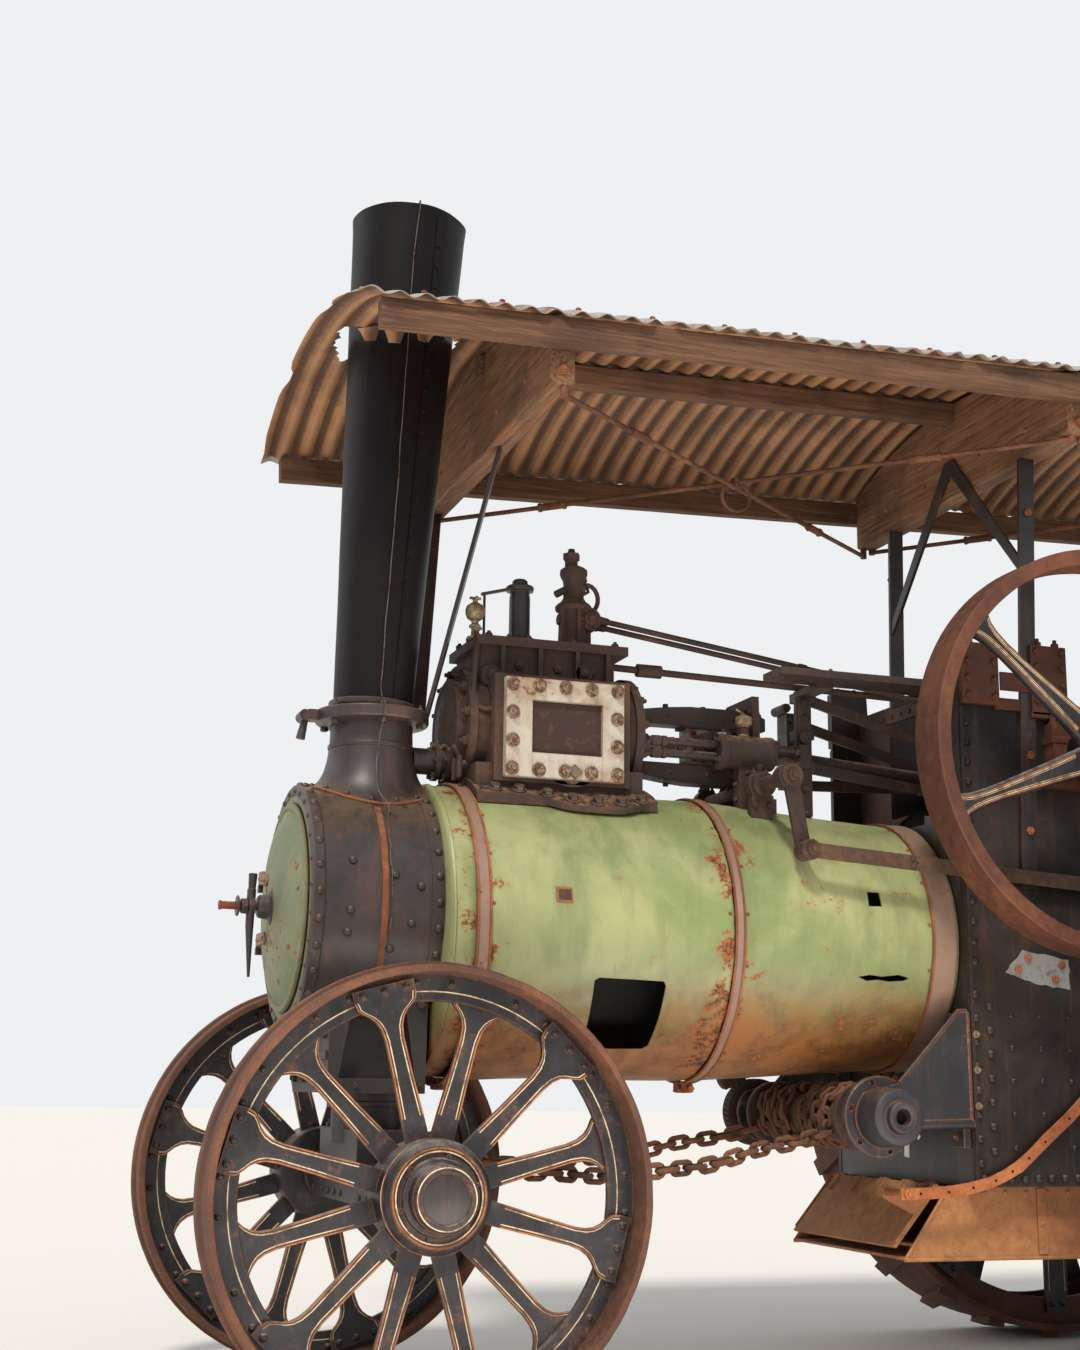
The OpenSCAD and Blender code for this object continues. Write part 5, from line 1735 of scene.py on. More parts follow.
@dataclass
class Canopy:
    """The corrugated roof with ragged edges, its timber frame, crossed ties and posts."""

    edge: float = 2.985
    rise: float = 0.165
    half: float = 0.760
    back: float = -3.745
    pitch: float = 0.0762
    depth: float = 0.0155
    waves: int = 52
    slope: float = 2.2
    sheets: int = 7
    beams: tuple[float, float, float] = (-0.330, -2.048, -3.560)

    def radius(self) -> float:
        """Returns the radius of the roof's arch."""
        return (self.half ** 2 + self.rise ** 2) / (2 * self.rise)

    def level(self, x: float) -> float:
        """Returns the height of the sheet's edge at a place behind the front axle."""
        return self.edge - x * math.tan(math.radians(self.slope))

    def arch(self, y: float) -> float:
        """Returns the height of the arch above its edge."""
        r = self.radius()
        return self.rise - r + math.sqrt(max(r * r - y * y, 0.0))

    def skin(self, u: float, a: float, lift: float = 0.0) -> Vector:
        """Returns a point of the corrugated sheet.

        Args:
            u: distance from the back edge in metres.
            a: angle across the arch, positive to the left.
            lift: extra height above the sheet.

        Returns:
            The point in the row frame.
        """
        wave = self.depth * (0.5 - 0.5 * math.cos(TAU * u / self.pitch))
        side = a / 0.4276
        rust = 0.0018 * wobble(u, a * 2, 5, 2.2)
        curl = 0.0
        if side > 0.93 and u > 3.86:
            curl = 0.016 * ((side - 0.93) / 0.07) * min(1.0, (u - 3.86) / 0.1)
        elif abs(side) > 0.93:
            curl = 0.010 * wobble(u * 2.1, side, 3, 1.4) * (abs(side) - 0.93) / 0.07
        r = self.radius() + wave + rust + curl + lift
        turn = math.radians(self.slope)
        x = self.back + u
        low = r * math.cos(a)
        return at(x * math.cos(turn) + low * math.sin(turn), r * math.sin(a),
                  self.edge + self.rise - self.radius() - x * math.sin(turn) + low * math.cos(turn))

    def sheet(self, shape: Shape, start: float, end: float, lift: float, trims: tuple[float, float]) -> None:
        """Adds one sheet of the roof, with the bites that rust took from its edges.

        Args:
            shape: the shape that takes it.
            start, end: distance of its two ends from the back edge.
            lift: height above the sheet below its lap.
            trims: how much it falls short at the two sides.
        """
        length = self.waves * self.pitch
        reach = math.asin(self.half / self.radius())

        def place(u: float, v: float) -> Vector:
            """Returns a point of the sheet.

            Args:
                u, v: shares of 0 to 1 across and along the sheet.

            Returns:
                The point.
            """
            share = 2 * u - 1
            along = start + (end - start) * v
            a = share * (reach - abs(trims[share > 0]))
            if abs(share) > 0.9:
                bite = max(0.0, wobble(along, share, 8, 9.0) - 0.15) * 0.035
                bite += max(0.0, wobble(along, share, 3, 2.0) - 0.45) * 0.10
                a -= math.copysign(bite * (abs(share) - 0.9) / 0.1, share)
            if along > length - 0.03:
                along -= max(0.0, wobble(a * 9, 2, 7) - 0.1) * 2 * (along - length + 0.03)
            if along < 0.03:
                along += max(0.0, wobble(a * 9, 9, 7) - 0.1) * 2 * (0.03 - along)
            return self.skin(along, a, lift)

        def out(u: float, v: float) -> Vector:
            """Returns the upward direction of the sheet."""
            a = (2 * u - 1) * reach
            return Vector((0.0, math.sin(a), math.cos(a)))

        shape.grid(34, round((end - start) / self.pitch * 8), place, 0.0014, out)

    def roof(self, palette: Palette) -> None:
        """Builds the overlapping sheets, their ragged hole round the chimney and the nails.

        Args:
            palette: the finishes.
        """
        shape = Shape()
        cover = self.waves * self.pitch / self.sheets
        for k in range(self.sheets):
            trims = (0.006 * wobble(k, 1, 2, 1.3), 0.006 * wobble(k, 5, 2, 1.3))
            self.sheet(shape, max(0.0, k * cover - self.pitch * 0.75), (k + 1) * cover, 0.0016 * (k % 2),
                       trims)
        made = shape.make("canopy_sheet_detail", Body.ENGINE, Slot.SHEET, [palette.roof], angle=50,
                          replaces=["canopy_sheet"])
        hole = [(178, -70), (190, 60), (150, 150), (40, 190), (-110, 178), (-196, 90), (-190, -110),
                (-90, -186), (60, -196), (140, -150)]
        outline = []
        for i, (x0, y0) in enumerate(hole):
            x1, y1 = hole[(i + 1) % len(hole)]
            for j in range(6):
                grow = 0.001 * (1.0 + 0.10 * wobble(i + j / 6, 3, 1, 2.3) - 0.05 * (j % 2))
                outline.append(((x0 + (x1 - x0) * j / 6) * grow, (y0 + (y1 - y0) * j / 6) * grow))
        tool = Shape()
        tool.loft([[at(x, y, z) for x, y in outline] for z in (2.75, 3.45)])
        cut(made, tool)
        smooth(made, 50)
        self.tongues(palette)
        nails = Shape()
        for y in (0.715, -0.715, 0.0, 0.36, -0.36):
            a = math.asin(y / self.radius())
            for k in range(1, self.waves - 6 if abs(y) < 0.5 else self.waves, 6 if abs(y) == 0.36 else 3):
                nails.rivets([self.skin((k + 0.5) * self.pitch, a, 0.002)], (0, math.sin(a), math.cos(a)),
                             0.009, 0.006)
        nails.make("canopy_nails", Body.ENGINE, Slot.SHEET, [palette.rust])

    def tongues(self, palette: Palette) -> None:
        """Builds the torn strips that hang from the hole's edge.

        Args:
            palette: the finishes.
        """
        shape = Shape()
        for bearing, size in ((1.35, 0.05), (1.9, 0.035), (0.9, 0.04), (-1.4, 0.045), (2.6, 0.03)):
            x = 0.183 * math.cos(bearing)
            y = 0.183 * math.sin(bearing)
            top = at(x, y, self.level(x) + self.arch(y) + 0.004)
            inward = Vector((-math.cos(bearing), -math.sin(bearing), 0))
            across = Vector((-math.sin(bearing), math.cos(bearing), 0))
            rows = []
            for k in range(5):
                s = k / 4
                spot = top + inward * (0.012 * s) + Vector((0, 0, -size * s * (0.5 + 0.5 * s)))
                side = across * (0.040 * (1 - 0.55 * s))
                thick = inward * 0.0014
                rows.append([spot - side, spot + side, spot + side + thick, spot - side + thick])
            shape.loft(rows)
        shape.make("canopy_torn_tongues", Body.ENGINE, Slot.SHEET, [palette.roof])

    def timber(self, shape: Shape, start: Point, end: Point, tall: float, wide: float) -> None:
        """Adds a rough-sawn bar with worn corners.

        Args:
            shape: the shape that takes it.
            start, end: middle of its two ends.
            tall: height of its section.
            wide: width of its section.
        """
        first = Vector(start)
        way = Vector(end) - first
        ahead = way.normalized()
        side = ahead.cross(Vector((0, 0, 1))).normalized()
        up = side.cross(ahead)
        corners = ((1, 0.86), (0.86, 1), (-0.86, 1), (-1, 0.86), (-1, -0.86), (-0.86, -1), (0.86, -1),
                   (1, -0.86))
        rings = []
        steps = max(4, round(way.length / 0.09))
        for i in range(steps + 1):
            spot = first + way * (i / steps)
            if i in (0, steps):
                spot += ahead * 0.004 * wobble(i, spot.y, spot.z, 7)
            ring = []
            for j, (a, b) in enumerate(corners):
                worn = 1.0 + 0.035 * wobble(spot.x * 4, spot.y * 4 + j, spot.z * 4, 1.5)
                ring.append(spot + side * (a * wide / 2 * worn) + up * (b * tall / 2 * worn))
            rings.append(ring)
        shape.loft(rings)

    def frame_timber(self, palette: Palette) -> None:
        """Builds the side rails, the ridge purlin, the arched beams and their bolts.

        Args:
            palette: the finishes.
        """
        rails = Shape()
        drop = self.arch(0.739) - 0.0446
        for s in (-1, 1):
            front = at(0.216, s * 0.715, self.level(0.216) + drop)
            rear = at(-3.720, s * 0.715, self.level(-3.720) + drop)
            self.timber(rails, front, rear, 0.083, 0.047)
        ridge = self.arch(0.030) - 0.0405
        self.timber(rails, at(-0.282, 0, self.level(-0.282) + ridge),
                    at(-3.722, 0, self.level(-3.722) + ridge), 0.073, 0.059)
        rails.make("canopy_rails_detail", Body.ENGINE, Slot.WOOD, [palette.beam_x], bevel=0.0015,
                   replaces=["canopy_rails"])
        arches = Shape()
        for k, x in enumerate(self.beams):
            low = self.level(x + 0.038) - 0.178
            rings = []
            for i in range(31):
                y = -0.6905 + 1.381 * i / 30
                top = self.level(x + 0.038) + self.arch(y) - 0.0045
                under = low + 0.0015 * wobble(y * 3, x, 2, 1.5)
                half = 0.0375 * (1.0 + 0.03 * wobble(y * 2, x * 3, 5, 2))
                c = 0.005
                rings.append([at(x - half, y, under + c), at(x - half + c, y, under),
                              at(x + half - c, y, under), at(x + half, y, under + c),
                              at(x + half, y, top - c), at(x + half - c, y, top),
                              at(x - half + c, y, top), at(x - half, y, top - c)])
            arches.loft(rings)
            for s in (-1, 1):
                for z in (low + 0.045, low + 0.128):
                    head = at(x, s * 0.6895, z)
                    arches.rod(head, head + Vector((0, s * 0.004, 0)), 0.017, mark=1)
                    arches.bolts([head + Vector((0, s * 0.004, 0))], (0, s, 0), 0.012, 0.009, mark=1,
                                 stud=0.005, square=k == 1)
                for y in (0.18, 0.46):
                    for face in (1, -1):
                        arches.rivets([at(x + face * 0.0372, s * y, low + 0.09)], (face, 0, 0), 0.010,
                                      0.006, mark=1)
        arches.make("canopy_beams_detail", Body.ENGINE, Slot.WOOD, [palette.beam_y, palette.rust],
                    bevel=0.0015, replaces=["canopy_beams"])

    def ironwork(self, palette: Palette) -> None:
        """Dresses the ties and posts and adds the ring, turnbuckles, brackets and bolts.

        Args:
            palette: the finishes.
        """
        dress(palette.link, "canopy_ties")
        dress(palette.black, "canopy_posts")
        shape = Shape()
        middle = at(-1.185, 0, self.level(-1.185) - 0.2)
        ring = [middle + Vector((0.05 * math.cos(TAU * k / 28), 0, -0.040 + 0.05 * math.sin(TAU * k / 28)))
                for k in range(28)]
        shape.tube(ring, 0.0065, 10, loop=True)
        shape.rod(middle + Vector((0, 0, 0.022)), middle + Vector((0, 0, -0.012)), 0.016)
        for x0, x1 in ((-0.340, -2.030), (-2.066, -3.550)):
            for s in (-1, 1):
                drop = 0.208 if s > 0 else 0.1905
                start = at(x0, s * 0.678, self.level(x0) - drop)
                way = at(x1, s * -0.678, self.level(x1) - drop) - start
                ahead = way.normalized()
                for share in (0.2, 0.79):
                    spot = start + way * share
                    shape.rod(spot - ahead * 0.045, spot + ahead * 0.045, 0.013)
                    shape.rod(spot - ahead * 0.05, spot - ahead * 0.038, 0.016, sides=6)
                    shape.rod(spot + ahead * 0.038, spot + ahead * 0.05, 0.016, sides=6)
        shape.make("canopy_tie_fittings", Body.ENGINE, Slot.IRON, [palette.link], bevel=0.0008)
        posts = Shape()
        for x, z in ((-1.965, 1.52), (-1.972, 1.66), (-1.984, 1.90), (-2.016, 2.70)):
            posts.bolts([at(x, 0.4395, z)], (0, 1, 0), 0.014, 0.010, stud=0.005)
        for z in (1.84, 1.95, 2.70):
            posts.bolts([at(-2.012, -0.4395, z)], (0, -1, 0), 0.014, 0.010, stud=0.005)
        for s in (-1, 1):
            for z in (1.24, 1.38, 1.52, 1.60):
                posts.bolts([at(-3.560, s * 0.5655, z)], (0, s, 0), 0.014, 0.010, stud=0.005)
        posts.make("canopy_post_bolts", Body.ENGINE, Slot.BLACK, [palette.rust], bevel=0.0006)

    def build(self, palette: Palette) -> None:
        """Builds the whole canopy.

        Args:
            palette: the finishes.
        """
        self.roof(palette)
        self.frame_timber(palette)
        self.ironwork(palette)


@dataclass
class CylinderBlock:
    """Bolts, cover plate, plugs and top fittings of the cylinder block."""

    axis: float = 1.935
    front: float = -0.225
    back: float = -0.785
    side: float = 0.250
    lid: float = 2.199

    def chest_cover(self, palette: Palette) -> None:
        """Builds the cream valve chest cover with its sunk dark panel and fourteen studs.

        Args:
            palette: the finishes.
        """
        shape = Shape()
        x0, x1, z0, z1 = -0.692, -0.317, 1.757, 2.057
        a0, a1, b0, b1 = -0.622, -0.400, 1.832, 1.990
        y0, y1, deep = 0.224, self.side, 0.014
        shape.block(at(x0, y0, z0), at(a0, y1, z1))
        shape.block(at(a1, y0, z0), at(x1, y1, z1))
        shape.block(at(a0, y0, z0), at(a1, y1, b0))
        shape.block(at(a0, y0, b1), at(a1, y1, z1))
        shape.make("valve_chest_frame", Body.ENGINE, Slot.IRON, [palette.cover],
                   replaces=["valve_chest_cover"])
        panel = Shape()
        panel.block(at(a0 + 0.0005, y0, b0 + 0.0005), at(a1 - 0.0005, y1 - deep, b1 - 0.0005))
        panel.make("valve_chest_panel", Body.ENGINE, Slot.IRON, [palette.panel_red])
        spots = []
        for k in range(5):
            x = x1 - 0.021 - (x1 - x0 - 0.042) * k / 4
            spots += [at(x, y1, z1 - 0.023), at(x, y1, z0 + 0.023)]
        for z in (z0 + 0.107, z1 - 0.108):
            spots += [at(x0 + 0.022, y1, z), at(x1 - 0.022, y1, z)]
        studs = Shape()
        washer = Vector((0, 0.0035, 0))
        for spot in spots:
            studs.rod(spot, spot + washer, 0.0215, sides=20)
        studs.bolts([spot + washer for spot in spots], (0, 1, 0), 0.0155, 0.012, stud=0.010)
        studs.make("valve_chest_studs", Body.ENGINE, Slot.IRON, [palette.stud], bevel=0.0008)

    def saddle(self, palette: Palette) -> None:
        """Builds the lobed saddle flange on the sheets with its dark bolts, and the plug boss.

        Args:
            palette: the finishes.
        """
        boss_x = -0.535
        boss_z = 1.775
        shape = Shape()

        def skirt(u: float, v: float) -> Vector:
            """Returns a point of the flange.

            Args:
                u, v: shares of 0 to 1 along the flange and down it.

            Returns:
                The point.
            """
            x = -0.236 - 0.566 * u
            lobe = math.exp(-((x + 0.60) / 0.15) ** 4)
            low = 0.575 + 0.115 * lobe + 0.01 * wobble(x * 8, 1, 1, 1)
            a = 0.40 + (low - 0.40) * v
            r = 0.4615 + 0.0015 * wobble(x * 6, a * 6, 3, 1.4)
            return at(x, r * math.sin(a), BOILER_Z + r * math.cos(a))

        def out(u: float, v: float) -> Vector:
            """Returns the flange's outward direction."""
            spot = skirt(u, v)
            return Vector((0, spot.y, spot.z - BOILER_Z)).normalized()

        shape.grid(48, 8, skirt, 0.024, out)
        for x, a in ((-0.292, 0.52), (-0.365, 0.525), (-0.448, 0.57), (-0.520, 0.625), (-0.597, 0.64),
                     (-0.672, 0.63), (-0.745, 0.585)):
            way = Vector((0, math.sin(a), math.cos(a)))
            spot = at(x, 0, BOILER_Z) + way * 0.463
            shape.rod(spot, spot + way * 0.004, 0.023, sides=20)
            shape.bolts([spot + way * 0.004], way, 0.0175, 0.013, mark=1)
        shape.make("saddle_flange", Body.ENGINE, Slot.BLACK, [palette.oily, palette.black], bevel=0.0012)
        boss = Shape()
        turn = aim(at(boss_x, 0.200, boss_z), (0, 1, 0))
        oval = []
        for k in range(40):
            a = TAU * k / 40
            oval.append((0.068 * math.cos(a) * (1.0 + 0.12 * math.cos(2 * a)), 0.036 * math.sin(a)))
        boss.plate(oval, 0.024, turn)
        boss.rod(at(boss_x, 0.222, boss_z), at(boss_x, 0.236, boss_z), 0.030, 0.027, 24)
        boss.bolts([at(boss_x, 0.234, 1.777)], (0, 1, 0.2), 0.024, 0.026, square=True)
        boss.bolts([at(boss_x + s * 0.052, 0.223, boss_z) for s in (-1, 1)], (0, 1, 0), 0.011, 0.009,
                   stud=0.004)
        boss.make("cylinder_plug", Body.ENGINE, Slot.IRON, [palette.stud_old], bevel=0.0012)

    def flanges(self, palette: Palette) -> None:
        """Builds the bolts of the covers and the lid, the ribs and the drain cocks.

        Args:
            palette: the finishes.
        """
        dress(palette.iron, "cylinder_block")
        shape = Shape()
        for x, way in ((self.front, 1), (self.back, -1)):
            for spot in ring_of(12, 0.171, at(x, 0, self.axis), 0, 0.13):
                shape.rod(spot, spot + Vector((way * 0.003, 0, 0)), 0.018, sides=18)
                shape.bolts([spot + Vector((way * 0.003, 0, 0))], (way, 0, 0), 0.014, 0.012, stud=0.009)
        turn = aim(at(self.front + 0.021, 0, self.axis), (1, 0, 0))
        shape.lathe([(0.0, 0.0), (0.146, 0.0), (0.143, 0.006), (0.128, 0.008), (0.120, 0.004),
                     (0.060, 0.012), (0.040, 0.020), (0.0, 0.022)], turn, 48)
        rear = aim(at(self.back, 0, self.axis), (-1, 0, 0))
        shape.lathe([(0.024, 0.0), (0.082, 0.0), (0.078, 0.012), (0.052, 0.018), (0.050, 0.050),
                     (0.044, 0.056), (0.024, 0.056)], rear, 36, loop=True)
        shape.bolts([rear @ Vector((0.064 * s, 0, 0.016)) for s in (-1, 1)], (-1, 0, 0), 0.011, 0.010,
                    stud=0.012)
        lid = [at(x, y, 2.1985) for x in (-0.700, -0.560, -0.415, -0.290) for y in (-0.138, 0.148)]
        lid += [at(x, y, 2.1985) for x in (-0.255, -0.735) for y in (-0.05, 0.06)]
        shape.bolts(lid, (0, 0, 1), 0.012, 0.011, stud=0.006)
        for x in (-0.335, -0.455, -0.575, -0.675):
            shape.block(at(x - 0.007, 0.135, 2.06), at(x + 0.007, 0.158, 2.173))
        shape.bolts([at(x, 0.139, 2.115) for x in (-0.39, -0.515, -0.625)], (0, 1, 0), 0.015, 0.012,
                    stud=0.008)
        for x, z, r in ((-0.595, 2.105, 0.031), (-0.300, 2.075, 0.036)):
            shape.rod(at(x, 0.138, z), at(x, 0.158, z), r, r - 0.004, 24)
            shape.bolts([at(x, 0.157, z)], (0, 1, 0), r * 0.52, 0.015, stud=0.005)
        for y in (0.10, 0.155):
            shape.rod(at(-0.222, y, 1.80), at(-0.196, y + 0.01, 1.793), 0.010, 0.009, 12)
            shape.rod(at(-0.200, y + 0.01, 1.822), at(-0.200, y + 0.01, 1.755), 0.009, 0.008, 12)
            shape.rod(at(-0.200, y + 0.01, 1.822), at(-0.176, y + 0.03, 1.846), 0.005, 0.007, 10)
        shape.make("cylinder_bolts", Body.ENGINE, Slot.IRON, [palette.iron], bevel=0.0009)

    def tower(self, palette: Palette) -> None:
        """Builds the regulator tower with its ribbed body, elbow, ring lever and valve face.

        Args:
            palette: the finishes.
        """
        valve_x = -0.640
        valve_z = 2.300
        shape = Shape()
        x, y = -0.600, 0.040
        turn = aim(at(x, y, 0), (0, 0, 1))
        shape.lathe([(0.0, self.lid), (0.062, self.lid), (0.062, 2.212), (0.058, 2.217), (0.048, 2.226),
                     (0.046, 2.290), (0.046, 2.325), (0.056, 2.331), (0.058, 2.337), (0.058, 2.344),
                     (0.052, 2.351), (0.040, 2.360), (0.033, 2.372), (0.031, 2.400), (0.034, 2.428),
                     (0.041, 2.441), (0.044, 2.450), (0.043, 2.464), (0.034, 2.471), (0.024, 2.476),
                     (0.0, 2.478)], turn, 40)
        shape.rod(at(x + 0.008, y, 2.474), at(x + 0.008, y, 2.500), 0.022, sides=6)
        shape.rod(at(x + 0.008, y, 2.498), at(x + 0.008, y, 2.518), 0.028, sides=6)
        shape.rod(at(x + 0.008, y, 2.517), at(x + 0.008, y, 2.534), 0.014, 0.010, 14)
        shape.bolts(ring_of(4, 0.052, at(x, y, 2.212), 2, 0.78), (0, 0, 1), 0.010, 0.010, stud=0.008)
        for a in (0.5, 1.57, 2.64, 4.71):
            foot = Vector((math.cos(a), math.sin(a), 0))
            shape.bar(at(x, y, 2.215) + foot * 0.049, at(x, y, 2.335) + foot * 0.049, 0.012, 0.014)
        shape.rod(at(-0.575, 0.040, valve_z), at(-0.682, 0.040, valve_z), 0.027, sides=24)
        shape.rod(at(valve_x, 0.05, valve_z), at(valve_x, 0.086, valve_z), 0.040, 0.037, 28)
        shape.rod(at(valve_x, 0.084, valve_z), at(valve_x, 0.096, valve_z), 0.026, 0.020, 24)
        shape.bolts([at(valve_x + 0.029 * math.cos(a), 0.085, valve_z + 0.029 * math.sin(a))
                     for a in (TAU * k / 6 for k in range(6))], (0, 1, 0), 0.0065, 0.006)
        shape.bolts([at(valve_x, 0.095, valve_z)], (0, 1, 0), 0.012, 0.012, stud=0.004)
        shape.rod(at(-0.595, y, 2.406), at(-0.636, y + 0.01, 2.406), 0.018, 0.016, 16)
        hoop = []
        for k in range(12):
            a = math.radians(100 - 200 * k / 11)
            hoop.append(at(valve_x - 0.038 * math.cos(a), y + 0.012, 2.372 + 0.046 * math.sin(a)))
        shape.tube(hoop, 0.0075, 10)
        shape.tube([at(-0.612, 0.052, 2.396), at(-0.630, 0.052, 2.386), at(-0.645, 0.052, 2.395),
                    at(valve_x, 0.052, 2.412)], 0.006, 8)
        shape.rod(at(valve_x, y, 2.440), at(-0.540, y, 2.380), 0.0105, 0.012, 14)
        shape.rod(at(-0.560, y, 2.30), at(-0.548, y, 2.30), 0.020, 0.017, 20)
        shape.make("regulator_tower_detail", Body.ENGINE, Slot.IRON, [palette.iron], bevel=0.0012,
                   replaces=["regulator_tower"])

    def fittings(self, palette: Palette) -> None:
        """Builds the safety valve column, the lubricator with its pipe, and the rod ends.

        Args:
            palette: the finishes.
        """
        column_x = -0.415
        cup_x = -0.262
        column = Shape()
        turn = aim(at(column_x, 0.060, 0), (0, 0, 1))
        column.lathe([(0.0, self.lid), (0.052, self.lid), (0.052, 2.214), (0.048, 2.219), (0.036, 2.222),
                      (0.033, 2.230), (0.0325, 2.352), (0.030, 2.362), (0.030, 2.370), (0.043, 2.372),
                      (0.044, 2.384), (0.040, 2.388), (0.026, 2.390), (0.024, 2.404), (0.018, 2.410),
                      (0.0, 2.411)], turn, 36)
        column.bolts(ring_of(4, 0.043, at(column_x, 0.060, 2.216), 2, 0.4), (0, 0, 1), 0.008, 0.008,
                     stud=0.005)
        column.bar(at(-0.385, 0.060, 2.378), at(-0.290, 0.060, 2.352), 0.014, 0.009)
        column.rod(at(-0.300, 0.060, 2.356), at(-0.300, 0.060, 2.205), 0.0045, sides=8)
        column.make("safety_valve_detail", Body.ENGINE, Slot.BLACK, [palette.black], bevel=0.0010,
                    replaces=["safety_valve"])
        cup = Shape()
        turn = aim(at(cup_x, 0.090, 0), (0, 0, 1))
        cup.lathe([(0.0, self.lid), (0.024, self.lid), (0.024, 2.206), (0.012, 2.210), (0.011, 2.232),
                   (0.018, 2.236), (0.018, 2.242), (0.010, 2.248), (0.012, 2.256), (0.024, 2.264),
                   (0.030, 2.278), (0.030, 2.292), (0.026, 2.304), (0.014, 2.312), (0.008, 2.316),
                   (0.008, 2.326), (0.0, 2.328)], turn, 32)
        cup.rod(at(cup_x, 0.072, 2.3285), at(cup_x, 0.108, 2.3285), 0.0045, sides=10)
        cup.rod(at(-0.280, 0.090, 2.3285), at(-0.244, 0.090, 2.3285), 0.0045, sides=10)
        cup.rod(at(cup_x, 0.09, 2.226), at(cup_x, 0.125, 2.226), 0.0075, 0.010, 14)
        cup.rod(at(-0.275, 0.122, 2.226), at(-0.249, 0.122, 2.226), 0.0045, sides=10)
        cup.tube([at(cup_x, 0.105, 2.222), at(-0.258, 0.128, 2.205), at(-0.250, 0.158, 2.165),
                  at(-0.244, 0.168, 2.12), at(-0.240, 0.170, 2.06), at(-0.238, 0.172, 2.01),
                  at(-0.248, 0.176, 1.975), at(-0.268, 0.182, 1.965), at(-0.292, 0.186, 1.965)], 0.0085,
                 10, mark=1)
        cup.make("lubricator_detail", Body.ENGINE, Slot.IRON, [palette.brass, palette.iron], bevel=0.0006,
                 replaces=["lubricator"])
        dress(palette.iron, "regulator_rods")
        ends = Shape()
        for first, last in ((at(-0.6819, 0.054, 2.306), at(-2.288, 0.150, 2.062)),
                            (at(-0.6819, 0.027, 2.292), at(-2.288, 0.185, 2.030))):
            way = (last - first).normalized()
            ends.rod(first + way * 0.002, first + way * 0.03, 0.0135, 0.012, 14)
            for share in (0.42, 0.86):
                spot = first + (last - first) * share
                ends.rod(spot, spot + way * 0.028, 0.013, sides=6)
        ends.make("regulator_rod_ends", Body.ENGINE, Slot.IRON, [palette.iron], bevel=0.0006)

    def build(self, palette: Palette) -> None:
        """Builds every fitting of the cylinder.

        Args:
            palette: the finishes.
        """
        self.flanges(palette)
        self.chest_cover(palette)
        self.saddle(palette)
        self.tower(palette)
        self.fittings(palette)


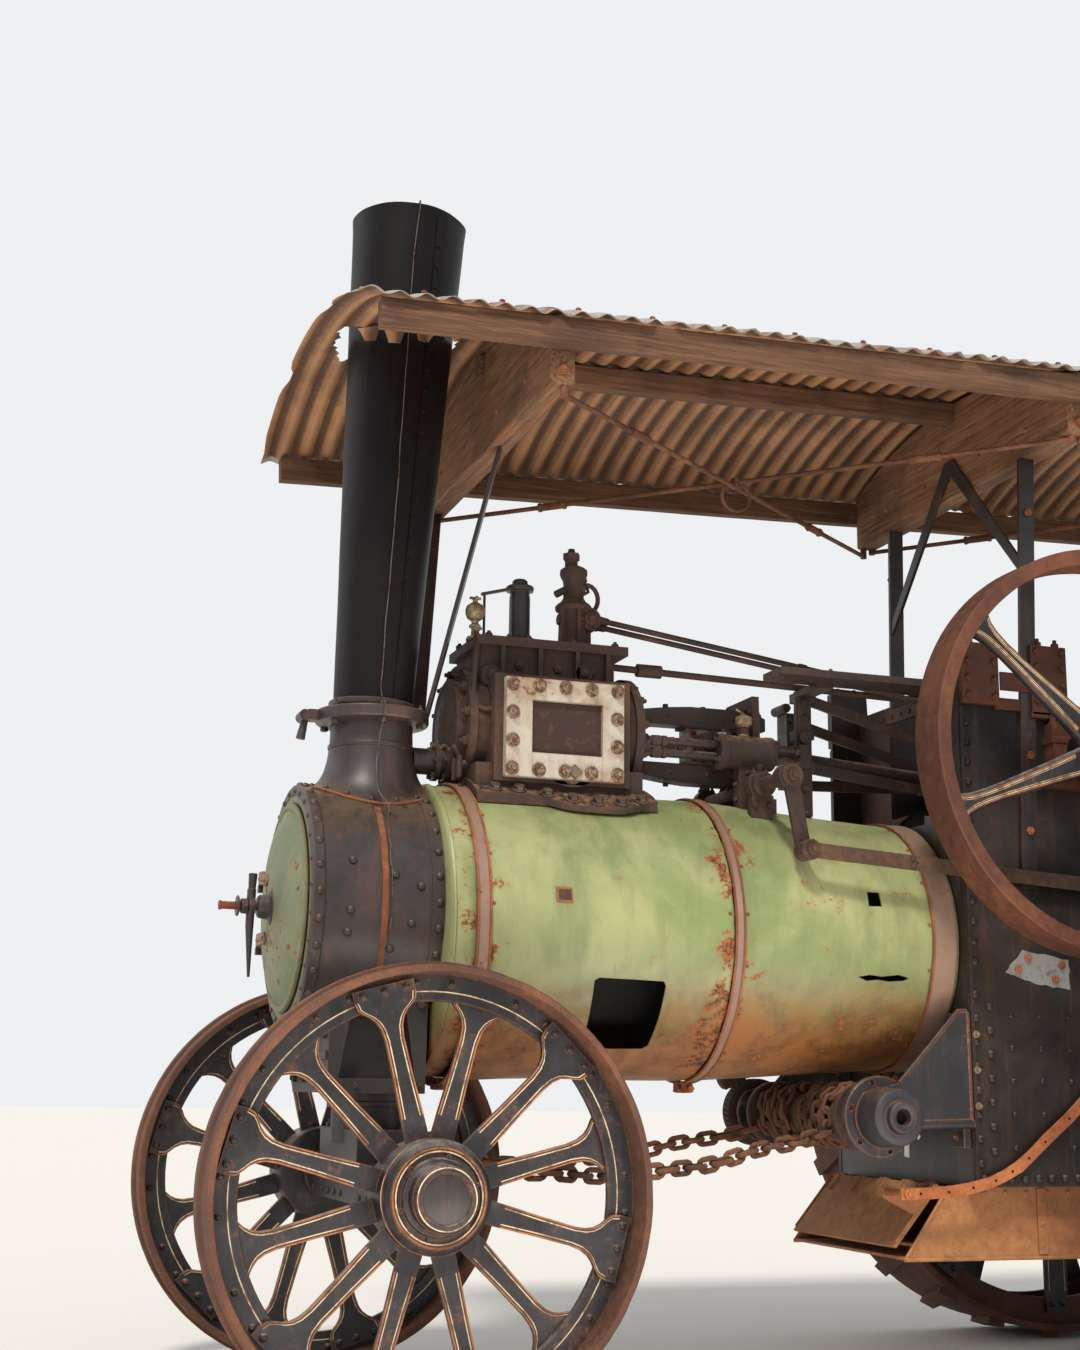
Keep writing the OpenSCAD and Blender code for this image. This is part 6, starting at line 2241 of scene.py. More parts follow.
@dataclass
class Flywheel:
    """The flywheel: rusty rim and six lined spokes that flare into it."""

    x: float = CRANK[0]
    z: float = CRANK[1]
    radius: float = 0.633
    outer: float = 0.680
    width: float = 0.140
    spokes: int = 6
    phase: float = 20.6

    def build(self, palette: Palette) -> None:
        """Builds the rim, the spokes with their lines and the hub.

        Args:
            palette: the finishes.
        """
        turn = aim(at(self.x, self.outer - self.width / 2, self.z), (0, 1, 0))
        r = self.radius
        half = self.width / 2
        shape = Shape()

        def pits(radius: float, height: float, a: float) -> float:
            """Returns the wear of the rim."""
            return 0.0008 * wobble(math.cos(a) * 4, math.sin(a) * 4, height * 30, 3)

        shape.lathe([(r - 0.045, -half + 0.006), (r - 0.004, -half), (r, -half + 0.004),
                     (r, half - 0.004), (r - 0.004, half), (r - 0.045, half - 0.006),
                     (r - 0.048, half - 0.010), (r - 0.040, half - 0.030), (r - 0.030, 0.012),
                     (r - 0.028, 0.0), (r - 0.030, -0.012), (r - 0.040, -half + 0.030),
                     (r - 0.048, -half + 0.010)], turn, 144, loop=True, bend=pits)
        shape.lathe([(0.0485, -half - 0.010), (0.090, -half - 0.010), (0.098, -half - 0.004),
                     (0.102, -half + 0.03), (0.106, 0.0), (0.102, half - 0.03), (0.098, half + 0.004),
                     (0.090, half + 0.010), (0.0485, half + 0.010)], turn, 56, mark=1, loop=True)
        start = turn.inverted().to_3x3() @ Vector((1, 0, 0))
        bearing = math.atan2(start.y, start.x)
        for i in range(self.spokes):
            self.spoke(shape, turn @ Matrix.Rotation(bearing + self.lead(i), 4, "Z"))
        for r0, r1, mark in ((0.074, 0.079, 2), (0.0845, 0.0885, 3)):
            shape.lathe([(r0, half + 0.0095), (r1, half + 0.0095), (r1, half + 0.0110), (r0, half + 0.0110)],
                        turn, 48, mark=mark, loop=True)
        shape.block((-0.011, 0.049, half + 0.005), (0.011, 0.066, half + 0.026), turn=turn)
        shape.make("flywheel_detail", Body.ENGINE, Slot.IRON,
                   [palette.rim, palette.panel, palette.cream, palette.orange], bevel=0.0010,
                   replaces=["flywheel"])

    def lead(self, number: int) -> float:
        """Returns the angle of a spoke from straight ahead, about the wheel's outward axis."""
        return math.radians(self.phase) + TAU * number / self.spokes

    def spoke(self, shape: Shape, turn: Matrix) -> None:
        """Adds one spoke with painted lines.

        Args:
            shape: the shape that takes it.
            turn: axes with X along the spoke and Z out of the wheel.
        """
        stations = [(0.088, 0.046, 0.024), (0.13, 0.043, 0.021), (0.20, 0.038, 0.019), (0.30, 0.033, 0.017),
                    (0.40, 0.028, 0.016), (0.47, 0.027, 0.016), (0.52, 0.030, 0.018), (0.55, 0.036, 0.021),
                    (0.572, 0.046, 0.026), (0.588, 0.062, 0.034), (0.600, 0.082, 0.046)]
        rings = []
        for x, w, t in stations:
            rings.append([(x, w, -t * 0.35), (x, w - 0.004, -t * 0.75), (x, w - 0.012, -t),
                          (x, -w + 0.012, -t), (x, -w + 0.004, -t * 0.75), (x, -w, -t * 0.35),
                          (x, -w, t * 0.35), (x, -w + 0.004, t * 0.75), (x, -w + 0.012, t),
                          (x, w - 0.012, t), (x, w - 0.004, t * 0.75), (x, w, t * 0.35)])
        shape.loft(rings, mark=1, turn=turn)
        lines = ((0.0145, 0.0028, 2, 0.0012), (0.0205, 0.0016, 2, 0.0012), (0.0095, 0.0036, 3, 0.0006))
        for face, s, (inset, wide, mark, high) in itertools.product((1, -1), (1, -1), lines):
            rows = []
            for x, w, t in stations[1:-2]:
                y0 = s * (w - inset)
                y1 = s * (w - inset - wide)
                z0 = face * (t - 0.0022)
                z1 = face * (t + high)
                rows.append([(x, y0, z0), (x, y1, z0), (x, y1, z1), (x, y0, z1)])
            shape.loft(rows, mark=mark, turn=turn)


def upright(y: float) -> Matrix:
    """Returns axes for a plate seen from the side: X forward, Y up and Z towards the left."""
    return Matrix(((1, 0, 0, AXLE), (0, 0, 1, y), (0, 1, 0, 0), (0, 0, 0, 1)))


def between(start: Point, end: Point, count: int) -> list[Vector]:
    """Returns evenly spaced points from one place to another, both included.

    Args:
        start, end: the two places.
        count: number of points.

    Returns:
        The points.
    """
    first = Vector(start)
    way = Vector(end) - first
    return [first + way * (k / (count - 1)) for k in range(count)]


@dataclass
class Motion:
    """The seized motion: slide bars, guide, rods, shafts and their nuts, keys and oil cups."""

    axis: float = 1.932
    shaft: tuple[float, float] = (-1.162, 1.785)
    guide: tuple[float, float] = (0.120, 1.902)
    crank: tuple[float, float] = CRANK

    def bars(self, palette: Palette) -> None:
        """Builds the fish-bellied slide bars with worn faces, end bolts and distance pieces.

        Args:
            palette: the finishes.
        """
        shape = Shape()
        edge = [(-0.786, 0.062), (-0.786, 0.098), (-0.84, 0.106), (-0.92, 0.117), (-1.0, 0.124),
                (-1.2, 0.124), (-1.235, 0.116), (-1.265, 0.102), (-1.265, 0.062)]
        for s in (-1, 1):
            outline = [(x, self.axis + s * z) for x, z in edge]
            shape.plate(outline, 0.068, upright(-0.034))
            low, high = sorted((self.axis + s * 0.0615, self.axis + s * 0.063))
            shape.block(at(-1.235, -0.027, low), at(-0.80, 0.027, high), mark=1)
            for x, z in ((-0.80, 0.1005), (-0.835, 0.1055), (-1.248, 0.1095)):
                spot = at(x, 0.0, self.axis + s * z)
                shape.bolts([spot + Vector((0, y, 0)) for y in (-0.018, 0.018)], (0, 0, s), 0.0105, 0.010,
                            stud=0.006)
            for x in (-0.93, -1.06, -1.15):
                shape.rod(at(x, 0, self.axis + s * 0.121), at(x, 0, self.axis + s * 0.133), 0.009, sides=12)
                shape.rivets([at(x, 0.0335, self.axis + s * 0.093)], (0, 1, 0), 0.008, 0.005)
        shape.make("slide_bars_detail", Body.ENGINE, Slot.IRON, [palette.oily, palette.steel], bevel=0.0025,
                   replaces=["slide_bars"])

    def crosshead(self, palette: Palette) -> None:
        """Builds the crosshead's slippers, cotter, gudgeon nuts and the rods' ends.

        Args:
            palette: the finishes.
        """
        gudgeon_x = -1.050
        pin_x = -2.258
        dress(palette.steel, "crosshead")
        dress(palette.oily, "connecting_rod")
        shape = Shape()
        for s in (-1, 1):
            shape.block(at(-1.112, -0.038, self.axis + s * 0.058 - 0.004),
                        at(-0.978, 0.038, self.axis + s * 0.058 + 0.004))
            spot = at(gudgeon_x, s * 0.062, self.axis)
            shape.rod(spot - Vector((0, s * 0.002, 0)), spot + Vector((0, s * 0.006, 0)), 0.034, 0.031, 28)
            shape.bolts([spot + Vector((0, s * 0.005, 0))], (0, s, 0), 0.026, 0.016, stud=0.012)
            for x in (-1.085, -1.015):
                shape.bolts([at(x, s * 0.0305, self.axis + z) for z in (-0.042, 0.042)], (0, s, 0), 0.009,
                            0.007, stud=0.004)
            for x in (-1.105, -1.165, -1.205):
                shape.bolts([at(x, s * 0.0505, self.axis - 0.001)], (0, s, 0), 0.012, 0.009, stud=0.005)
            pin = at(pin_x, 0, 1.8507)
            for x in (-0.048, 0.048):
                for z in (-0.048, 0.048):
                    spot = pin + Vector((x, s * 0.0405, z))
                    shape.bolts([spot], (0, s, 0), 0.011, 0.009, stud=0.004)
        shape.block(at(-0.982, -0.030, self.axis - 0.020), at(-0.962, 0.030, self.axis + 0.020))
        shape.rod(at(-0.955, 0, self.axis), at(-0.905, 0, self.axis), 0.030, 0.026, 6)
        shape.rod(at(gudgeon_x, 0, self.axis + 0.060), at(gudgeon_x, 0, self.axis + 0.068), 0.012, sides=12)
        for x in (-1.205, -1.228):
            shape.block(at(x - 0.004, -0.056, self.axis - 0.030), at(x + 0.004, 0.056, self.axis + 0.024))
        shape.rod(at(pin_x, 0, 1.915), at(pin_x, 0, 1.945), 0.019, 0.023, 16)
        shape.rod(at(pin_x, 0, 1.943), at(pin_x, 0, 1.950), 0.025, sides=16)
        shape.make("crosshead_fittings", Body.ENGINE, Slot.IRON, [palette.iron], bevel=0.001)

    def bracket(self, palette: Palette) -> None:
        """Builds the guide barrel, its gland nuts and oil cup, and the bracket's bolts and ribs.

        Args:
            palette: the finishes.
        """
        dress(palette.iron, "motion_bracket")
        y, z = self.guide
        shape = Shape()
        turn = aim(at(-1.239, y, z), (1, 0, 0))
        shape.lathe([(0.040, -0.004), (0.052, -0.004), (0.0545, 0.000), (0.0545, 0.018), (0.0525, 0.022),
                     (0.0525, 0.160), (0.0585, 0.164), (0.0585, 0.184), (0.055, 0.190), (0.040, 0.190)],
                    turn, 44, loop=True)
        for x, way in ((-1.054, 1), (-1.239, -1)):
            shape.bolts(ring_of(4, 0.045, at(x, y, z), 0, 0.785), (way, 0, 0), 0.010, 0.010, stud=0.012)
        shape.lathe([(0.0, 0.0), (0.019, 0.0), (0.019, 0.010), (0.015, 0.014), (0.015, 0.034),
                     (0.025, 0.042), (0.027, 0.048), (0.027, 0.064), (0.024, 0.070), (0.012, 0.073),
                     (0.006, 0.080), (0.0, 0.081)], aim(at(-1.148, y, z + 0.046), (0, 0, 1)), 28, mark=1)
        shape.rod(at(-1.148, y, z + 0.126), at(-1.118, y + 0.01, z + 0.136), 0.004, sides=8, mark=1)
        for s in (-1, 1):
            for k in range(6):
                height = 1.68 + 0.072 * k
                wide = 0.135 if height < 1.80 else 0.086
                shape.rivets([at(-1.1875, s * wide, height)], (1, 0, 0), 0.010, 0.007)
                shape.rivets([at(-1.2125, s * wide, height)], (-1, 0, 0), 0.010, 0.007)
            shape.bolts([at(x, s * w, 1.757) for x in (-1.230, -1.156) for w in (0.075, 0.135)],
                        (0, 0, 1), 0.012, 0.011, stud=0.008)
            shape.plate([(-1.186, 1.757), (-1.142, 1.757), (-1.186, 1.90)], 0.010,
                        upright(s * 0.092 - 0.005))
        shape.bolts([at(-1.121, y, 1.700 + 0.05 * k) for k in range(3)], (1, 0, 0), 0.010, 0.008, stud=0.004)
        column = [at(-1.149, y + 0.0225, height) for height in (1.715, 1.775, 1.835)]
        shape.rivets(column, (0, 1, 0), 0.009, 0.006)
        shape.make("motion_bracket_detail", Body.ENGINE, Slot.IRON, [palette.iron, palette.brass],
                   bevel=0.0012)
        plate = Shape()
        for s in (-1, 1):
            plate.rivets([at(-1.8495, s * 0.385, height) for height in (1.74, 1.84, 1.94, 2.04, 2.12)],
                         (1, 0, 0), 0.010, 0.007)
            plate.bar(at(-1.857, s * 0.18, 2.152), at(-1.857, s * 0.408, 2.152), 0.022, 0.012, side="X")
        plate.rivets([at(-1.8495, 0.06 * k, 2.125) for k in range(-5, 6)], (1, 0, 0), 0.009, 0.006)
        plate.make("spectacle_plate_rivets", Body.ENGINE, Slot.IRON, [palette.iron])

    def gear(self, palette: Palette) -> None:
        """Builds the straps, lock nuts, slot plate and rod ends of the valve gear.

        Args:
            palette: the finishes.
        """
        dress(palette.oily, "valve_gear", "crankshaft")
        y, z = self.guide
        shape = Shape()
        for k, off in enumerate((-0.150, -0.110)):
            centre = at(self.crank[0], off, self.crank[1])
            way = Vector((0, -1 if k == 0 else 1, 0))
            axes = aim(centre - way * 0.017, way)
            shape.lathe([(0.100, 0.0), (0.111, 0.0), (0.111, 0.034), (0.100, 0.034)], axes, 56, loop=True)
            for side in (-1, 1):
                lug = centre + Vector((0.006, 0, side * 0.118))
                shape.block(lug - Vector((0.030, 0.013, 0.014)), lug + Vector((0.030, 0.013, 0.014)))
                shape.bolts([lug + Vector((0.030, 0, 0))], (1, 0, 0), 0.011, 0.012, stud=0.010)
                shape.bolts([lug - Vector((0.030, 0, 0))], (-1, 0, 0), 0.011, 0.010, stud=0.004)
            shape.rod(centre + Vector((0, 0, 0.105)), centre + Vector((0, 0, 0.140)), 0.013, 0.018, 16)
        for s in (1, -1):
            start = at(-0.832, y, z + s * 0.019)
            shape.rod(start, start - Vector((0.030, 0, 0)), 0.018, sides=6)
            shape.rod(start - Vector((0.034, 0, 0)), start - Vector((0.050, 0, 0)), 0.018, sides=6)
            shape.rod(at(-1.338, y, z + s * 0.019), at(-1.322, y, z + s * 0.019), 0.020, sides=6)
        turn = upright(0.1035)
        slot = [(-1.395 + 0.055 * share, 1.69 + 0.42 * rise)
                for share, rise in ((0.1, 0.02), (0.9, 0.02), (0.9, 0.98), (0.1, 0.98))]
        shape.plate(slot, 0.004, turn)
        shape.bolts([at(-1.3675, 0.1075, height) for height in (1.72, 1.80, 2.03, 2.085)], (0, 1, 0),
                    0.012, 0.010, stud=0.006)
        shape.rod(at(-1.367, 0.104, 1.966), at(-1.367, 0.122, 1.966), 0.023, 0.021, 20)
        for x, height in ((-1.400, 2.105), (-1.400, 1.880), (-1.425, 1.960), (-1.425, 2.070),
                          (-1.425, 1.860)):
            shape.rod(at(x, -0.172, height), at(x, -0.088, height), 0.016, sides=16)
            shape.bolts([at(x, -0.088, height)], (0, 1, 0), 0.016, 0.010, stud=0.005)
        for x0, z0, x1, z1 in ((-1.400, 2.105, -1.840, 1.990), (-1.400, 1.880, -1.830, 1.830)):
            for share in (0.03, 0.97):
                spot = at(x0 + (x1 - x0) * share, 0.067, z0 + (z1 - z0) * share)
                shape.rod(spot, spot + Vector((0, 0.006, 0)), 0.021, sides=20)
                shape.bolts([spot + Vector((0, 0.006, 0))], (0, 1, 0), 0.014, 0.010, stud=0.006)
        shape.make("valve_gear_detail", Body.ENGINE, Slot.IRON, [palette.oily], bevel=0.001)
        board = Shape()
        rows = []
        for k in range(18):
            x = -1.846 + 0.662 * k / 17
            sag = 0.004 * wobble(x * 5, 1, 4)
            ends = 0.0015 * wobble(x * 9, 2, 8)
            rows.append([at(x, 0.202 + ends, 2.1215 + sag), at(x, 0.328 - ends, 2.1215 + sag),
                         at(x, 0.328 - ends, 2.1415 + sag), at(x, 0.202 + ends, 2.1415 + sag)])
        board.loft(rows)
        board.bolts([at(x, w, 2.1405) for x in (-1.366, -1.80) for w in (0.225, 0.300)], (0, 0, 1), 0.012,
                    0.008, mark=1, stud=0.006)
        board.make("tool_board", Body.ENGINE, Slot.WOOD, [palette.beam_x, palette.rust], bevel=0.0012)

    def reverser(self, palette: Palette) -> None:
        """Builds the collars, pins and nuts of the reversing shaft and its long link.

        Args:
            palette: the finishes.
        """
        link_x = -1.205
        link_z = 1.560
        dress(palette.iron, "reversing_shaft", "reversing_link")
        x, z = self.shaft
        shape = Shape()
        for y0, y1, r in ((0.222, 0.244, 0.038), (-0.244, -0.222, 0.038), (0.424, 0.434, 0.033),
                          (-0.338, -0.328, 0.028), (0.360, 0.379, 0.034)):
            shape.rod(at(x, y0, z), at(x, y1, z), r, sides=28)
        for s in (-1, 1):
            shape.rod(at(x, s * 0.188, z), at(x, s * 0.222, z), 0.044, sides=28)
            shape.bolts([at(x + k, s * 0.2205, 1.722) for k in (-0.026, 0.026)], (0, s, 0), 0.011, 0.009,
                        stud=0.005)
            shape.bolts([at(x + k, s * 0.205, 1.822) for k in (-0.020, 0.020)], (0, 0, 1), 0.010, 0.010,
                        stud=0.008)
            shape.rod(at(x, s * 0.205, 1.826), at(x, s * 0.205, 1.850), 0.010, 0.014, 12)
        shape.bolts([at(x, 0.433, z)], (0, 1, 0), 0.019, 0.014, stud=0.008)
        for px, pz in ((link_x, link_z), (-2.330, 1.488)):
            shape.rod(at(px, 0.445, pz), at(px, 0.466, pz), 0.031, sides=28)
            shape.bolts([at(px, 0.465, pz)], (0, 1, 0), 0.019, 0.014, stud=0.010)
        shape.rod(at(link_x, 0.438, link_z), at(link_x, 0.402, link_z), 0.030, sides=24)
        for share in (0.30, 0.315):
            spot = at(link_x - 1.125 * share, 0.4615, link_z - 0.072 * share)
            shape.bolts([spot + Vector((0, 0, k)) for k in (-0.010, 0.010)], (0, 1, 0), 0.007, 0.006)
        shape.make("reversing_fittings", Body.ENGINE, Slot.IRON, [palette.iron], bevel=0.001)

    def build(self, palette: Palette) -> None:
        """Builds the whole motion.

        Args:
            palette: the finishes.
        """
        self.bars(palette)
        self.crosshead(palette)
        self.bracket(palette)
        self.gear(palette)
        self.reverser(palette)


@dataclass
class HornWorks:
    """Bearing housings, hornplates and firebox with their rivets, stays, bolts and torn patch."""

    face: float = 0.426
    crank: tuple[float, float] = CRANK
    gears: tuple[tuple[float, float, float], ...] = ((-2.400, 1.580, 0.270), (-2.560, 1.300, 0.218))

    def bearings(self, palette: Palette) -> None:
        """Builds the crank bearings with capped brasses, square-headed bolts, nuts and oil boxes.

        Args:
            palette: the finishes.
        """
        x, z = self.crank
        shape = Shape()
        for s in (-1, 1):
            inner, outer = self.face - 0.002, 0.482
            for low, high, half, out in ((1.798, 1.838, 0.112, outer + 0.004),
                                         (1.838, 1.938, 0.104, outer),
                                         (1.938, 1.958, 0.110, outer + 0.003),
                                         (1.958, 2.001, 0.104, outer - 0.004),
                                         (2.001, 2.022, 0.084, outer - 0.004),
                                         (2.022, 2.041, 0.066, outer - 0.010)):
                y0, y1 = sorted((s * inner, s * out))
                shape.block(at(x - half, y0, low), at(x + half, y1, high))
            for k in (-0.082, 0.082):
                spot = at(x + k, s * 0.456, 2.001)
                shape.rod(spot, spot + Vector((0, 0, 0.005)), 0.021, sides=20)
                shape.bolts([spot + Vector((0, 0, 0.005))], (0, 0, 1), 0.0165, 0.016, stud=0.018)
                shape.bolts([spot + Vector((0, 0, 0.021))], (0, 0, 1), 0.0160, 0.010)
                shape.bolts([at(x + k, s * (outer + 0.004), 1.818)], (0, s, 0), 0.013, 0.010, square=True)
            ring = aim(at(x, s * (outer - 0.001), z), (0, s, 0))
            shape.lathe([(0.050, 0.0), (0.074, 0.0), (0.074, 0.010), (0.070, 0.014), (0.050, 0.014)],
                        ring, 44, loop=True)
            shape.lathe([(0.0, 0.0), (0.022, 0.0), (0.022, 0.014), (0.014, 0.020), (0.0, 0.021)],
                        aim(at(x, s * 0.452, 2.040), (0, 0, 1)), 20)
        shape.make("crank_bearings_detail", Body.ENGINE, Slot.IRON, [palette.rim], bevel=0.003,
                   replaces=["crank_bearings"])
        boxes = Shape()
        for s in (-1, 1):
            y0, y1 = sorted((s * (self.face - 0.001), s * 0.452))
            boxes.block(at(-2.126, y0, 2.030), at(-1.995, y1, 2.256))
            boxes.block(at(-2.130, y0, 2.020), at(-1.991, y1, 2.040))
            boxes.block(at(-1.876, y0, 2.050), at(-1.744, y1, 2.246))
            boxes.block(at(-2.0, y0, 2.040), at(-1.87, s * 0.438 if s > 0 else y1, 2.075))
            for x0 in (-2.108, -2.014, -1.858, -1.764):
                for height in (2.075, 2.130, 2.185, 2.235):
                    boxes.bolts([at(x0, s * 0.452, height)], (0, s, 0), 0.0125, 0.010, square=True)
            for x0 in (-2.095, -2.03, -1.845, -1.78):
                top = 2.256 if x0 < -1.95 else 2.246
                boxes.bolts([at(x0, s * 0.438, top)], (0, 0, 1), 0.014, 0.013, stud=0.012)
            boxes.plate([(-1.994, 2.10), (-1.884, 2.10), (-1.884, 2.16), (-1.994, 2.16)], 0.006,
                        upright(s * 0.443 - 0.003))
        boxes.make("bearing_housings", Body.ENGINE, Slot.IRON, [palette.rim], bevel=0.003)

    def plates(self, palette: Palette) -> None:
        """Builds rivets, stays and edge strips of the hornplates, and the torn bare patch.

        Args:
            palette: the finishes.
        """
        dress(palette.horn, "hornplate_left", "hornplate_right")
        shape = Shape()
        for s in (-1, 1):
            y = s * (self.face - 0.001)
            spots = []
            for k in range(15):
                spots.append(at(-1.762 - (0.048 if k % 2 else 0.0), y, 0.655 + 0.0355 * k))
            spots += between(at(-1.772, y, 0.612), at(-2.42, y, 0.612), 15)
            spots += between(at(-2.500, y, 0.625), at(-2.66, y, 0.625), 4)
            spots += between(at(-1.765, y, 1.25), at(-1.765, y, 1.99), 13)
            if s > 0:
                spots += between(at(-2.42, y, 0.70), at(-2.42, y, 1.60), 18)
            shape.rivets(spots, (0, s, 0), 0.0135, 0.0125, sides=10)
            stays = []
            for i in range(5):
                for j in range(7):
                    x = -1.885 - 0.102 * i
                    z = 0.700 + 0.098 * j
                    inside = s > 0 and -2.11 < x < -1.86 and 1.16 < z < 1.30
                    near = min(math.hypot(x - a, z - b) - r for a, b, r in self.gears)
                    if not inside and (s > 0 or near > 0.03):
                        stays.append(at(x, y, z))
            shape.rivets(stays, (0, s, 0), 0.0095, 0.0075, sides=8)
            low, high = sorted((s * (self.face - 0.001), s * (self.face + 0.010)))
            shape.block(at(-1.752, low, 0.60), at(-1.742, high, 2.04))
        shape.make("hornplate_rivets", Body.ENGINE, Slot.BLACK, [palette.horn])
        patch = Shape()
        corners = [(-1.870, 1.223), (-1.934, 1.292), (-2.097, 1.267), (-2.099, 1.175), (-1.975, 1.190)]
        outline = []
        for i, (x0, z0) in enumerate(corners):
            x1, z1 = corners[(i + 1) % len(corners)]
            for j in range(6):
                share = j / 6
                bite = 0.006 * wobble(i + share * 2, 4, 2, 2.6) if j else 0.0
                outline.append((x0 + (x1 - x0) * share + bite, z0 + (z1 - z0) * share + bite))
        patch.plate(outline, 0.0045, upright(self.face - 0.001))
        patch.bolts([at(x, self.face + 0.003, z)
                     for x, z in ((-1.915, 1.232), (-1.950, 1.268), (-2.070, 1.250), (-2.045, 1.205))],
                    (0, 1, 0), 0.013, 0.009, mark=1, stud=0.004)
        patch.make("torn_bare_patch", Body.ENGINE, Slot.IRON, [palette.torn, palette.rust], bevel=0.0006)

    def firebox(self, palette: Palette) -> None:
        """Builds the backhead's rivets, fittings and rings, and the firehole door's ironwork.

        Args:
            palette: the finishes.
        """
        half = 0.388
        dress(palette.black, "firebox")
        shape = Shape()
        back = -2.4505
        arc = []
        for k in range(25):
            a = math.radians(-84 + 7 * k)
            if abs(a) > 0.55:
                arc.append(at(back, half * math.sin(a), 1.365 + half * math.cos(a)))
        for s in (-1, 1):
            arc += between(at(back, s * half, 0.64), at(back, s * half, 1.32), 14)
        arc += between(at(back, -0.33, 0.614), at(back, 0.33, 0.614), 12)
        shape.rivets(arc, (-1, 0, 0), 0.0125, 0.010)
        shape.rivets([at(back, y, z) for y in (-0.30, -0.225, 0.225, 0.30)
                      for z in (0.74, 0.86, 0.98, 1.10, 1.22, 1.34)], (-1, 0, 0), 0.009, 0.007)
        shape.bolts([at(back - 0.009, y, z) for y in (-0.148, 0.148) for z in (1.13, 1.19, 1.25)],
                    (-1, 0, 0), 0.010, 0.009, stud=0.004)
        for y, z in ((-0.30, 1.50), (0.10, 1.60), (-0.10, 1.62)):
            shape.rod(at(back + 0.003, y, z), at(back - 0.060, y, z), 0.018, 0.014, 16, mark=1)
            shape.rod(at(back - 0.048, y, z - 0.03), at(back - 0.048, y, z + 0.03), 0.012, sides=14, mark=1)
            shape.rod(at(back - 0.048, y - 0.03, z + 0.03), at(back - 0.048, y + 0.03, z + 0.03), 0.005,
                      sides=8, mark=1)
        shape.rod(at(back - 0.03, 0.25, 1.44), at(back - 0.03, 0.25, 1.60), 0.011, sides=14, mark=1)
        for z in (1.44, 1.60):
            shape.rod(at(back + 0.003, 0.25, z), at(back - 0.055, 0.25, z), 0.016, 0.014, 14, mark=1)
        for k in range(4):
            shape.lathe([(0.0, 0.0), (0.020, 0.0), (0.017, 0.012), (0.0, 0.014)],
                        aim(at(back + 0.002, -0.33 + 0.22 * k, 0.675), (-1, 0, 0)), 16, mark=1)
        shape.make("backhead_detail", Body.ENGINE, Slot.BLACK, [palette.black, palette.brass], bevel=0.001)
        dress(palette.iron, "firehole_door")
        door = Shape()
        for z in (1.107, 1.297):
            door.bolts([at(-2.484, y, z) for y in (-0.10, -0.02, 0.06, 0.13)], (-1, 0, 0), 0.010, 0.007,
                       stud=0.003)
            door.rod(at(-2.4725, 0.172, z - 0.016), at(-2.4725, 0.172, z - 0.022), 0.015, sides=14)
            door.rod(at(-2.4725, 0.172, z + 0.016), at(-2.4725, 0.172, z + 0.022), 0.015, sides=14)
        door.rivets([at(-2.4755, y, z) for y in (-0.125, 0.125) for z in (1.16, 1.21, 1.25)], (-1, 0, 0),
                    0.008, 0.005)
        door.tube([at(-2.515, -0.12, 1.188), at(-2.530, -0.12, 1.16), at(-2.532, -0.12, 1.12),
                   at(-2.520, -0.12, 1.09)], 0.007, 10)
        door.make("firehole_door_fittings", Body.FIREHOLE_DOOR, Slot.IRON, [palette.iron], bevel=0.0008)

    def drive(self, palette: Palette) -> None:
        """Builds hub caps, keys and ribs of the gears and the rear axle boxes.

        Args:
            palette: the finishes.
        """
        dress(palette.oily, "gears")
        dress(palette.iron, "rear_axle")
        shape = Shape()
        for x, z, _ in self.gears:
            y = -0.684 if x < -2.5 else -0.617
            shape.rod(at(x, y + 0.002, z), at(x, y - 0.008, z), 0.052, sides=28)
            shape.bolts([at(x, y - 0.007, z)], (0, -1, 0), 0.026, 0.018, stud=0.008)
        for k in range(6):
            a = k * TAU / 6
            spot = at(REAR_X + 0.082 * math.cos(a), -0.6925, REAR_Z + 0.082 * math.sin(a))
            shape.bolts([spot], (0, -1, 0), 0.010, 0.008, stud=0.004)
        for x, z, r, y in ((-2.400, 1.580, 0.145, -0.549), (REAR_X, REAR_Z, 0.245, -0.679)):
            for k in range(5):
                a = k * TAU / 5 + 0.3
                start = at(x + r * 0.62 * math.cos(a), y, z + r * 0.62 * math.sin(a))
                end = at(x + r * 1.25 * math.cos(a), y, z + r * 1.25 * math.sin(a))
                shape.bar(start, end, 0.010, 0.022)
        for s in (-1, 1):
            for x in (-2.885, -2.715):
                for z in (0.785, 0.955):
                    shape.bolts([at(x, s * 0.532, z)], (0, s, 0), 0.014, 0.012, stud=0.006)
            shape.rod(at(REAR_X, s * 0.480, 0.978), at(REAR_X, s * 0.480, 1.006), 0.016, 0.020, 16)
            turn = aim(at(REAR_X, s * 1.106, REAR_Z), (0, s, 0))
            shape.lathe([(0.0, -0.002), (0.058, -0.002), (0.058, 0.006), (0.050, 0.012), (0.0, 0.013)],
                        turn, 36)
            shape.rod(at(REAR_X, s * 1.098, 0.945), at(REAR_X, s * 1.098, 0.955), 0.006, sides=8)
        shape.make("drive_fittings", Body.ENGINE, Slot.IRON, [palette.oily], bevel=0.001)

    def build(self, palette: Palette) -> None:
        """Builds the whole group.

        Args:
            palette: the finishes.
        """
        self.bearings(palette)
        self.plates(palette)
        self.firebox(palette)
        self.drive(palette)


def steer_at(reach: float) -> Vector:
    """Returns a point of the steering column, at a distance along it from the worm.

    Args:
        reach: the distance along the column.

    Returns:
        The point in the row frame.
    """
    tilt = math.radians(COLUMN_TILT)
    mesh = 0.1423
    return at(-1.440 + mesh * math.sin(tilt) - reach * math.cos(tilt), -0.450,
              0.790 + mesh * math.cos(tilt) + reach * math.sin(tilt))


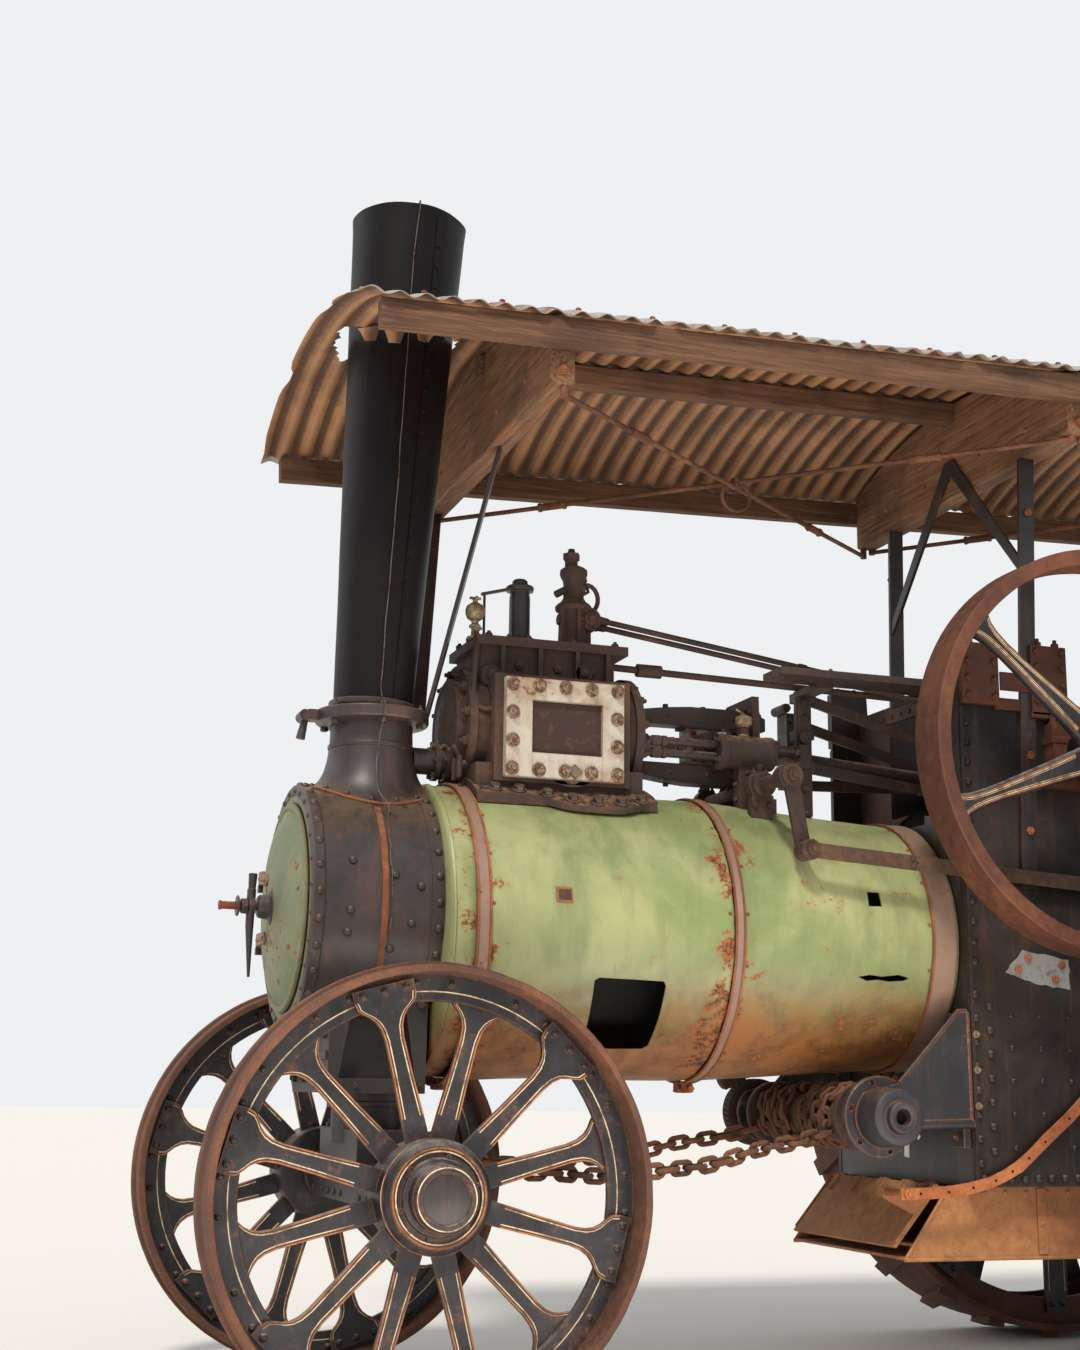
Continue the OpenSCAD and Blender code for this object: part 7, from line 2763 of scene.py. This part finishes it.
def chain(shape: Shape, path: Sequence[Vector], pitch: float, wire: float, phase: int = 0) -> None:
    """Adds a chain of oval links along a path.

    Args:
        shape: the shape that takes it.
        path: places along the chain.
        pitch: distance from link to link.
        wire: radius of the link's wire.
        phase: 0 or 1, the quarter turn of the first link.
    """
    spots = [Vector(p) for p in path]
    gone = 0.0
    count = phase
    for first, last in zip(spots, spots[1:]):
        way = last - first
        while gone < way.length:
            middle = first + way.normalized() * gone
            twist = math.radians(90 * (count % 2) + 24 * wobble(count, 3, 1, 0.7))
            turn = aim(middle, way, "X") @ Matrix.Rotation(twist, 4, "Z")
            long = pitch * 0.5 + wire
            wide = pitch * 0.36
            oval = []
            for k in range(14):
                a = TAU * k / 14
                stretch = 0.0
                if abs(math.cos(a)) > 0.1:
                    stretch = math.copysign(long - wide, math.cos(a))
                oval.append(turn @ Vector((wide * math.sin(a), 0, wide * math.cos(a) + stretch)))
            shape.tube(oval, wire, 6, loop=True)
            gone += pitch
            count += 1
        gone -= way.length


@dataclass
class Steering:
    """Chain barrel with its wound chain, brackets, worm, column and hand wheel, and the two chains."""

    barrel: tuple[float, float] = (-1.440, 0.790)

    def drum(self, palette: Palette) -> None:
        """Builds the shaft, the drum, its discs, the drilled flange and the nested boss.

        Args:
            palette: the finishes.
        """
        worm_r = 0.106
        hole_r = 0.100
        x, z = self.barrel
        turn = aim(at(x, 0, z), (0, 1, 0))
        shape = Shape()
        shape.lathe([(0.0, -0.440), (0.030, -0.440), (0.030, -0.300), (0.066, -0.296), (0.066, 0.326),
                     (0.030, 0.330), (0.030, 0.392), (0.0, 0.392)], turn, 40)
        for y in (-0.300, 0.300):
            shape.lathe([(0.062, y - 0.012), (0.096, y - 0.012), (0.100, y - 0.008), (0.100, y + 0.008),
                         (0.096, y + 0.012), (0.062, y + 0.012)], turn, 48, loop=True)
        shape.lathe([(0.030, -0.474), (0.110, -0.474), (0.103, -0.462), (0.101, -0.450), (0.103, -0.438),
                     (0.110, -0.426), (0.030, -0.426)], turn, 56, loop=True)
        for k in range(40):
            a = TAU * k / 40
            first = turn @ Vector((worm_r * math.cos(a), worm_r * math.sin(a), -0.472))
            last = turn @ Vector((worm_r * math.cos(a + 0.07), worm_r * math.sin(a + 0.07), -0.428))
            shape.rod(first, last, 0.0042, sides=6)
        shape.make("steering_drum", Body.ENGINE, Slot.IRON, [palette.iron], bevel=0.001,
                   replaces=["steering_barrel"])
        disc = Shape()
        disc.lathe([(0.0, 0.391), (0.1135, 0.391), (0.118, 0.394), (0.118, 0.410), (0.1145, 0.413),
                    (0.0, 0.413)], turn, 96)
        made = disc.make("steering_flange", Body.ENGINE, Slot.BLACK, [palette.rimmed])
        holes = Shape()
        for k in range(6):
            a = math.radians(15 + 60 * k)
            spot = at(x + hole_r * math.cos(a), 0.37, z + hole_r * math.sin(a))
            if k != 3:
                holes.rod(spot, spot + Vector((0, 0.06, 0)), 0.009, sides=20)
        cut(made, holes)
        smooth(made, 35)
        boss = Shape()
        boss.lathe([(0.022, 0.412), (0.084, 0.412), (0.0865, 0.418), (0.0845, 0.470), (0.082, 0.514),
                    (0.079, 0.522), (0.072, 0.526), (0.050, 0.526), (0.047, 0.530), (0.046, 0.546),
                    (0.042, 0.550), (0.030, 0.550), (0.024, 0.547), (0.0225, 0.540)], turn, 64, loop=True)
        # Painted shade: a near-black disc sunk in the bore stands for the shade inside it.
        boss.lathe([(0.0, 0.505), (0.021, 0.505), (0.020, 0.508), (0.0, 0.508)], turn, 24, mark=1)
        a = math.radians(195)
        spot = at(x + hole_r * math.cos(a), 0.413, z + hole_r * math.sin(a))
        boss.bolts([spot], (0, 1, 0), 0.013, 0.011, mark=2, stud=0.007)
        hasp = [(-0.020, 0.014), (0.0, 0.023), (0.020, 0.014), (0.022, -0.086), (0.006, -0.090),
                (0.004, -0.004), (-0.010, -0.002), (-0.026, -0.040), (-0.034, -0.030)]
        boss.plate([(spot.x - AXLE + u + 0.004, spot.z + v) for u, v in hasp], 0.006, upright(0.4135),
                   mark=2)
        boss.make("steering_boss", Body.ENGINE, Slot.BLACK, [palette.rimmed, palette.soot_and_shade, palette.torn],
                  bevel=0.0018)
        wound = Shape()
        for s in (-1, 1):
            path = []
            for k in range(145):
                a = TAU * k / 24 + math.pi * 0.5
                path.append(at(x + 0.081 * math.cos(a), s * (0.045 + 0.031 * k / 24),
                               z + 0.081 * math.sin(a)))
            chain(wound, path, 0.040, 0.0072)
        wound.make("wound_chain", Body.ENGINE, Slot.IRON, [palette.link])

    def brackets(self, palette: Palette) -> None:
        """Builds the tapered bracket plates with rolled edges, lugs and bolts, and the column's bearings.

        Args:
            palette: the finishes.
        """
        shape = Shape()
        x, z = self.barrel
        for s in (-1, 1):
            y0 = 0.414 if s > 0 else 0.384
            shell = [(-1.703, 1.104), (-1.728, 1.104), (-1.736, 1.094), (-1.738, 0.774), (-1.520, 0.762)]
            for k in range(13):
                a = math.radians(-150 + 16.5 * k)
                shell.append((x + 0.093 * math.cos(a), z + 0.093 * math.sin(a)))
            shell.append((x - 0.055, z + 0.098))
            start = y0 if s > 0 else -y0 - 0.014
            shape.plate(shell, 0.014, upright(start))
            edge = [at(px, s * (y0 + 0.012), pz) for px, pz in ([shell[-1]] + shell[:5])]
            shape.tube(edge, 0.0062, 8)
            shape.rod(at(-1.515, s * (y0 + 0.010), 0.766), at(-1.742, s * (y0 + 0.010), 0.772), 0.014,
                      sides=12)
            low, high = sorted((s * 0.336, s * 0.4115))
            shape.block(at(-1.7395, low, 0.702), at(-1.7165, high, 1.097))
            low, high = sorted((s * 0.380, s * (y0 + 0.002)))
            shape.block(at(-1.7395, low, 0.780), at(-1.7265, high, 1.092))
            for height in (0.820, 0.925, 1.030):
                shape.bolts([at(-1.7165, s * 0.372, height)], (1, 0, 0), 0.014, 0.012, stud=0.008)
                shape.bolts([at(-1.7560, s * 0.425, height + 0.004)], (0, s, 0), 0.0125, 0.014, mark=1,
                            stud=0.010)
            for height in (0.735, 0.765):
                shape.bolts([at(-1.7165, s * 0.372, height)], (1, 0, 0), 0.012, 0.010, stud=0.005)
        for reach in (0.460, 1.150):
            spot = steer_at(reach)
            tilt = Matrix.Translation(spot) @ Matrix.Rotation(math.radians(COLUMN_TILT), 4, "Y")
            shape.block((-0.026, -0.0215, -0.030), (0.026, 0.024, 0.030), turn=tilt)
            shape.block((-0.020, -0.030, -0.022), (0.020, -0.0215, 0.022), turn=tilt)
            for u in (-0.014, 0.014):
                shape.bolts([tilt @ Vector((u, -0.030, 0.0))], (0, -1, 0), 0.008, 0.007, stud=0.004)
                shape.bolts([tilt @ Vector((u, 0.0, 0.030))], (0, 0, 1), 0.008, 0.008, stud=0.008)
        shape.make("steering_brackets_detail", Body.ENGINE, Slot.BLACK,
                   [palette.rimmed, palette.stud_old], bevel=0.001, replaces=["steering_brackets"])

    def column(self, palette: Palette) -> None:
        """Builds the worm, its collars, and the hand wheel with a turned handle.

        Args:
            palette: the finishes.
        """
        dress(palette.iron, "steering_column")
        shape = Shape()
        way = steer_at(1.0) - steer_at(0.0)
        turn = aim(steer_at(-0.058), way)
        coil = []
        for k in range(97):
            a = TAU * k / 16
            coil.append(turn @ Vector((0.0285 * math.cos(a), 0.0285 * math.sin(a), 0.004 + 0.108 * k / 96)))
        shape.tube(coil, 0.0055, 6)
        for reach in (-0.068, 0.066, 0.425, 0.497, 1.115, 1.187, 1.500):
            shape.rod(steer_at(reach), steer_at(reach + 0.014), 0.024, sides=24)
        wheel = aim(steer_at(1.540), way)
        shape.lathe([(0.0, 0.020), (0.032, 0.020), (0.034, 0.024), (0.034, 0.032), (0.020, 0.038),
                     (0.0, 0.039)], wheel, 28)
        for k in range(4):
            a = math.radians(90 * k)
            for near, far, first, last in ((0.026, 0.050, 0.016, 0.0095), (0.136, 0.150, 0.0095, 0.014)):
                start = wheel @ Vector((near * math.cos(a), near * math.sin(a), 0.0))
                end = wheel @ Vector((far * math.cos(a), far * math.sin(a), 0.0))
                shape.rod(start, end, first, last, 14)
        knob = aim(wheel @ Vector((0.113, 0.113, 0.006)), way)
        shape.lathe([(0.0, 0.0), (0.012, 0.0), (0.009, 0.012), (0.013, 0.028), (0.017, 0.055),
                     (0.016, 0.082), (0.010, 0.095), (0.0, 0.098)], knob, 24, mark=1)
        shape.make("steering_wheel_fittings", Body.ENGINE, Slot.IRON, [palette.iron, palette.beam_x],
                   bevel=0.0008)

    def chains(self, palette: Palette) -> None:
        """Builds the two sagging chains, which stretch between the engine and the fore carriage.

        Args:
            palette: the finishes.
        """
        for side in Side:
            s = side.value
            corners = [at(-0.0865, s * 0.470, 0.640), at(-0.760, s * 0.370, 0.650),
                       at(-1.362, s * 0.250, 0.742)]
            path = []
            for k in range(41):
                share = k / 40
                if share < 0.5:
                    spot = corners[0].lerp(corners[1], share * 2)
                else:
                    spot = corners[1].lerp(corners[2], share * 2 - 1)
                belly = math.sin(math.pi * share)
                sag = 0.020 * belly + 0.006 * math.sin(math.pi * 7 * share) * belly
                path.append(spot - Vector((0, 0, sag)))
            shape = Shape()
            chain(shape, path, 0.047, 0.0085)
            shape.rod(corners[0] + Vector((0.006, 0, -0.032)), corners[0] + Vector((0.006, 0, 0.032)),
                      0.013, sides=12)
            name = side.name.lower()
            made = shape.make(f"steering_chain_{name}_links", Body.ENGINE, Slot.IRON, [palette.link],
                              replaces=[f"steering_chain_{name}"], ride=False)
            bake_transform(made)

    def build(self, palette: Palette) -> None:
        """Builds the whole steering gear.

        Args:
            palette: the finishes.
        """
        self.drum(palette)
        self.brackets(palette)
        self.column(palette)
        self.chains(palette)


@dataclass
class Underside:
    """Ash pan with its open flap and bent damper strap, and the fore carriage."""

    def ash_pan(self, palette: Palette) -> None:
        """Builds rolled edges, hinge, stiffeners and rivets of the ash pan, and the damper strap.

        Args:
            palette: the finishes.
        """
        dress(palette.tan, "ash_pan")
        shape = Shape()
        for s in (-1, 1):
            y = s * 0.3605
            shape.tube([at(-1.535, y, 0.380), at(-1.690, y, 0.589)], 0.0055, 8)
            shape.tube([at(-1.533, y, 0.3815), at(-2.422, y, 0.3815)], 0.0065, 8)
            shape.rivets(between(at(-1.735, y, 0.570), at(-2.395, y, 0.570), 10), (0, s, 0), 0.0075, 0.005)
            low, high = sorted((s * 0.359, s * 0.366))
            shape.block(at(-2.020, low, 0.392), at(-1.990, high, 0.582))
            shape.rivets([at(-2.005, s * 0.3655, z) for z in (0.42, 0.48, 0.54)], (0, s, 0), 0.0075, 0.005)
        for k in range(5):
            y = -0.28 + 0.14 * k
            shape.rod(at(-1.676, y - 0.022, 0.586), at(-1.676, y + 0.022, 0.586), 0.0125, sides=14)
            shape.bar(at(-1.672, y, 0.588), at(-1.630, y, 0.542), 0.028, 0.010, side="X")
            shape.rivets([at(-1.646, y, 0.570)], (0.77, 0, 0.64), 0.007, 0.004)
        for y, seed in ((-0.329, 1), (0.329, 5)):
            crease = [at(-1.660 + 0.136 * k / 12, y + 0.0015 * wobble(k, seed, 1), 0.590 - 0.160 * k / 12)
                      for k in range(13)]
            shape.tube(crease, 0.0035, 6)
        shape.make("ash_pan_detail", Body.ENGINE, Slot.IRON, [palette.tan], bevel=0.0006)
        strap = Shape()
        places = [(-1.480, 0.572), (-1.560, 0.574), (-1.640, 0.578), (-1.710, 0.588), (-1.780, 0.604),
                  (-1.830, 0.624), (-1.880, 0.650), (-1.930, 0.688), (-1.980, 0.730), (-2.060, 0.792),
                  (-2.130, 0.854), (-2.200, 0.915), (-2.320, 0.998), (-2.440, 1.080)]
        rings = []
        for k, (x, z) in enumerate(places):
            after = places[min(k + 1, len(places) - 1)]
            before = places[max(k - 1, 0)]
            way = Vector((after[0] - before[0], 0, after[1] - before[1])).normalized()
            up = Vector((-way.z, 0, way.x))
            up = up if up.z > 0 else -up
            high = up * (0.0165 + 0.0016 * wobble(x * 14, 1, z * 14))
            inner = at(x, 0.4405, z)
            outer = at(x, 0.4515, z)
            rings.append([inner + high, outer + high, outer - high, inner - high])
        strap.loft(rings)
        for k in range(9):
            share = (0.06 + 0.09 * k) * 13
            i = int(share)
            x = places[i][0] + (places[i + 1][0] - places[i][0]) * (share - i)
            z = places[i][1] + (places[i + 1][1] - places[i][1]) * (share - i)
            strap.rivets([at(x, 0.451, z)], (0, 1, 0), 0.0055, 0.002, mark=1, sides=6)
        strap.rod(at(-1.500, 0.330, 0.573), at(-1.500, 0.456, 0.573), 0.0105, sides=14)
        strap.bolts([at(-1.500, 0.4515, 0.573), at(-2.440, 0.4515, 1.080)], (0, 1, 0), 0.016, 0.011,
                    stud=0.006)
        strap.rod(at(-2.440, 0.424, 1.080), at(-2.440, 0.452, 1.080), 0.012, sides=14)
        strap.make("damper_strap", Body.ENGINE, Slot.IRON, [palette.strap, palette.soot_and_shade], bevel=0.0012,
                   replaces=["damper_rod"])

    def fore(self, palette: Palette) -> None:
        """Builds bolts, gussets and plates of the perch bracket and the front axle.

        Args:
            palette: the finishes.
        """
        dress(palette.black, "perch_bracket", "front_axle")
        shape = Shape()
        for s in (-1, 1):
            for z in (1.085, 1.115):
                shape.bolts([at(x, s * 0.2485, z) for x in (-0.080, 0.165)], (0, s, 0), 0.013, 0.011,
                            stud=0.005)
            shape.bolts([at(x, s * 0.2405, 0.860) for x in (-0.085, -0.02, 0.10, 0.165)], (0, s, 0),
                        0.010, 0.008, stud=0.004)
        shape.bolts([at(0.1805, y, z) for y in (-0.20, -0.07, 0.07, 0.20) for z in (0.88, 1.0)],
                    (1, 0, 0), 0.013, 0.011, stud=0.005)
        shape.block(at(0.178, -0.236, 0.930), at(0.188, 0.236, 0.955))
        shape.lathe([(0.117, 0.800), (0.124, 0.803), (0.124, 0.816), (0.117, 0.820)],
                    aim(at(0, 0, 0), (0, 0, 1)), 48, loop=True)
        shape.make("perch_bolts", Body.ENGINE, Slot.BLACK, [palette.black], bevel=0.001)
        axle = Shape()
        for s in (-1, 1):
            for x, way in ((0.051, 1), (-0.051, -1)):
                axle.rivets([at(x, s * y, z) for y in (0.12, 0.20, 0.28, 0.36, 0.485)
                             for z in (0.552, 0.628)], (way, 0, 0), 0.010, 0.007)
            axle.bolts([at(x, s * y, 0.7405) for x in (-0.065, 0.065) for y in (0.155, 0.215)], (0, 0, 1),
                       0.014, 0.012, stud=0.010)
            axle.rod(at(-0.064, s * 0.470, 0.612), at(-0.064, s * 0.470, 0.606), 0.022, sides=16)
            axle.bolts([at(-0.0785, s * 0.456, 0.640)], (-1, 0, 0), 0.010, 0.009, stud=0.006)
            turn = aim(at(0, s * 0.515, 0.590), (0, s, 0))
            axle.lathe([(0.068, 0.002), (0.0745, 0.004), (0.0745, 0.020), (0.071, 0.024), (0.071, 0.040),
                        (0.066, 0.044)], turn, 40, loop=True)
            low, high = sorted((s * 0.243, s * 0.500))
            axle.plate([(-0.030, 0.648), (0.030, 0.648), (0.020, 0.668), (-0.020, 0.668)], high - low,
                       upright(low))
        axle.make("front_axle_detail", Body.FORE, Slot.BLACK, [palette.black], bevel=0.0012)

    def build(self, palette: Palette) -> None:
        """Builds both groups."""
        self.ash_pan(palette)
        self.fore(palette)


@dataclass
class Tender:
    """Tender sides with rivets and rolled tops, planks, lockers, drawbar gear and driver's controls."""

    half: float = 0.552
    back: float = -3.712
    top: float = 1.640

    def tank(self, palette: Palette) -> None:
        """Builds the rivet rows, corner angles and half-round edges of the tender.

        Args:
            palette: the finishes.
        """
        rim = self.top - 0.002
        dress(palette.black, "tender")
        shape = Shape()
        rivet = (0.009, 0.007)
        for s in (-1, 1):
            y = s * self.half
            for x0, z0, x1, z1, count in ((-3.03, 0.505, -3.69, 0.505, 14), (-2.72, 0.965, -3.69, 0.965, 20),
                                          (-3.692, 0.55, -3.692, 1.58, 20), (-3.028, 0.55, -3.028, 0.93, 8),
                                          (-2.715, 1.02, -2.715, 1.33, 7), (-3.205, 1.03, -3.205, 1.43, 8)):
                shape.rivets(between(at(x0, y, z0), at(x1, y, z1), count), (0, s, 0), *rivet)
            rail = [(-2.7015, 1.02), (-2.7015, 1.358), (-2.975, 1.360), (-3.055, rim), (-3.706, rim)]
            shape.tube([at(x, s * (self.half - 0.004), z) for x, z in rail], 0.0115, 10)
            low, high = sorted((s * (self.half - 0.004), s * (self.half + 0.0045)))
            shape.block(at(-3.7165, low, 0.482), at(-3.672, high, 1.630))
            shape.block(at(-3.008, low, 0.482), at(-3.048, high, 0.985))
            shape.block(at(-3.710, low, 0.942), at(-2.702, high, 0.988))
        back = self.back - 0.0005
        shape.tube([at(-3.7085, -0.545, rim), at(-3.7085, 0.545, rim)], 0.0115, 10)
        for y in (-0.530, 0.530):
            shape.rivets(between(at(back, y, 0.55), at(back, y, 1.58), 20), (-1, 0, 0), *rivet)
        for z in (0.965, 0.505):
            shape.rivets(between(at(back, -0.49, z), at(back, 0.49, z), 18), (-1, 0, 0), *rivet)
        shape.rivets(between(at(-3.1995, -0.50, 1.425), at(-3.1995, 0.50, 1.425), 14), (1, 0, 0), 0.009,
                     0.006)
        shape.block(at(-3.712, -0.235, 1.20), at(-3.722, 0.235, 1.215))
        lid = [(-0.215, 1.07), (0.215, 1.07), (0.215, 1.36), (-0.215, 1.36)]
        shape.loft([[at(x, y, z) for y, z in lid] for x in (-3.722, -3.711)])
        shape.rivets([at(-3.7215, y, z) for y in (-0.195, -0.065, 0.065, 0.195) for z in (1.09, 1.34)],
                     (-1, 0, 0), 0.008, 0.006)
        for y in (-0.13, 0.13):
            shape.bar(at(-3.726, y, 1.30), at(-3.726, y, 1.395), 0.030, 0.008, side="X")
            shape.rod(at(-3.727, y - 0.022, 1.372), at(-3.727, y + 0.022, 1.372), 0.010, sides=14)
        shape.make("tender_rivets", Body.ENGINE, Slot.BLACK, [palette.black])
        boards = Shape()
        for k in range(5):
            x = -2.470 - 0.142 * k
            rows = []
            for j in range(13):
                y = -0.398 + 0.796 * j / 12
                lift = 0.0012 * wobble(y * 4, x, 2)
                rows.append([at(x, y, 1.000 + lift), at(x - 0.136, y, 1.000 + lift),
                             at(x - 0.136, y, 1.018 + lift), at(x, y, 1.018 + lift)])
            boards.loft(rows)
            boards.rivets([at(x - w, y, 1.018) for w in (0.03, 0.106) for y in (-0.37, 0.37)], (0, 0, 1),
                          0.006, 0.003, mark=1, sides=8)
        boards.make("footplate_boards", Body.ENGINE, Slot.WOOD, [palette.beam_y, palette.rust], bevel=0.0015)
        dress(palette.iron, "footplate")

    def rear(self, palette: Palette) -> None:
        """Builds the drawbar's pin, chain, bolts and safety links.

        Args:
            palette: the finishes.
        """
        pin_x = -3.802
        dress(palette.iron, "drawbar")
        shape = Shape()
        shape.bolts([at(-3.7285, y, z) for y in (-0.150, 0.150) for z in (0.57, 0.71)], (-1, 0, 0), 0.016,
                    0.013, stud=0.008)
        shape.rod(at(pin_x, 0, 0.572), at(pin_x, 0, 0.668), 0.0195, sides=20)
        shape.lathe([(0.0, 0.650), (0.033, 0.650), (0.033, 0.662), (0.024, 0.668), (0.0, 0.669)],
                    aim(at(pin_x, 0, 0), (0, 0, 1)), 28)
        shape.tube(ring_of(18, 0.022, at(-3.801, 0, 0.690), 0), 0.005, 8, loop=True)
        path = []
        for k in range(13):
            share = k / 12
            path.append(at(-3.780 + 0.045 * share, 0.025 + 0.095 * share,
                           0.690 + 0.03 * share - 0.05 * math.sin(math.pi * share)))
        chain(shape, path, 0.024, 0.0035)
        shape.make("drawbar_pin", Body.ENGINE, Slot.IRON, [palette.iron], bevel=0.0012)

    def controls(self, palette: Palette) -> None:
        """Builds the lever's latch and rack, the brake wheel's hub, the regulator handle and a gauge.

        Args:
            palette: the finishes.
        """
        lever_x = -2.330
        lever_z = 1.488
        brake_x = -2.700
        brake_y = 0.380
        dress(palette.iron, "controls")
        shape = Shape()
        grip = aim(at(-2.458, 0.478, 1.892), (-0.150, 0, 0.472))
        shape.lathe([(0.0, -0.010), (0.017, -0.006), (0.019, 0.02), (0.0195, 0.05), (0.018, 0.072),
                     (0.010, 0.078), (0.0, 0.079)], grip, 24)
        shape.bar(at(-2.428, 0.4785, 1.862), at(-2.486, 0.4785, 1.925), 0.018, 0.007)
        rack = []
        for k in range(17):
            a = math.radians(100 + 1.9 * k)
            tooth = 0.332 if k % 2 else 0.326
            rack.append([at(lever_x + r * math.cos(a), y, lever_z + r * math.sin(a))
                         for r, y in ((0.300, 0.456), (0.300, 0.464), (tooth, 0.464), (tooth, 0.456))])
        shape.loft(rack)
        shape.bar(at(-2.385, 0.460, 1.800), at(lever_x, 0.428, 1.700), 0.030, 0.010)
        shape.bolts([at(lever_x, 0.489, lever_z)], (0, 1, 0), 0.017, 0.012, stud=0.006)
        for z, r in ((1.620, 0.026), (1.012, 0.030)):
            shape.rod(at(brake_x, brake_y, z - 0.012), at(brake_x, brake_y, z + 0.018), r, sides=24)
        shape.bolts([at(brake_x, brake_y, 1.637)], (0, 0, 1), 0.017, 0.012, stud=0.006)
        knob = aim(at(brake_x, 0.498, 1.630), (0, 0, 1))
        shape.lathe([(0.0, 0.0), (0.009, 0.0), (0.008, 0.012), (0.014, 0.035), (0.014, 0.06),
                     (0.008, 0.07), (0.0, 0.072)], knob, 20)
        dial = aim(at(-2.450, 0.250, 1.480), (-1, 0, 0))
        shape.lathe([(0.0, 0.112), (0.040, 0.112), (0.042, 0.116), (0.042, 0.128), (0.036, 0.132),
                     (0.0, 0.132)], dial, 32, mark=1)
        shape.lathe([(0.0, 0.1325), (0.033, 0.1325), (0.033, 0.1335), (0.0, 0.1335)], dial, 32, mark=2)
        for z in (2.062, 2.030):
            shape.rod(at(-2.292, 0.112, z), at(-2.318, 0.112, z), 0.010, sides=14)
        handle = [at(-2.304, 0.150, 2.105), at(lever_x, 0.150, 2.122), at(-2.380, 0.150, 2.130),
                  at(-2.440, 0.150, 2.126)]
        shape.tube(handle, 0.010, 12)
        shape.make("control_fittings", Body.ENGINE, Slot.IRON,
                   [palette.iron, palette.brass, palette.cream], bevel=0.0008)

    def build(self, palette: Palette) -> None:
        """Builds the whole tender.

        Args:
            palette: the finishes.
        """
        self.tank(palette)
        self.rear(palette)
        self.controls(palette)


ASSEMBLY = [Boiler(), FrontEnd(), FrontWheel(Side.LEFT, Body.FRONT_LEFT),
            FrontWheel(Side.RIGHT, Body.FRONT_RIGHT), Canopy(), CylinderBlock(), Flywheel(), Motion(),
            HornWorks(), Steering(), Underside(), Tender(), RearWheel(Side.LEFT, Body.REAR_LEFT),
            RearWheel(Side.RIGHT, Body.REAR_RIGHT)]


@dataclass
class Studio:
    """Pale floor, soft light and the camera at the photograph's angle."""

    place: tuple[float, float, float] = (2.9451, 5.3932, 0.8642)
    yaw: float = 18.583
    pitch: float = 12.500
    roll: float = 0.742
    lens: float = 49.50

    def camera(self) -> None:
        """Builds the camera from its fitted place and angles."""
        data = bpy.data.cameras.new("photo_view")
        data.lens = self.lens
        data.sensor_width = 36.0
        data.sensor_fit = "AUTO"
        data.clip_end = 200
        made = bpy.data.objects.new("photo_view", data)
        bpy.context.scene.collection.objects.link(made)
        y, p, r = (math.radians(v) for v in (self.yaw, self.pitch, self.roll))
        ahead = Vector((-math.sin(y) * math.cos(p), -math.cos(y) * math.cos(p), math.sin(p)))
        right = ahead.cross(Vector((0, 0, 1))).normalized()
        up = right.cross(ahead)
        turned_right = right * math.cos(r) + up * math.sin(r)
        turned_up = up * math.cos(r) - right * math.sin(r)
        turn = Matrix((turned_right, turned_up, -ahead)).transposed().to_4x4()
        made.matrix_world = Matrix.Translation(Vector(self.place)) @ turn
        bpy.context.scene.camera = made

    def floor(self) -> None:
        """Builds a pale floor that keeps the shadow."""
        mesh = bpy.data.meshes.new("studio_floor")
        size = 60.0
        mesh.from_pydata([(-size, -size, -0.001), (size, -size, -0.001), (size, size, -0.001),
                          (-size, size, -0.001)], [], [(0, 1, 2, 3)])
        made = bpy.data.objects.new("studio_floor", mesh)
        bpy.context.scene.collection.objects.link(made)
        g = Graph("studio_floor")
        mesh.materials.append(g.finish(paint(232, 228, 220), 0.9, 0.0, None))

    def lights(self) -> None:
        """Builds the sky and the soft lamps."""
        world = bpy.data.worlds.new("studio_sky")
        bpy.context.scene.world = world
        world.use_nodes = True
        nodes = world.node_tree.nodes
        nodes.clear()
        links = world.node_tree.links
        out = nodes.new("ShaderNodeOutputWorld")
        seen = nodes.new("ShaderNodeBackground")
        lit = nodes.new("ShaderNodeBackground")
        seen.inputs[0].default_value = (*paint(238, 240, 242), 1)
        seen.inputs[1].default_value = 1.0
        lit.inputs[0].default_value = (*paint(236, 240, 246), 1)
        lit.inputs[1].default_value = 0.62
        path = nodes.new("ShaderNodeLightPath")
        both = nodes.new("ShaderNodeMath")
        both.operation = "MAXIMUM"
        links.new(path.outputs["Is Camera Ray"], both.inputs[0])
        links.new(path.outputs["Is Glossy Ray"], both.inputs[1])
        mixed = nodes.new("ShaderNodeMixShader")
        links.new(both.outputs[0], mixed.inputs[0])
        links.new(lit.outputs[0], mixed.inputs[1])
        links.new(seen.outputs[0], mixed.inputs[2])
        links.new(mixed.outputs[0], out.inputs[0])
        for name, angle, strength, soft in (("key", (38, 0, 150), 2.3, 9), ("fill", (60, 0, 60), 0.35, 40)):
            data = bpy.data.lights.new(name, "SUN")
            data.energy = strength
            data.angle = math.radians(soft)
            data.color = (1.0, 0.965, 0.91)
            lamp = bpy.data.objects.new(name, data)
            lamp.rotation_euler = [math.radians(v) for v in angle]
            bpy.context.scene.collection.objects.link(lamp)

    def bounce(self) -> None:
        """Builds a low wide lamp that stands for sunlit ground beside the engine."""
        data = bpy.data.lights.new("ground_bounce", "AREA")
        data.energy = 130
        data.size = 6.0
        data.size_y = 1.6
        data.shape = "RECTANGLE"
        data.color = (1.0, 0.93, 0.84)
        lamp = bpy.data.objects.new("ground_bounce", data)
        lamp.matrix_world = aim((0.6, 2.1, 0.02), (0.0, 0.0, -1.0))
        lamp.visible_camera = False
        bpy.context.scene.collection.objects.link(lamp)

    def build(self) -> None:
        """Builds the studio."""
        self.camera()
        self.floor()
        self.lights()
        self.bounce()
        bpy.context.scene.view_settings.view_transform = "Standard"


def main() -> None:
    """Builds every part of the scene in order and reports it."""
    logging.basicConfig(level=logging.INFO, format="%(name)s: %(message)s", force=True)
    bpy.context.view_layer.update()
    palette = Palette()
    Studio().build()
    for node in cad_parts:
        dress(palette.iron, node)
    for part in ASSEMBLY:
        part.build(palette)
        log.info("built %s", type(part).__name__)


if __name__ == "__main__":
    main()
